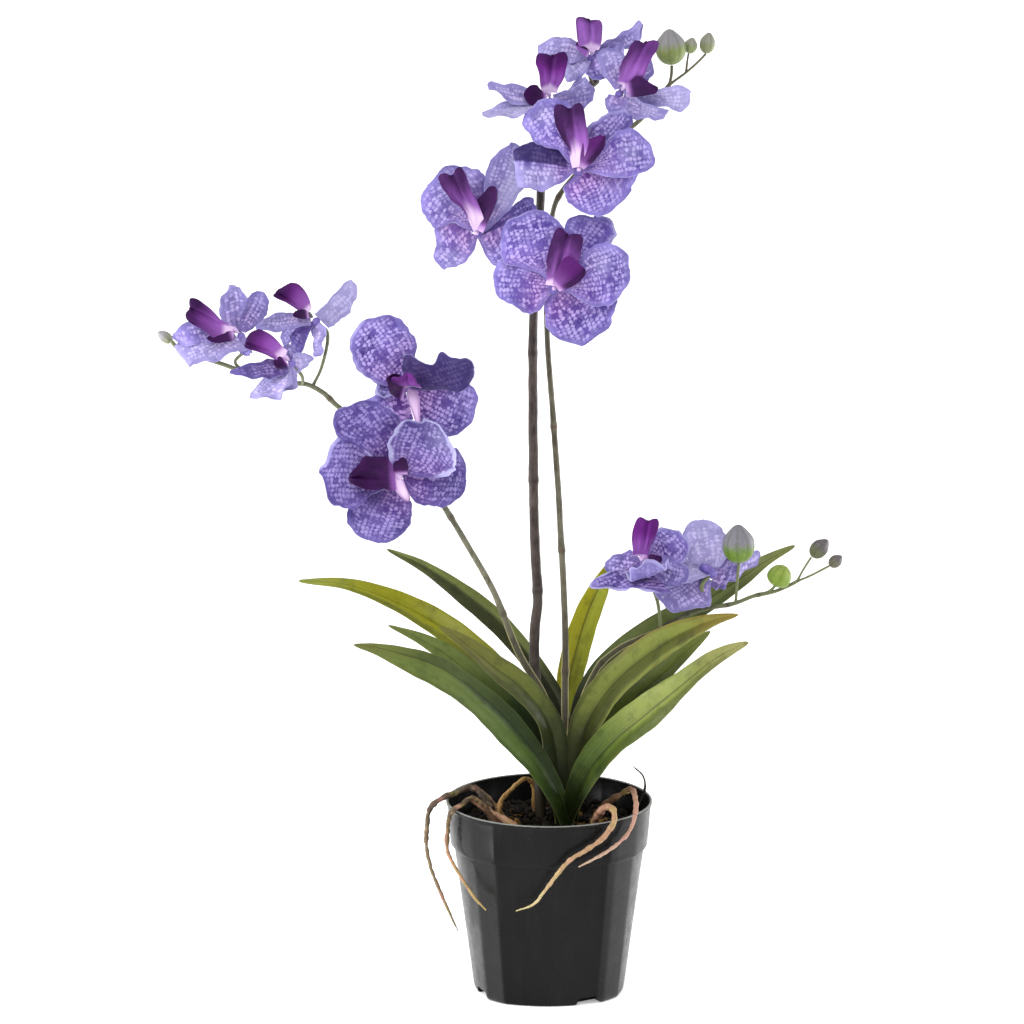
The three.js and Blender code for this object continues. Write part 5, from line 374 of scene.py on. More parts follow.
# ---- a piece under construction ----
class Piece:
    def __init__(self, name):
        self.name = name
        self.v, self.f, self.m, self.fan, self.rim, self.tint, self.n = [], [], [], [], [], [], 0

    def add(self, verts, faces, mat=0, fan=None, rim=None, tint=(0.0, 0.0, 0.0, 0.0)):
        verts = np.asarray(verts, float)
        k = len(verts)
        zero = np.zeros((k, 2))
        self.v.append(verts)
        self.f.extend([tuple(i + self.n for i in f) for f in faces])
        self.m.extend(mat if hasattr(mat, "__len__") else [mat] * len(faces))
        self.fan.append(zero if fan is None else np.asarray(fan, float))
        self.rim.append(zero if rim is None else np.asarray(rim, float))
        tint = np.asarray(tint, float)
        self.tint.append(np.tile(tint, (k, 1)) if tint.ndim == 1 else tint)
        self.n += k

    def build(self, mats, nodes, sharp=42):
        me = bpy.data.meshes.new(self.name)
        me.from_pydata((np.vstack(self.v) * MM).tolist(), [], self.f)
        for m in mats:
            me.materials.append(m)
        me.polygons.foreach_set("material_index", self.m)
        index = np.empty(len(me.loops), int)
        me.loops.foreach_get("vertex_index", index)
        for name, data in (("fan", self.fan), ("rim", self.rim)):
            layer = me.uv_layers.new(name=name)
            layer.data.foreach_set("uv", np.vstack(data)[index].astype(np.float32).ravel())
        tint = me.color_attributes.new("tint", "FLOAT_COLOR", "POINT")
        tint.data.foreach_set("color", np.vstack(self.tint).astype(np.float32).ravel())
        me.shade_smooth()
        me.set_sharp_from_angle(angle=math.radians(sharp))
        me.update()
        o = bpy.data.objects.new(self.name, me)
        bpy.context.scene.collection.objects.link(o)
        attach(o, "root")
        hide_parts(*nodes)
        return o


def sheet_solid(piece, mid, thick, fan, rim, tint, front=0, back=1):
    """A closed thin body around the grid mid (rows, columns, 3); thick is its half thickness there."""
    nu, nv = mid.shape[:2]
    du = np.gradient(mid, axis=0)
    dv = np.gradient(mid, axis=1)
    nor = np.cross(dv, du)
    length = np.linalg.norm(nor, axis=2)[..., None]
    nor = nor / np.maximum(length, 1e-9)
    a = (mid + nor * thick[..., None]).reshape(-1, 3)
    b = (mid - nor * thick[..., None]).reshape(-1, 3)
    k = nu * nv
    quads, mats = [], []
    for i in range(nu - 1):
        for j in range(nv - 1):
            p, q, r, s = i * nv + j, i * nv + j + 1, (i + 1) * nv + j + 1, (i + 1) * nv + j
            quads.append((p, q, r, s)); mats.append(front)
            quads.append((k + p, k + s, k + r, k + q)); mats.append(back)
    ring = [j for j in range(nv)] + [i * nv + nv - 1 for i in range(1, nu)] + [(nu - 1) * nv + j for j in range(nv - 2, -1, -1)] + [i * nv for i in range(nu - 2, 0, -1)]
    for x, y in zip(ring, ring[1:] + ring[:1]):
        quads.append((x, k + x, k + y, y)); mats.append(back)
    t = np.asarray(tint, float)
    t = np.tile(t, (k, 1)) if t.ndim == 1 else t.reshape(-1, 4)
    fan, rim = fan.reshape(-1, 2), rim.reshape(-1, 2)
    piece.add(np.vstack([a, b]), quads, mats, np.vstack([fan, fan]), np.vstack([rim, rim]), np.vstack([t, t]))


def tube(piece, path, radius, sides=12, mat=0, tint=(0, 0, 0, 0), knob=0.0, knob_size=3.0, flat=1.0, start=0.0, first=(0.0, -1.0, 0.3)):
    """A closed bar along path; radius is one value a point. fan holds (length so far, bearing), rim (share of the length, 0)."""
    path = np.asarray(path, float)
    n = len(path)
    t, u, v = frames(path, first)
    s = np.concatenate([[0], np.cumsum(np.linalg.norm(np.diff(path, axis=0), axis=1))])
    verts, fan, rim = [path[0] - t[0] * radius[0] * 0.35], [(start, 0)], [(0, 0)]
    for k in range(n):
        for j in range(sides):
            a = 2 * math.pi * j / sides
            d = u[k] * math.cos(a) + v[k] * math.sin(a) * flat
            p = path[k] + d * radius[k]
            if knob:
                p = p + d * radius[k] * knob * wobble(p[0] + 31, p[1] - 7, p[2] + 3, knob_size)
            verts.append(p)
            fan.append((start + s[k], j / sides))
            rim.append((s[k] / max(s[-1], 1e-6), 0))
    verts.append(path[-1] + t[-1] * radius[-1] * 0.6)
    fan.append((start + s[-1], 0)); rim.append((1, 0))
    faces = [(0, 1 + (j + 1) % sides, 1 + j) for j in range(sides)]
    for k in range(n - 1):
        for j in range(sides):
            a, b = 1 + k * sides + j, 1 + k * sides + (j + 1) % sides
            faces.append((a, b, b + sides, a + sides))
    last = len(verts) - 1
    faces += [(1 + (n - 1) * sides + j, 1 + (n - 1) * sides + (j + 1) % sides, last) for j in range(sides)]
    tint = np.asarray(tint, float)
    if tint.ndim == 2:
        tint = np.vstack([tint[:1], np.repeat(tint, sides, axis=0), tint[-1:]])
    piece.add(verts, faces, mat, fan, rim, tint)


def egg(piece, base, tip, width, mat=0, ribs=0, rib=0.0, rings=22, sides=48, belly=0.45, point=0.0, tint=(0, 0, 0, 0)):
    """A rounded body from base to tip. rim holds (rib height 0 to 1, bearing), fan (share of the length, 0)."""
    base, tip = np.asarray(base, float), np.asarray(tip, float)
    axis = unit(tip - base)
    length = np.linalg.norm(tip - base)
    u = unit(np.cross(axis, (0.3, 1, 0.2)))
    w = np.cross(axis, u)
    verts, fan, rim = [base], [(0, 0)], [(0.5, 0)]
    for k in range(1, rings):
        s = 0.5 - 0.5 * math.cos(math.pi * k / rings)
        x = s / belly if s < belly else 1 - (s - belly) / (1 - belly)
        r = math.sqrt(max(0, 1 - (1 - x) ** 2)) if s < belly else math.sqrt(max(0, 1 - ((s - belly) / (1 - belly)) ** 2)) * (1 - point * smooth(s, 0.6, 1.0))
        for j in range(sides):
            a = 2 * math.pi * j / sides
            c = 0.5 + 0.5 * math.cos(ribs * a) if ribs else 0.5
            q = (width / 2) * r * (1 + rib * (c**0.6 - 0.6))
            verts.append(base + axis * length * s + (u * math.cos(a) + w * math.sin(a)) * q)
            fan.append((s, 0)); rim.append((c, j / sides))
    verts.append(tip); fan.append((1, 0)); rim.append((0.5, 0))
    faces = [(0, 1 + (j + 1) % sides, 1 + j) for j in range(sides)]
    for k in range(rings - 2):
        for j in range(sides):
            a, b = 1 + k * sides + j, 1 + k * sides + (j + 1) % sides
            faces.append((a, b, b + sides, a + sides))
    last = len(verts) - 1
    o = 1 + (rings - 2) * sides
    faces += [(o + j, o + (j + 1) % sides, last) for j in range(sides)]
    piece.add(verts, faces, mat, fan, rim, tint)


# ---- materials ----
def srgb(r, g, b):
    f = lambda c: c / 12.92 if c <= 0.04045 else ((c + 0.055) / 1.055) ** 2.4
    return (f(r / 255), f(g / 255), f(b / 255), 1.0)


class Look:
    """One procedural surface. Every method adds a node and gives its output."""

    def __init__(self, name, roughness=0.5, specular=0.5, sheen=0.0, subsurface=0.0):
        self.mat = bpy.data.materials.new(name)
        self.mat.use_nodes = True
        self.t = self.mat.node_tree
        self.t.nodes.clear()
        out = self.t.nodes.new("ShaderNodeOutputMaterial")
        self.b = self.t.nodes.new("ShaderNodeBsdfPrincipled")
        self.t.links.new(self.b.outputs[0], out.inputs[0])
        self.b.inputs["Roughness"].default_value = roughness
        self.b.inputs["Specular IOR Level"].default_value = specular
        if sheen:
            self.b.inputs["Sheen Weight"].default_value = sheen
        if subsurface:
            self.b.inputs["Subsurface Weight"].default_value = subsurface
            self.b.inputs["Subsurface Radius"].default_value = (0.6, 0.5, 1.0)
            self.b.inputs["Subsurface Scale"].default_value = 0.0015

    def set(self, socket, value):
        if isinstance(value, (int, float, tuple)):
            socket.default_value = value
        else:
            self.t.links.new(value, socket)

    def node(self, kind, inputs=(), out=0, **attrs):
        n = self.t.nodes.new("ShaderNode" + kind)
        for k, v in attrs.items():
            setattr(n, k, v)
        for k, v in dict(inputs).items():
            self.set(n.inputs[k], v)
        return n.outputs[out]

    def uv(self, name):
        s = self.t.nodes.new("ShaderNodeSeparateXYZ")
        self.t.links.new(self.node("UVMap", uv_map=name), s.inputs[0])
        return s.outputs[0], s.outputs[1]

    def tint(self):
        s = self.t.nodes.new("ShaderNodeSeparateColor")
        a = self.t.nodes.new("ShaderNodeAttribute")
        a.attribute_name = "tint"
        self.t.links.new(a.outputs["Color"], s.inputs[0])
        return s.outputs[0], s.outputs[1], s.outputs[2]

    def place(self):
        return self.node("TexCoord", out="Object")

    def math(self, op, a, b=0.0, c=0.0, clamp=False):
        return self.node("Math", {0: a, 1: b, 2: c}, operation=op, use_clamp=clamp)

    def step(self, value, a, b, lo=0.0, hi=1.0):
        return self.node("MapRange", {"Value": value, "From Min": a, "From Max": b, "To Min": lo, "To Max": hi}, interpolation_type="SMOOTHSTEP")

    def vec(self, x, y, z=0.0):
        return self.node("CombineXYZ", {0: x, 1: y, 2: z})

    def stretch(self, vector, x, y, z):
        return self.node("VectorMath", {0: vector, 1: (x, y, z)}, operation="MULTIPLY")

    def noise(self, vector, scale, detail=3.0, rough=0.55):
        return self.node("TexNoise", {"Vector": vector, "Scale": scale, "Detail": detail, "Roughness": rough})

    def mix(self, fac, a, b, mode="MIX"):
        n = self.t.nodes.new("ShaderNodeMix")
        n.data_type = "RGBA"
        n.blend_type = mode
        self.set(n.inputs[0], fac)
        self.set(n.inputs[6], a)
        self.set(n.inputs[7], b)
        return n.outputs[2]

    def ramp(self, value, stops):
        n = self.t.nodes.new("ShaderNodeValToRGB")
        e = n.color_ramp.elements
        while len(e) < len(stops):
            e.new(0.5)
        for x, (p, c) in zip(e, stops):
            x.position = p
            x.color = c
        self.set(n.inputs[0], value)
        return n.outputs[0]

    def bump(self, height, strength, distance_mm, after=None):
        inputs = {"Height": height, "Strength": strength, "Distance": distance_mm * MM}
        if after is not None:
            inputs["Normal"] = after
        return self.node("Bump", inputs)

    def done(self, colour=None, roughness=None, normal=None):
        if colour is not None:
            self.set(self.b.inputs["Base Color"], colour)
        if roughness is not None:
            self.set(self.b.inputs["Roughness"], roughness)
        if normal is not None:
            self.set(self.b.inputs["Normal"], normal)
        return self.mat


def petal_look(name, back):
    k = Look(name, 0.6, 0.16, sheen=0.08)
    a, row = k.uv("fan")  # along the veins and across them, in cells
    edge, s = k.uv("rim")  # millimetres from the margin, share of the length
    dark, pale, pink = k.tint()
    at = k.place()
    wave = k.noise(at, 190, 2)
    drift = k.noise(k.stretch(at, 1.0, 1.3, 0.8), 75, 1)
    grain = k.noise(at, 760, 3, 0.6)
    weave = k.noise(k.stretch(at, 1.15, 0.9, 1.0), 980, 2)
    x = k.math("ADD", a, k.math("MULTIPLY", k.math("SUBTRACT", wave, 0.5), 1.3))
    x = k.math("ADD", x, k.math("MULTIPLY", k.math("SUBTRACT", grain, 0.5), 1.15))
    y = k.math("ADD", row, k.math("MULTIPLY", k.math("SUBTRACT", drift, 0.5), 1.2))
    y = k.math("ADD", y, k.math("MULTIPLY", k.math("SUBTRACT", weave, 0.5), 0.8))
    line = k.math("FLOOR", y)
    shift = k.node("TexWhiteNoise", {"W": k.math("MULTIPLY", line, 1.37)}, noise_dimensions="1D")
    x = k.math("ADD", x, shift)
    cell = k.math("FLOOR", x)
    fx = k.math("SUBTRACT", k.math("FRACT", x), 0.5)
    fy = k.math("SUBTRACT", k.math("FRACT", y), 0.5)
    dice = k.node("TexWhiteNoise", {"Vector": k.vec(cell, line)}, out=1, noise_dimensions="2D")
    parts = k.t.nodes.new("ShaderNodeSeparateColor")
    k.t.links.new(dice, parts.inputs[0])
    r1, r2, r3 = parts.outputs[0], parts.outputs[1], parts.outputs[2]
    qx = k.math("DIVIDE", fx, k.math("ADD", k.math("MULTIPLY", r1, 0.15), 0.29))
    qy = k.math("DIVIDE", fy, k.math("ADD", k.math("MULTIPLY", r2, 0.15), 0.30))
    round_ = k.math("ADD", k.math("MULTIPLY", qx, qx), k.math("MULTIPLY", qy, qy))
    blob = k.step(round_, 2.5, 0.1)
    patch = k.noise(at, 105, 2)
    there = k.step(k.math("ADD", r3, k.math("MULTIPLY", k.math("SUBTRACT", patch, 0.5), 1.7)), -0.1, 0.65)
    inner = k.step(k.math("ADD", edge, k.math("MULTIPLY", k.math("SUBTRACT", wave, 0.5), 4.0)), 0.3, 4.5, 0.1, 1.0)
    spots = k.math("MULTIPLY", k.math("MULTIPLY", blob, there), inner, clamp=True)
    fleck = k.math("MULTIPLY", k.step(k.noise(at, 900, 2, 0.6), 0.50, 0.70), k.step(patch, 0.35, 0.6, 0.25, 0.8))
    spots = k.math("MAXIMUM", spots, k.math("MULTIPLY", fleck, k.math("ADD", k.math("MULTIPLY", inner, 0.45), 0.15)))
    spots = k.math("MULTIPLY", spots, k.step(dark, 0.28, 0.92, 1.0, 0.12))
    spots = k.math("MULTIPLY", spots, k.step(pale, 0.3, 0.9, 1.0, 0.55))
    tone = k.noise(at, 60, 3)
    ground = k.mix(k.step(tone, 0.32, 0.68), srgb(*GROUND[0]), srgb(*GROUND[1]))
    haze = k.noise(k.stretch(at, 1.2, 1.0, 0.9), 46, 3, 0.6)
    ground = k.mix(k.math("MULTIPLY", k.step(haze, 0.50, 0.72), k.step(dark, 0.0, 0.6, 0.62, 0.1)), ground, srgb(*GROUND[7]))
    # random darker patches in the deep colour: painted shade of folds
    ground = k.mix(k.step(haze, 0.47, 0.30, 0.0, 0.72), ground, srgb(*GROUND[8]))
    near = k.step(s, 0.72, 0.10)
    near = k.math("MULTIPLY", near, k.step(pink, 0.0, 1.0, 0.5, 1.0))
    ground = k.mix(near, ground, srgb(*GROUND[2]))
    # the dark tint: partly the petal's own darker colour, partly painted shade
    ground = k.mix(k.math("MULTIPLY", dark, 0.9), ground, srgb(*GROUND[3]))
    spot = k.mix(near, srgb(*GROUND[4]), srgb(*GROUND[5]))
    margin = k.step(k.math("ADD", edge, k.math("MULTIPLY", k.math("SUBTRACT", drift, 0.5), 8.0)), 5.5, 0.5)
    ground = k.mix(k.math("MULTIPLY", margin, k.step(dark, 0.0, 0.8, 0.5, 0.05)), ground, srgb(130, 121, 188))
    colour = k.mix(k.math("MULTIPLY", spots, 0.88), ground, spot)
    fibre = k.noise(k.vec(k.math("MULTIPLY", a, 0.9), k.math("MULTIPLY", row, 7.0)), 1.4, 3, 0.6)
    colour = k.mix(k.math("MULTIPLY", k.step(fibre, 0.42, 0.72), 0.34), colour, srgb(*GROUND[8]))
    # the pale tint: partly the petal's own paler colour, partly painted light
    colour = k.mix(k.math("MULTIPLY", pale, 0.8), colour, k.mix(spots, srgb(*GROUND[6]), srgb(216, 210, 238)))
    rim = k.step(k.math("ADD", edge, k.math("MULTIPLY", wave, 0.9)), 1.15, 0.55)
    colour = k.mix(k.math("MULTIPLY", rim, k.step(drift, 0.4, 0.6, 0.0, 0.5)), colour, srgb(*GROUND[6]))
    if back:
        colour = k.mix(0.5, colour, srgb(130, 120, 182))
    n = k.bump(blob, 0.25, 0.25)
    n = k.bump(fibre, 0.5, 0.45, n)
    n = k.bump(grain, 0.45, 0.35, n)
    n = k.bump(k.noise(at, 1500, 2), 0.2, 0.12, n)
    return k.done(colour, k.step(k.noise(at, 500, 2), 0.3, 0.7, 0.5, 0.68), n)


# ground at its darkest and lightest, near the heart, in dark areas (painted shade, and darker petals); spots outside
# and near the heart; pale areas (painted light, paler petals and the pale rim); haze and deep areas (the deep colour is
# painted shade of folds, and the fibres' colour)
GROUND = [(66, 50, 130), (102, 83, 164), (88, 46, 128), (30, 16, 70), (174, 160, 218), (196, 160, 216), (165, 163, 200), (146, 132, 195), (58, 37, 112)]


def lip_look(name):
    k = Look(name, 0.5, 0.08)
    length, v = k.uv("fan")
    s, edge = k.uv("rim")
    dark, white, mauve = k.tint()
    at = k.place()
    veins = k.noise(k.vec(k.math("MULTIPLY", length, 2.4), k.math("MULTIPLY", v, 9.0)), 1.6, 3)
    soft = k.math("MULTIPLY", k.math("SUBTRACT", veins, 0.5), 0.5)
    cloud = k.noise(at, 160, 2)
    colour = k.ramp(mauve, [(0.0, srgb(72, 24, 86)), (0.5, srgb(110, 36, 132)), (1.0, srgb(128, 82, 158))])
    colour = k.mix(k.math("MULTIPLY", k.step(s, 0.75, 0.1), 0.5), colour, srgb(160, 110, 188))
    colour = k.mix(k.math("MULTIPLY", k.step(cloud, 0.45, 0.75), 0.25), colour, srgb(112, 54, 138))
    # the dark tint: the lip's own dark plum towards the end, and painted shade on the shaded side and in the groove
    depth = k.math("ADD", dark, k.math("MULTIPLY", k.math("MULTIPLY", dark, k.math("SUBTRACT", 1.0, dark)), k.math("MULTIPLY", soft, 5.0)), clamp=True)
    colour = k.mix(k.math("MULTIPLY", depth, 0.96), colour, k.mix(k.step(cloud, 0.35, 0.65), srgb(40, 6, 54), srgb(26, 4, 40)))
    colour = k.mix(k.math("ADD", white, k.math("MULTIPLY", k.math("MULTIPLY", white, soft), 1.6), clamp=True), colour, srgb(216, 190, 222))
    n = k.bump(veins, 0.5, 0.45)
    n = k.bump(k.noise(at, 1400, 2), 0.25, 0.12, n)
    return k.done(colour, k.step(k.noise(at, 420, 2), 0.3, 0.7, 0.42, 0.6), n)


def plain_look(name, colours, scale, roughness=(0.5, 0.65), bump=0.25, depth=0.3, specular=0.4, sheen=0.0, fine=1200):
    """A mottled surface between the given colours."""
    k = Look(name, 0.5, specular, sheen=sheen)
    at = k.place()
    value = k.noise(at, scale, 4, 0.6)
    stops = [(0.28 + 0.44 * i / (len(colours) - 1), srgb(*c)) for i, c in enumerate(colours)]
    n = k.bump(k.noise(at, scale * 2.5, 4), bump, depth)
    n = k.bump(k.noise(at, fine, 3), bump * 0.6, depth * 0.4, n)
    return k.done(k.ramp(value, stops), k.step(k.noise(at, scale * 1.7, 2), 0.3, 0.7, *roughness), n)


def stem_look(name, low, high, node, top):
    """low and high are the mottle's colours; tint red is the darkness of a joint ring, green the paleness, blue how far it has turned to the tip's colour."""
    k = Look(name, 0.45, 0.2)
    at = k.place()
    ring, light, turned = k.tint()
    length, _ = k.uv("fan")
    long = k.noise(k.stretch(at, 1.0, 1.0, 0.16), 900, 3)
    colour = k.mix(k.step(k.noise(at, 90, 3), 0.3, 0.7), srgb(*low), srgb(*high))
    colour = k.mix(turned, colour, srgb(*top))
    colour = k.mix(k.math("MULTIPLY", k.step(long, 0.4, 0.72), 0.4), colour, srgb(*[min(255, c + 24) for c in high]))
    colour = k.mix(ring, colour, srgb(*node))
    deep = k.t.nodes.new("ShaderNodeAttribute")
    deep.attribute_name = "tint"
    colour = k.mix(deep.outputs["Alpha"], colour, srgb(44, 38, 28))
    colour = k.mix(light, colour, srgb(144, 138, 98))
    n = k.bump(long, 0.35, 0.3)
    n = k.bump(k.noise(at, 2200, 2), 0.2, 0.1, n)
    return k.done(colour, k.step(k.noise(at, 300, 2), 0.3, 0.7, 0.42, 0.6), n)


def leaf_look(name, look):
    """A strap: colours from the foot to the tip, painted shade and painted highlight areas, a painted shade line along
    the crease, pale margins and fine lengthwise veins.
    """
    k = Look(name, 0.45, 0.17)
    s, v = k.uv("fan")
    side, wide = k.uv("rim")  # 0 at the crease; half width in millimetres
    dark, warm, light = k.tint()
    at = k.place()
    across = k.math("MULTIPLY", v, wide)
    veins = k.noise(k.vec(k.math("MULTIPLY", s, 3.0), k.math("MULTIPLY", across, 1.6)), 1.0, 4, 0.6)
    fine = k.noise(k.vec(k.math("MULTIPLY", s, 9.0), k.math("MULTIPLY", across, 4.2)), 1.0, 3, 0.6)
    broad = k.noise(at, 38, 3)
    blotch = k.noise(at, 95, 3, 0.6)
    along = k.math("ADD", s, k.math("MULTIPLY", k.math("SUBTRACT", broad, 0.5), 0.4))
    # the darkest colours at the foot are partly painted shade where the leaves overlap
    colour = k.ramp(along, [(p, srgb(*c)) for p, c in zip((0.0, 0.22, 0.48, 0.8, 1.0), look["stops"])])
    foot, body = look["stops"][0], look["stops"][2]
    colour = k.mix(k.math("MULTIPLY", warm, k.step(blotch, 0.25, 0.6, 0.55, 1.0)), colour, srgb(*look.get("warm", body)))
    # the light tint: painted highlight
    colour = k.mix(k.math("MULTIPLY", light, k.step(blotch, 0.3, 0.65, 0.5, 1.0)), colour, srgb(*look["light"]))
    colour = k.mix(k.math("MULTIPLY", k.step(veins, 0.38, 0.7), 0.26), colour, srgb(*[min(255, int(c * 1.35) + 8) for c in body]))
    colour = k.mix(k.math("MULTIPLY", k.step(fine, 0.42, 0.7), 0.28), colour, srgb(*[int(c * 0.8) for c in foot]))
    colour = k.mix(k.math("MULTIPLY", k.step(blotch, 0.5, 0.72), 0.32), colour, srgb(*[int(c * 0.8) for c in foot]))
    # the dark tint: painted shade
    colour = k.mix(k.math("MULTIPLY", dark, k.step(broad, 0.25, 0.6, 1.0, 0.8)), colour, srgb(*[int(c * 0.8) for c in foot]))
    # a dark line along the crease: painted shade
    colour = k.mix(k.math("MULTIPLY", k.step(side, 0.09, 0.0), 0.6), colour, srgb(*[int(c * 0.6) for c in foot]))
    colour = k.mix(k.math("MULTIPLY", k.step(k.math("ABSOLUTE", v), 0.95, 1.0), 0.22), colour, srgb(*look["edge"]))
    n = k.bump(veins, 0.35, 0.4)
    n = k.bump(fine, 0.25, 0.25, n)
    n = k.bump(k.noise(at, 1300, 3), 0.18, 0.15, n)
    return k.done(colour, k.step(k.noise(at, 180, 3), 0.3, 0.7, 0.36, 0.55), n)


def bud_look(name, low, high, turn, dark):
    k = Look(name, 0.5, 0.22)
    s, _ = k.uv("fan")
    rib, _ = k.uv("rim")
    at = k.place()
    along = k.math("ADD", s, k.math("MULTIPLY", k.math("SUBTRACT", k.noise(at, 300, 3), 0.5), 0.3))
    colour = k.mix(k.step(along, turn - 0.16, turn + 0.16), srgb(*low), srgb(*high))
    # darker in the grooves between the ribs: painted shade
    colour = k.mix(k.math("MULTIPLY", k.step(k.math("ADD", rib, k.math("MULTIPLY", k.noise(at, 240, 2), 0.5)), 0.7, 0.2), 0.34), colour, srgb(*dark))
    colour = k.mix(k.math("MULTIPLY", k.step(k.noise(at, 700, 3), 0.5, 0.8), 0.2), colour, srgb(168, 162, 160))
    n = k.bump(k.noise(at, 900, 3), 0.3, 0.25)
    return k.done(colour, k.step(k.noise(at, 500, 2), 0.3, 0.7, 0.38, 0.55), n)


PETAL = petal_look("petal_face", False)
PETAL_BACK = petal_look("petal_reverse", True)
LIP = lip_look("lip_velvet")
CALYX = plain_look("calyx", [(84, 68, 134), (104, 88, 160), (126, 110, 182)], 260, bump=0.3)
COLUMN = plain_look("column", [(142, 104, 160), (186, 158, 200), (214, 194, 220)], 320, bump=0.2)
HOOK = plain_look("dark_column", [(50, 60, 48), (84, 74, 84), (110, 84, 116)], 320, bump=0.2)

# ---- flowers ----
VEIN_GAP = 3.1  # between the rows of spots where the petal is widest
SPOT_GAP = 2.4  # from spot to spot along a row
SHARES = [0, 0.14, 0.3, 0.45, 0.6, 0.74, 0.86, 0.94, 0.985]  # where the half widths are given


def margin(values, s, end=0.35):
    """Half width along a piece, smooth through its stations and closing at the end."""
    x = np.array(SHARES + [0.996, 1.0])
    y = np.array(list(values) + [values[-1] * lerp(1, end, 0.45), values[-1] * end])
    d = np.diff(y) / np.diff(x)
    inner = np.where(d[:-1] * d[1:] > 0, 2 * d[:-1] * d[1:] / (d[:-1] + d[1:] + 1e-12), 0)
    m = np.concatenate([[d[0] * 0.6], inner, [d[-1]]])
    k = np.clip(np.searchsorted(x, s, side="right") - 1, 0, len(x) - 2)
    h = x[k + 1] - x[k]
    t = (s - x[k]) / h
    return (2 * t**3 - 3 * t**2 + 1) * y[k] + (t**3 - 2 * t**2 + t) * h * m[k] + (3 * t**2 - 2 * t**3) * y[k + 1] + (t**3 - t**2) * h * m[k + 1]


def depth_inside(X, Y):
    """Distance in millimetres from every grid point to the outline of the grid."""
    ring = np.concatenate([np.stack([X[:, 0], Y[:, 0]], 1), np.stack([X[-1, 1:], Y[-1, 1:]], 1), np.stack([X[::-1, -1][1:], Y[::-1, -1][1:]], 1)])
    a, b = ring[:-1], ring[1:]
    p = np.stack([X.ravel(), Y.ravel()], 1)[:, None, :]
    ab = (b - a)[None]
    t = np.clip(((p - a[None]) * ab).sum(2) / np.maximum((ab**2).sum(2), 1e-9), 0, 1)
    return np.sqrt(((p - a[None] - ab * t[..., None]) ** 2).sum(2)).min(1).reshape(X.shape)
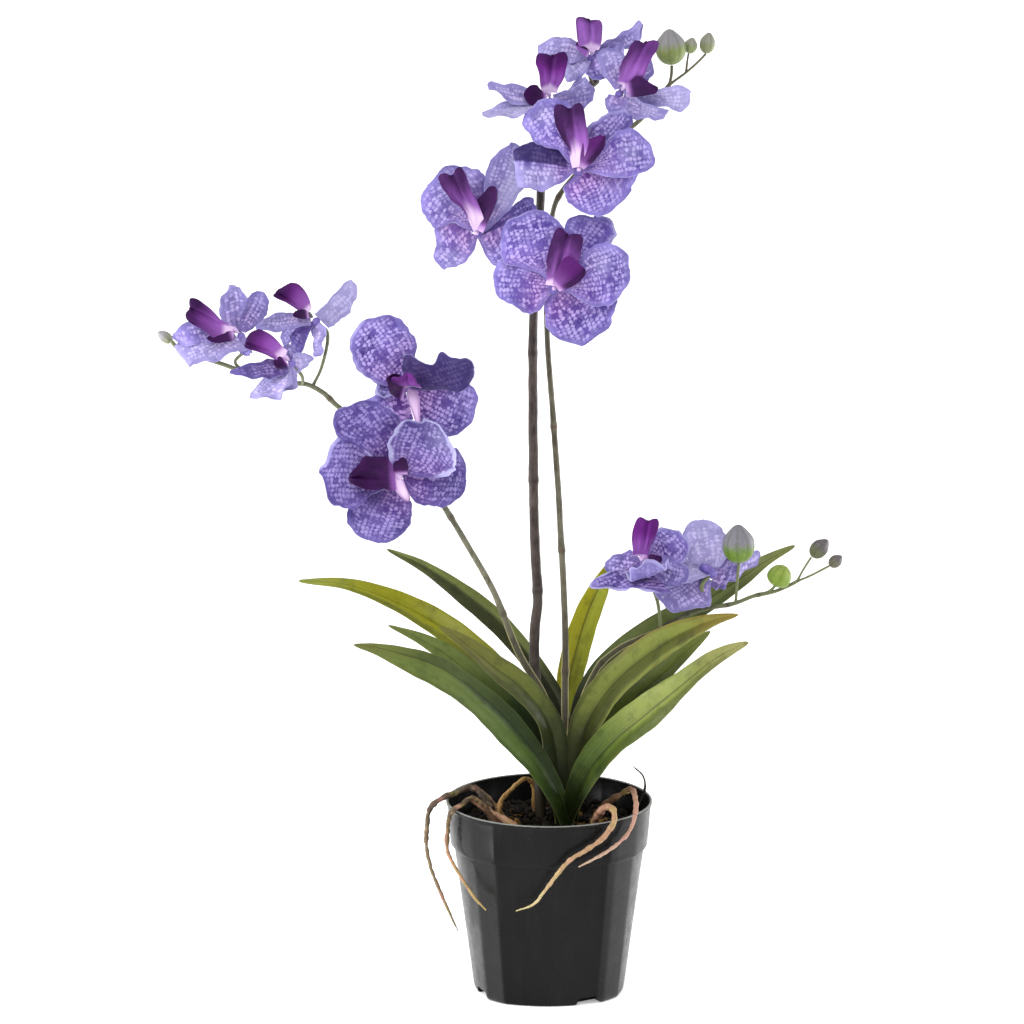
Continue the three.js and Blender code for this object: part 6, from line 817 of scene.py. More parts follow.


# how single petals differ: ruffle in mm, tone (dark, pale, pink: dark is partly the petal's own colour and partly
# painted shade, pale partly its own colour and partly painted light), fold of the end in mm, notch, half (which side is
# dark: 1 right of the axis, -1 left; darkness, paleness of the other side: painted shade on one half of the fold and
# painted light on the other), rim (width in mm, strength, side or 0 for both), sheen and shade (share of the length,
# side to side, radius in mm, strength: a painted highlight and a painted shadow)
STYLE = {
    ("flower_01", 0): dict(ruffle=1.1, tone=(0, 0, 0.2), notch=0.02, shade=[(0.85, -0.55, 9, 0.5)]),
    ("flower_01", 1): dict(ruffle=1.0, tone=(0, 0, 0.6), shade=[(0.6, -0.9, 6, 0.3)]),
    ("flower_01", 2): dict(ruffle=1.2, tone=(0.1, 0, 0.7), shade=[(0.75, 0.6, 8, 0.3)]),
    ("flower_01", 3): dict(ruffle=1.7, tone=(0, 0, 0.2), notch=0.03, sheen=[(0.62, -0.4, 7, 0.25)]),
    ("flower_01", 4): dict(ruffle=1.0, tone=(0.1, 0, 0), rim=(2.2, 0.8, 1)),
    ("flower_02", 0): dict(ruffle=1.2, tone=(0, 0.12, 0.4), notch=0.03, widen=(3.2, 3.0), sheen=[(0.75, 0.3, 8, 0.3)]),
    ("flower_02", 1): dict(ruffle=1.0, tone=(0.0, 0.1, 0.8), widen=(2.5, 2.2), sheen=[(0.7, 0.0, 8, 0.35)]),
    ("flower_02", 2): dict(ruffle=1.2, tone=(0, 0.35, 0.1), half=(-1, 0.0, 0.8)),
    ("flower_02", 3): dict(ruffle=0.8, tone=(0.3, 0, 0.4)),
    ("flower_02", 4): dict(ruffle=0.9, tone=(0.0, 0.12, 0.9)),
    ("flower_03", 0): dict(ruffle=1.1, tone=(0.05, 0, 0.2), sheen=[(0.8, 0.2, 7, 0.3)]),
    ("flower_03", 1): dict(ruffle=1.2, tone=(0.1, 0, 0.2), half=(1, 1.0, 0.35)),
    ("flower_03", 2): dict(ruffle=1.4, tone=(0, 0, 0.8)),
    ("flower_03", 3): dict(ruffle=1.5, tone=(0, 0, 0.1), sheen=[(0.7, -0.3, 7, 0.3)]),
    ("flower_03", 4): dict(ruffle=1.0, tone=(0.35, 0, 0), rim=(2.0, 0.35, -1)),
    ("flower_04", 0): dict(ruffle=1.5, tone=(0, 0.35, 0), half=(1, 0.0, 0.2)),
    ("flower_04", 1): dict(ruffle=0.8, tone=(0, 0.75, 0)),
    ("flower_04", 2): dict(ruffle=0.8, tone=(0.3, 0, 0.2)),
    ("flower_04", 3): dict(ruffle=1.2, tone=(0, 0.35, 0), sheen=[(0.8, 0, 6, 0.4)]),
    ("flower_04", 4): dict(ruffle=0.8, tone=(0.15, 0.3, 0)),
    ("flower_05", 0): dict(ruffle=1.2, tone=(0, 0.45, 0.1)),
    ("flower_05", 1): dict(ruffle=0.8, tone=(0.0, 0.6, 0.1)),
    ("flower_05", 2): dict(ruffle=0.8, tone=(0.25, 0.1, 0.4)),
    ("flower_05", 3): dict(ruffle=0.8, tone=(0.2, 0.1, 0.1), shade=[(0.5, 0, 5, 0.5)]),
    ("flower_05", 4): dict(ruffle=1.2, tone=(0.1, 0.25, 0)),
    ("flower_06", 0): dict(ruffle=1.0, tone=(0, 0.3, 0.1)),
    ("flower_06", 1): dict(ruffle=0.8, tone=(0.2, 0.2, 0)),
    ("flower_06", 2): dict(ruffle=1.2, tone=(0, 0.65, 0)),
    ("flower_06", 3): dict(ruffle=0.8, tone=(0.05, 0.4, 0)),
    ("flower_06", 4): dict(ruffle=0.8, tone=(0.1, 0.2, 0.3)),
    ("flower_07", 0): dict(ruffle=1.1, tone=(0.62, 0, 0.7)),
    ("flower_07", 1): dict(ruffle=1.4, tone=(0.6, 0, 0.4), rim=(2.2, 0.55, 1)),
    ("flower_07", 2): dict(ruffle=1.3, tone=(0.55, 0, 0.7), shade=[(0.35, 0.6, 8, 0.4)]),
    ("flower_07", 3): dict(ruffle=1.8, longer=1.07, tone=(0.55, 0, 0.1), notch=0.06, sheen=[(0.75, 0.6, 8, 0.3)], rim=(2.4, 1.0, 0), turned=2.2),
    ("flower_07", 4): dict(ruffle=1.3, tone=(0.6, 0, 0.6)),
    ("flower_08", 0): dict(ruffle=1.0, tone=(0.25, 0, 0.3), rim=(1.6, 0.5, -1)),
    ("flower_08", 1): dict(ruffle=2.9, tone=(1.0, 0, 0), notch=0.05, shade=[(0.3, 0, 14, 0.5)]),
    ("flower_08", 2): dict(ruffle=1.2, tone=(0.32, 0, 1.0), widen=(4.0, 4.0)),
    ("flower_08", 3): dict(ruffle=0.9, tone=(0.5, 0, 0.3), rim=(2.0, 0.8, 0)),
    ("flower_08", 4): dict(ruffle=0.9, tone=(0.3, 0, 1.0), widen=(2.5, 2.5)),
    ("flower_09", 0): dict(ruffle=0.9, tone=(0.1, 0.3, 0), rim=(1.6, 0.4, 0)),
    ("flower_09", 1): dict(ruffle=1.0, tone=(0.35, 0.1, 0), half=(-1, 0.5, 0.15)),
    ("flower_09", 2): dict(ruffle=1.2, tone=(0.1, 0.15, 0)),
    ("flower_09", 3): dict(ruffle=1.2, tone=(0, 0.45, 0)),
    ("flower_09", 4): dict(ruffle=0.8, tone=(0.3, 0.2, 0)),
    ("flower_10", 0): dict(ruffle=1.1, tone=(0, 0.8, 0)),
    ("flower_10", 1): dict(ruffle=1.0, tone=(0.1, 0.35, 0.1), rim=(1.8, 0.5, 1)),
    ("flower_10", 2): dict(ruffle=0.9, tone=(0.55, 0, 0)),
    ("flower_10", 3): dict(ruffle=0.8, tone=(0.15, 0.4, 0)),
    ("flower_10", 4): dict(ruffle=0.8, tone=(0.2, 0.25, 0)),
    ("flower_11", 0): dict(ruffle=1.0, tone=(0.6, 0, 0)),
    ("flower_11", 1): dict(ruffle=1.0, tone=(0, 0.55, 0)),
    ("flower_11", 2): dict(ruffle=1.1, tone=(0, 0.55, 0)),
    ("flower_11", 3): dict(ruffle=0.9, tone=(0.1, 0.5, 0)),
    ("flower_11", 4): dict(ruffle=0.8, tone=(0.4, 0.1, 0)),
    ("flower_12", 0): dict(ruffle=1.1, tone=(0.25, 0, 0.1), rim=(1.6, 0.5, 0)),
    ("flower_12", 1): dict(ruffle=1.4, tone=(0.38, 0.1, 0)),
    ("flower_12", 2): dict(ruffle=1.0, tone=(0.5, 0, 0), rim=(1.6, 0.9, 0)),
    ("flower_12", 3): dict(ruffle=3.0, tone=(0.45, 0, 0.2), rim=(1.5, 0.9, 0), turned=1.2, widen=(2.5, 2.5), face=(-0.22, -0.12, 0.96)),
    ("flower_12", 4): dict(ruffle=1.0, tone=(0.48, 0.1, 0), widen=(2.0, 2.5)),
    ("flower_13", 0): dict(ruffle=1.8, tone=(0, 0.7, 0), widen=(2, 2), shade=[(0.6, 0.8, 7, 0.4)]),
    ("flower_13", 1): dict(ruffle=1.6, tone=(0.0, 0.8, 0), rim=(2.0, 0.8, 0), widen=(2.5, 2.5)),
    ("flower_13", 2): dict(ruffle=1.6, tone=(0.4, 0.25, 0), widen=(2.5, 2.5)),
    ("flower_13", 3): dict(ruffle=1.4, tone=(0.45, 0.1, 0), widen=(2.5, 2.5)),
    ("flower_13", 4): dict(ruffle=1.4, tone=(0.38, 0.3, 0), widen=(2.5, 2.5)),
}


def petal(piece, heart, facing, row, style, seed):
    rng = np.random.default_rng(seed)
    base, tip = np.array(row["base"], float), np.array(row["tip"], float)
    out = unit(tip - heart)
    lay = float(np.dot(base - heart - out * 2.3, facing))
    along = unit(tip - base)
    length = np.linalg.norm(tip - base) * style.get("longer", 1.0)
    face = np.asarray(style.get("face", row["normal"]), float)
    face = unit(face - along * np.dot(face, along))
    side = np.cross(along, face)
    s = np.concatenate([np.linspace(0, 0.55, 17), 0.55 + 0.45 * np.sin(np.linspace(0, np.pi / 2, 19))[1:]])
    v = np.sin(np.linspace(-1, 1, 31) * 1.25) / np.sin(1.25)
    S, Vv = np.meshgrid(s, v, indexing="ij")
    lo, hi = margin(row["left"], s), margin(row["right"], s)
    more_lo, more_hi = style.get("widen", (0, 0))
    low = np.sin(np.pi * np.clip(s / 0.7, 0, 1)) ** 1.5
    lo, hi = lo + more_lo * low, hi + more_hi * low
    half = np.where(Vv < 0, lo[:, None], hi[:, None])
    full = max(row["left"]) + max(row["right"])
    ruffle = style.get("ruffle", 1.1)
    p = rng.uniform(0, 2 * np.pi, 10)
    k = rng.uniform(2.0, 3.4, 4)
    right = (Vv > 0).astype(float)
    av = np.abs(Vv)
    f = half / (full / 2)
    grow = 1 + av**3 * (0.030 * np.sin(2 * np.pi * k[0] * S + p[0] + right * 2) + 0.018 * np.sin(2 * np.pi * 7.3 * S + p[1] + right))
    ending = smooth(S, 0.75, 1.0)
    Y = Vv * half * grow
    X = length * S - length * ending * (style.get("notch", 0.012) * np.exp(-((Y / (0.16 * full)) ** 2)) + 0.012 * np.sin(14 * Y / full + p[2]))
    Z = 4 * row["bow"] * length * S * (1 - S) - row["curl"] * length * np.maximum(0, (S - 0.55) / 0.45) ** 2 + row["cup"] * Vv**2 * (lo + hi)[:, None]
    Z = Z + 1.25 * ruffle * av**2.2 * np.minimum(f, 1.2) * smooth(S, 0.1, 0.5) * np.sin(2 * np.pi * (k[1] * S + 0.05 * np.sin(5 * S)) + p[4] + right * 2.1)
    Z = Z + ruffle * 0.7 * ending**1.3 * np.sin(7.5 * Y / full + p[5])
    Z = Z + 1.1 * np.sin(2.2 * S * np.pi + p[6]) * np.sin(1.7 * Vv + p[7]) * smooth(S, 0.1, 0.5)
    # fine crumpling, ridges along the veins and a soft crease along the middle one
    Z = Z + 0.16 * np.sin(2 * np.pi * Y / VEIN_GAP * 0.9 + p[8]) * smooth(S, 0.05, 0.3) * (1 - 0.6 * ending)
    Z = Z - 0.55 * np.exp(-((Y / 1.6) ** 2)) * (1 - smooth(S, 0.5, 0.95))
    edge = depth_inside(X, Y)
    edge = np.where(S < 0.12, np.maximum(edge, 2.5 * (1 - S / 0.12)), edge)
    turned = style.get("turned", 0.0)
    Z = Z + turned * np.exp(-edge / 1.6) * smooth(S, 0.15, 0.4) + 0.35 * np.exp(-edge / 0.9) * np.sin(2 * np.pi * k[2] * S + p[9])
    Z = Z + style.get("fold", 0.0) * smooth(S, 0.6, 1.0)
    mid = base + along * X[..., None] + side * Y[..., None] + face * Z[..., None] + facing * (lay * 1.5 * (1 - 0.5 * S))[..., None]
    thick = lerp(0.15, 0.36, smooth(edge, 0, 3))
    spread_lo, spread_hi = np.maximum.accumulate(lo), np.maximum.accumulate(hi)
    spread = np.where(Vv < 0, spread_lo[:, None], spread_hi[:, None])
    rows = np.where(Vv < 0, max(row["left"]), max(row["right"])) / VEIN_GAP
    fan = np.stack([np.hypot(length * S, 0.7 * Y) / SPOT_GAP + seed % 17, Y / spread * rows + 0.5 + seed % 5], -1)
    rim = np.stack([edge, S], -1)
    # the tone's dark is partly the petal's own darker colour and partly painted shade; its pale partly its own paler
    # colour and partly painted light
    dark, pale, pink = style.get("tone", (0.1, 0.05, 0.3))
    D, L, K = (np.full(S.shape, float(q)) for q in (dark, pale, pink))
    # half: painted shade on one half of a folded petal and painted light on the other
    if "half" in style:
        sign, more, other = style["half"]
        D = np.maximum(D, more * smooth(Vv * sign, -0.08, 0.12) * smooth(S, 0.02, 0.2))
        L = np.maximum(L, other * smooth(-Vv * sign, 0.0, 0.3) * smooth(S, 0.15, 0.4))
    # sheen: painted highlights
    for s0, v0, r, strength in style.get("sheen", ()):
        L = np.maximum(L, strength * np.exp(-(((S - s0) * length / r) ** 2) - ((Y - v0 * full / 2) / r) ** 2))
    # shade: painted shadows where petals overlap or fold
    for s0, v0, r, strength in style.get("shade", ()):
        D = np.maximum(D, D + strength * np.exp(-(((S - s0) * length / r) ** 2) - ((Y - v0 * full / 2) / r) ** 2))
    if "rim" in style:
        wide, strength, which = style["rim"]
        on = smooth(S, 0.12, 0.3) * (1 if which == 0 else smooth(Vv * which, 0.0, 0.3))
        wide = wide * (1 + 0.35 * np.sin(2 * np.pi * 2.7 * S + p[3]))
        L = np.maximum(L, strength * (1 - smooth(edge, wide * 0.55, wide)) * on)
        D = D * (1 - (1 - smooth(edge, wide * 0.55, wide)) * on)
    tint = np.stack([np.clip(D, 0, 1), np.clip(L, 0, 1), np.clip(K, 0, 1), np.ones(S.shape)], -1)
    sheet_solid(piece, mid, thick, fan, rim, tint)


# lips: lean (which side is dark: 1 right of the axis, -1 left; the dark side is painted shade on the shaded half of the
# folded lip), how dark, how dark the end is, reach of the white base, mauve (0 plum to 1 mauve), darkness all over; for
# each side lobe its kind (a 'half' lobe is painted shade on one side) and how much wider it is on the left and on the
# right; its lift in mm; width of the column
LIPS = {
    "flower_01": dict(calyx=8.5, lean=-1, much=0.85, end=0.9, white=0.14, mauve=0.8, deep=0.45, lobes=["half"], spread=[(2.0, 1.1)], lift=1.8),
    "flower_02": dict(lean=-1, much=0.65, end=0.88, white=0.4, mauve=0.85, lobes=["dark"], spread=[(1.2, 1.0)]),
    "flower_03": dict(calyx=7.0, lean=-1, much=0.95, end=0.9, white=0.36, mauve=0.85, deep=0.5, lobes=["half"], spread=[(1.3, 1.0)]),
    "flower_04": dict(lean=-1, much=0.4, end=0.85, white=0.2, mauve=0.45, lobes=["dark"]),
    "flower_05": dict(lean=1, much=0.3, end=0.9, white=0.22, mauve=0.95, late=True, lobes=["half"]),
    "flower_06": dict(lean=-1, much=0.85, end=0.6, white=0.05, mauve=0.78, lobes=["dark"]),
    "flower_07": dict(lean=-1, much=0.7, end=0.97, white=0.02, mauve=0.15, all=0.94, lobes=["dark", "white"], spread=[(1.4, 1.4), (0.7, 0.7)], column=4.6),
    "flower_08": dict(lean=-1, much=0.6, end=0.2, white=0.08, mauve=0.6, lobes=["dark", "white"], spread=[(1.3, 1.3), (0.75, 0.62)]),
    "flower_09": dict(lean=-1, much=0.6, end=0.95, white=0.2, mauve=0.7, lobes=["dark"]),
    "flower_10": dict(lean=-1, much=0.6, end=0.9, white=0.14, mauve=0.25, lobes=["dark"]),
    "flower_11": dict(lean=-1, much=0.5, end=0.9, white=0.2, mauve=0.6, lobes=["dark"]),
    "flower_12": dict(lean=1, much=0.6, end=0.5, white=0.05, mauve=0.5, lobes=["dark"], column=5.5),
    # flower_13's wide calyx is a violet body filling the shaded gap at its heart: painted shade
    "flower_13": dict(calyx=13.0, shift=(-1.2, 0.0, 1.4), lean=-1, much=0.5, end=0.5, white=0.2, mauve=0.5, lobes=["dark"]),
}


def lip(piece, row, seed, style, kind=None, spread=(1.0, 1.0)):
    rng = np.random.default_rng(seed + 1000)
    base, tip = np.array(row["base"], float), np.array(row["tip"], float)
    along = unit(tip - base)
    length = np.linalg.norm(tip - base)
    face = np.asarray(row["normal"], float)
    face = unit(face - along * np.dot(face, along))
    side = np.cross(along, face)
    s = np.concatenate([np.linspace(0, 0.8, 22), 0.8 + 0.2 * np.sin(np.linspace(0, np.pi / 2, 11))[1:]])
    v = np.linspace(-1, 1, 25)
    S, Vv = np.meshgrid(s, v, indexing="ij")
    av = np.abs(Vv)
    p = rng.uniform(0, 2 * np.pi, 4)
    lo, hi = margin(row["left"], s) * spread[0], margin(row["right"], s) * spread[1]
    half = np.where(Vv < 0, lo[:, None], hi[:, None])
    full = max(lo) + max(hi)
    ending = smooth(S, 0.8, 1.0)
    X = length * S
    Y = Vv * half
    D, W = np.zeros(S.shape), np.zeros(S.shape)
    M = np.full(S.shape, float(style.get("mauve", 0.4)))
    if kind:
        Z = 0.06 * full * np.sin(np.pi * S) + 0.08 * full * Vv**2 - 0.05 * length * S**2 + 0.3 * np.sin(7 * S + p[0]) * av**2
        if kind == "white":
            W = 0.9 * (1 - 0.3 * smooth(S, 0.6, 1.0)) * (1 - 0.55 * smooth(av, 0.4, 1.0))
        else:
            D = 0.95 * smooth(S, 0.05, 0.3)
            W = 0.5 * (1 - smooth(S, 0.0, 0.2))
            Z = Z + style.get("lift", 0.0) * smooth(S, 0.0, 0.35)
            # a 'half' lobe: lighter on one side, painted shade on the other
            if kind == "half":
                low = style.get("deep", 0.0)
                D = D * (low + (1 - low) * smooth(Vv + 0.25 * S, -0.2, 0.45 if low else 0.25))
                M = np.full(S.shape, 0.3 if low else 1.0)
    else:
        at = np.minimum(av, 1.15 * np.abs(Y) / (full / 2))
        Z = 4 * row["bow"] * length * S * (1 - S) + row["cup"] * Vv**2 * (lo + hi)[:, None]
        Z = Z - 0.06 * full * np.exp(-((Vv / 0.16) ** 2)) * smooth(S, 0.2, 0.6)  # groove
        Z = Z + 0.04 * full * np.exp(-(((av - 0.34) / 0.14) ** 2)) * smooth(S, 0.1, 0.4)  # two keels
        Z = Z - 0.13 * full * np.maximum(0, at - 0.6) * 2 * smooth(S, 0.35, 0.9)  # margins turned back
        Z = Z + 0.45 * np.sin(9 * S + p[0] + (Vv > 0) * 2) * av**3
        Z = Z - 0.05 * length * ending * at
        X = X - length * ending * 0.085 * np.exp(-((Y / (0.17 * full)) ** 2))
        # darker towards the end, the lip's own plum, and on the lean side, painted shade on the shaded half of the fold
        D = style["much"] * smooth(0.8 * S + 0.55 * Vv * style["lean"] + 0.04 * np.sin(6 * S + p[2]), 0.22, 0.95) * smooth(S, 0.05, 0.3)
        D = np.maximum(D, style.get("all", 0.0) * smooth(S, 0.05, 0.2))
        D = np.maximum(D, style["end"] * smooth(S + 0.06 * np.sin(4 * Vv + p[1]), 0.72 if style.get("late") else 0.38, 1.0 if style.get("late") else 0.88))
        D = np.maximum(D, 0.55 * smooth(av, 0.75, 1.0) * smooth(S, 0.2, 0.5))
        # a dark line along the middle groove: painted shade
        D = np.maximum(D, 0.35 * np.exp(-((Vv / 0.12) ** 2)) * smooth(S, 0.3, 0.6))
        reach = style["white"] * (1.25 - 0.6 * av)
        W = 1 - smooth(S, reach * 0.45, reach * 1.25)
    mid = base + along * X[..., None] + side * Y[..., None] + face * Z[..., None]
    edge = np.maximum(av, smooth(S, 0.9, 1.0))
    thick = lerp(0.75, 0.3, np.clip(edge, 0, 1) ** 2)
    fan = np.stack([S * length / 20, Vv], -1)
    rim = np.stack([S, edge], -1)
    tint = np.stack([np.clip(D, 0, 1), np.clip(W, 0, 1), M, np.ones(S.shape)], -1)
    sheet_solid(piece, mid, thick, fan, rim, tint, 0, 0)


for number, (name, fl) in enumerate(FLOWERS.items()):
    heart, facing = np.array(fl["centre"]), unit(fl["facing"])
    body = Piece("look_" + name + "_petals")
    for i, row in enumerate(fl["petals"]):
        petal(body, heart, facing, row, STYLE.get((name, i), {}), 37 * number + 5 * i + 3)
    seat = heart + np.array(LIPS[name].get("shift", (0.0, 0.0, 0.0)))
    egg(body, seat - facing * 3.8, seat + facing * 1.2, LIPS[name].get("calyx", 5.2), mat=2, rings=14, sides=24, belly=0.5)
    body.build([PETAL, PETAL_BACK, CALYX], [name + "_petals"], 60)
    front = Piece("look_" + name + "_lip")
    style = LIPS[name]
    lip(front, fl["lip"], number, style)
    for i, row in enumerate(fl["lobes"]):
        lip(front, row, number * 3 + i + 50, style, style["lobes"][i], style.get("spread", [(1.0, 1.0)] * 2)[i])
    egg(front, heart + facing * 2.2, heart + facing * 7.6, style.get("column", 2.7), mat=1, rings=16, sides=24, belly=0.62)
    front.build([LIP, HOOK if name == "flower_10" else COLUMN], [name + "_lip"], 60)

# ---- buds ----
BUD_LOOKS = {
    "bud_top_large": ((106, 118, 64), (122, 120, 124), 0.55, (72, 82, 45)),
    "bud_top_small": ((124, 134, 92), (132, 132, 122), 0.55, (88, 94, 64)),
    "bud_top_end": ((118, 124, 90), (126, 126, 114), 0.5, (84, 88, 62)),
    "bud_right_large": ((90, 116, 34), (108, 106, 114), 0.45, (58, 74, 24)),
    "bud_right_green": ((108, 130, 44), (120, 138, 56), 0.6, (68, 90, 27)),
    "bud_right_grey": ((82, 86, 58), (84, 80, 82), 0.5, (56, 58, 44)),
    "bud_right_end": ((90, 88, 70), (88, 82, 84), 0.5, (62, 60, 50)),
    "bud_left_end": ((130, 134, 110), (136, 132, 138), 0.5, (98, 100, 84)),
}
for name, (base, tip, width) in BUDS.items():
    b = Piece("look_" + name)
    base, tip = np.array(base), np.array(tip)
    round_bud = name == "bud_right_green"
    egg(b, base, tip, width * 1.02, ribs=9 if width > 12 else 7, rib=0.035 if width > 12 else 0.03, belly=0.4 if round_bud else 0.44, point=0.0 if round_bud else 0.28, rings=26, sides=72)
    b.build([bud_look(name + "_skin", *BUD_LOOKS[name])], [name], 60)

# ---- spikes ----
SPIKE_LOOKS = {
    "main_spike": ((38, 30, 28), (66, 56, 52), (30, 22, 20), (56, 50, 42)),
    "second_spike": ((58, 55, 42), (92, 88, 72), (78, 50, 44), (92, 92, 68)),
    "left_spike": ((68, 68, 50), (106, 104, 86), (66, 52, 46), (104, 108, 78)),
    "right_spike": ((56, 58, 38), (86, 88, 62), (60, 48, 40), (104, 112, 74)),
}
JOINTS = {"main_spike": (0.16, 0.33, 0.47, 0.63, 0.74, 0.84), "second_spike": (0.22, 0.37, 0.52, 0.66, 0.8, 0.9), "left_spike": (0.2, 0.36, 0.52, 0.64, 0.76, 0.86), "right_spike": (0.3, 0.48, 0.6, 0.72, 0.82, 0.9)}
for name, sp in SPIKES.items():
    b = Piece("look_" + name)
    path = spline(sp["path"], 1.6)
    n = len(path)
    share = np.linspace(0, 1, n)
    total = 1.6 * n
    radius = lerp(sp["r"][0], sp["r"][1], share)
    tint = np.zeros((n, 4))
    for j in JOINTS[name]:
        d = (share - j) * total
        radius = radius + 0.45 * np.exp(-((d / 2.2) ** 2)) * radius / (5 if name == "main_spike" else 2) + 0.05 * radius * np.exp(-(((d - 4) / 5) ** 2))
        tint[:, 0] += 0.75 * np.exp(-((d / 1.3) ** 2))
    tint[:, 2] = smooth(share, 0.6, 1.0) * 0.8
    if name != "main_spike":
        tint[:, 3] = 0.7 * (1 - smooth(path[:, 2], 215, 265))
    else:
        tint[:, 3] = 0.9 * (1 - smooth(path[:, 2], 118, 150)) + 0.3 * smooth(path[:, 2], 118, 150) * (1 - smooth(path[:, 2], 220, 330))
    tube(b, path, radius, 16, 0, np.clip(tint, 0, 1), knob=0.07, knob_size=7.0)
    for line, (r0, r1) in sp["stalks"]:
        q = spline(line, 1.0)
        m = np.linspace(0, 1, len(q))
        t = np.zeros((len(q), 4))
        t[:, 2] = 0.6 + 0.4 * m
        t[:, 0] = 0.5 * np.exp(-((m / 0.06) ** 2))
        tube(b, q, lerp(r0, r1, m) * (1 + 0.35 * np.exp(-((m / 0.08) ** 2))), 12, 0, np.clip(t, 0, 1), knob=0.08, knob_size=3.0)
    # pale sheath margins that meet in a V low on the spike
    low, high = {"main_spike": (0, 0), "second_spike": (150, 225), "left_spike": (168, 245), "right_spike": (160, 232)}[name]
    if high:
        keep = (path[:, 2] > low) & (path[:, 2] < high)
        q, rr, sh = path[keep], radius[keep], share[keep]
        if len(q) > 6:
            t, u, w = frames(q)
            g = np.linspace(0, 1, len(q))
            for sign in (-1, 1):
                a = sign * lerp(0.25, 1.15, smooth(g, 0, 0.45))
                line = q + (u * np.cos(a)[:, None] + w * np.sin(a)[:, None]) * (rr * 1.03)[:, None]
                tt = np.zeros((len(q), 4))
                tt[:, 1] = 0.85
                tube(b, line, np.full(len(q), 0.38) * (1 - 0.6 * smooth(g, 0.85, 1.0)), 8, 0, tt, knob=0.1, knob_size=2.0)
    b.build([stem_look(name + "_skin", *SPIKE_LOOKS[name])], [name], 60)

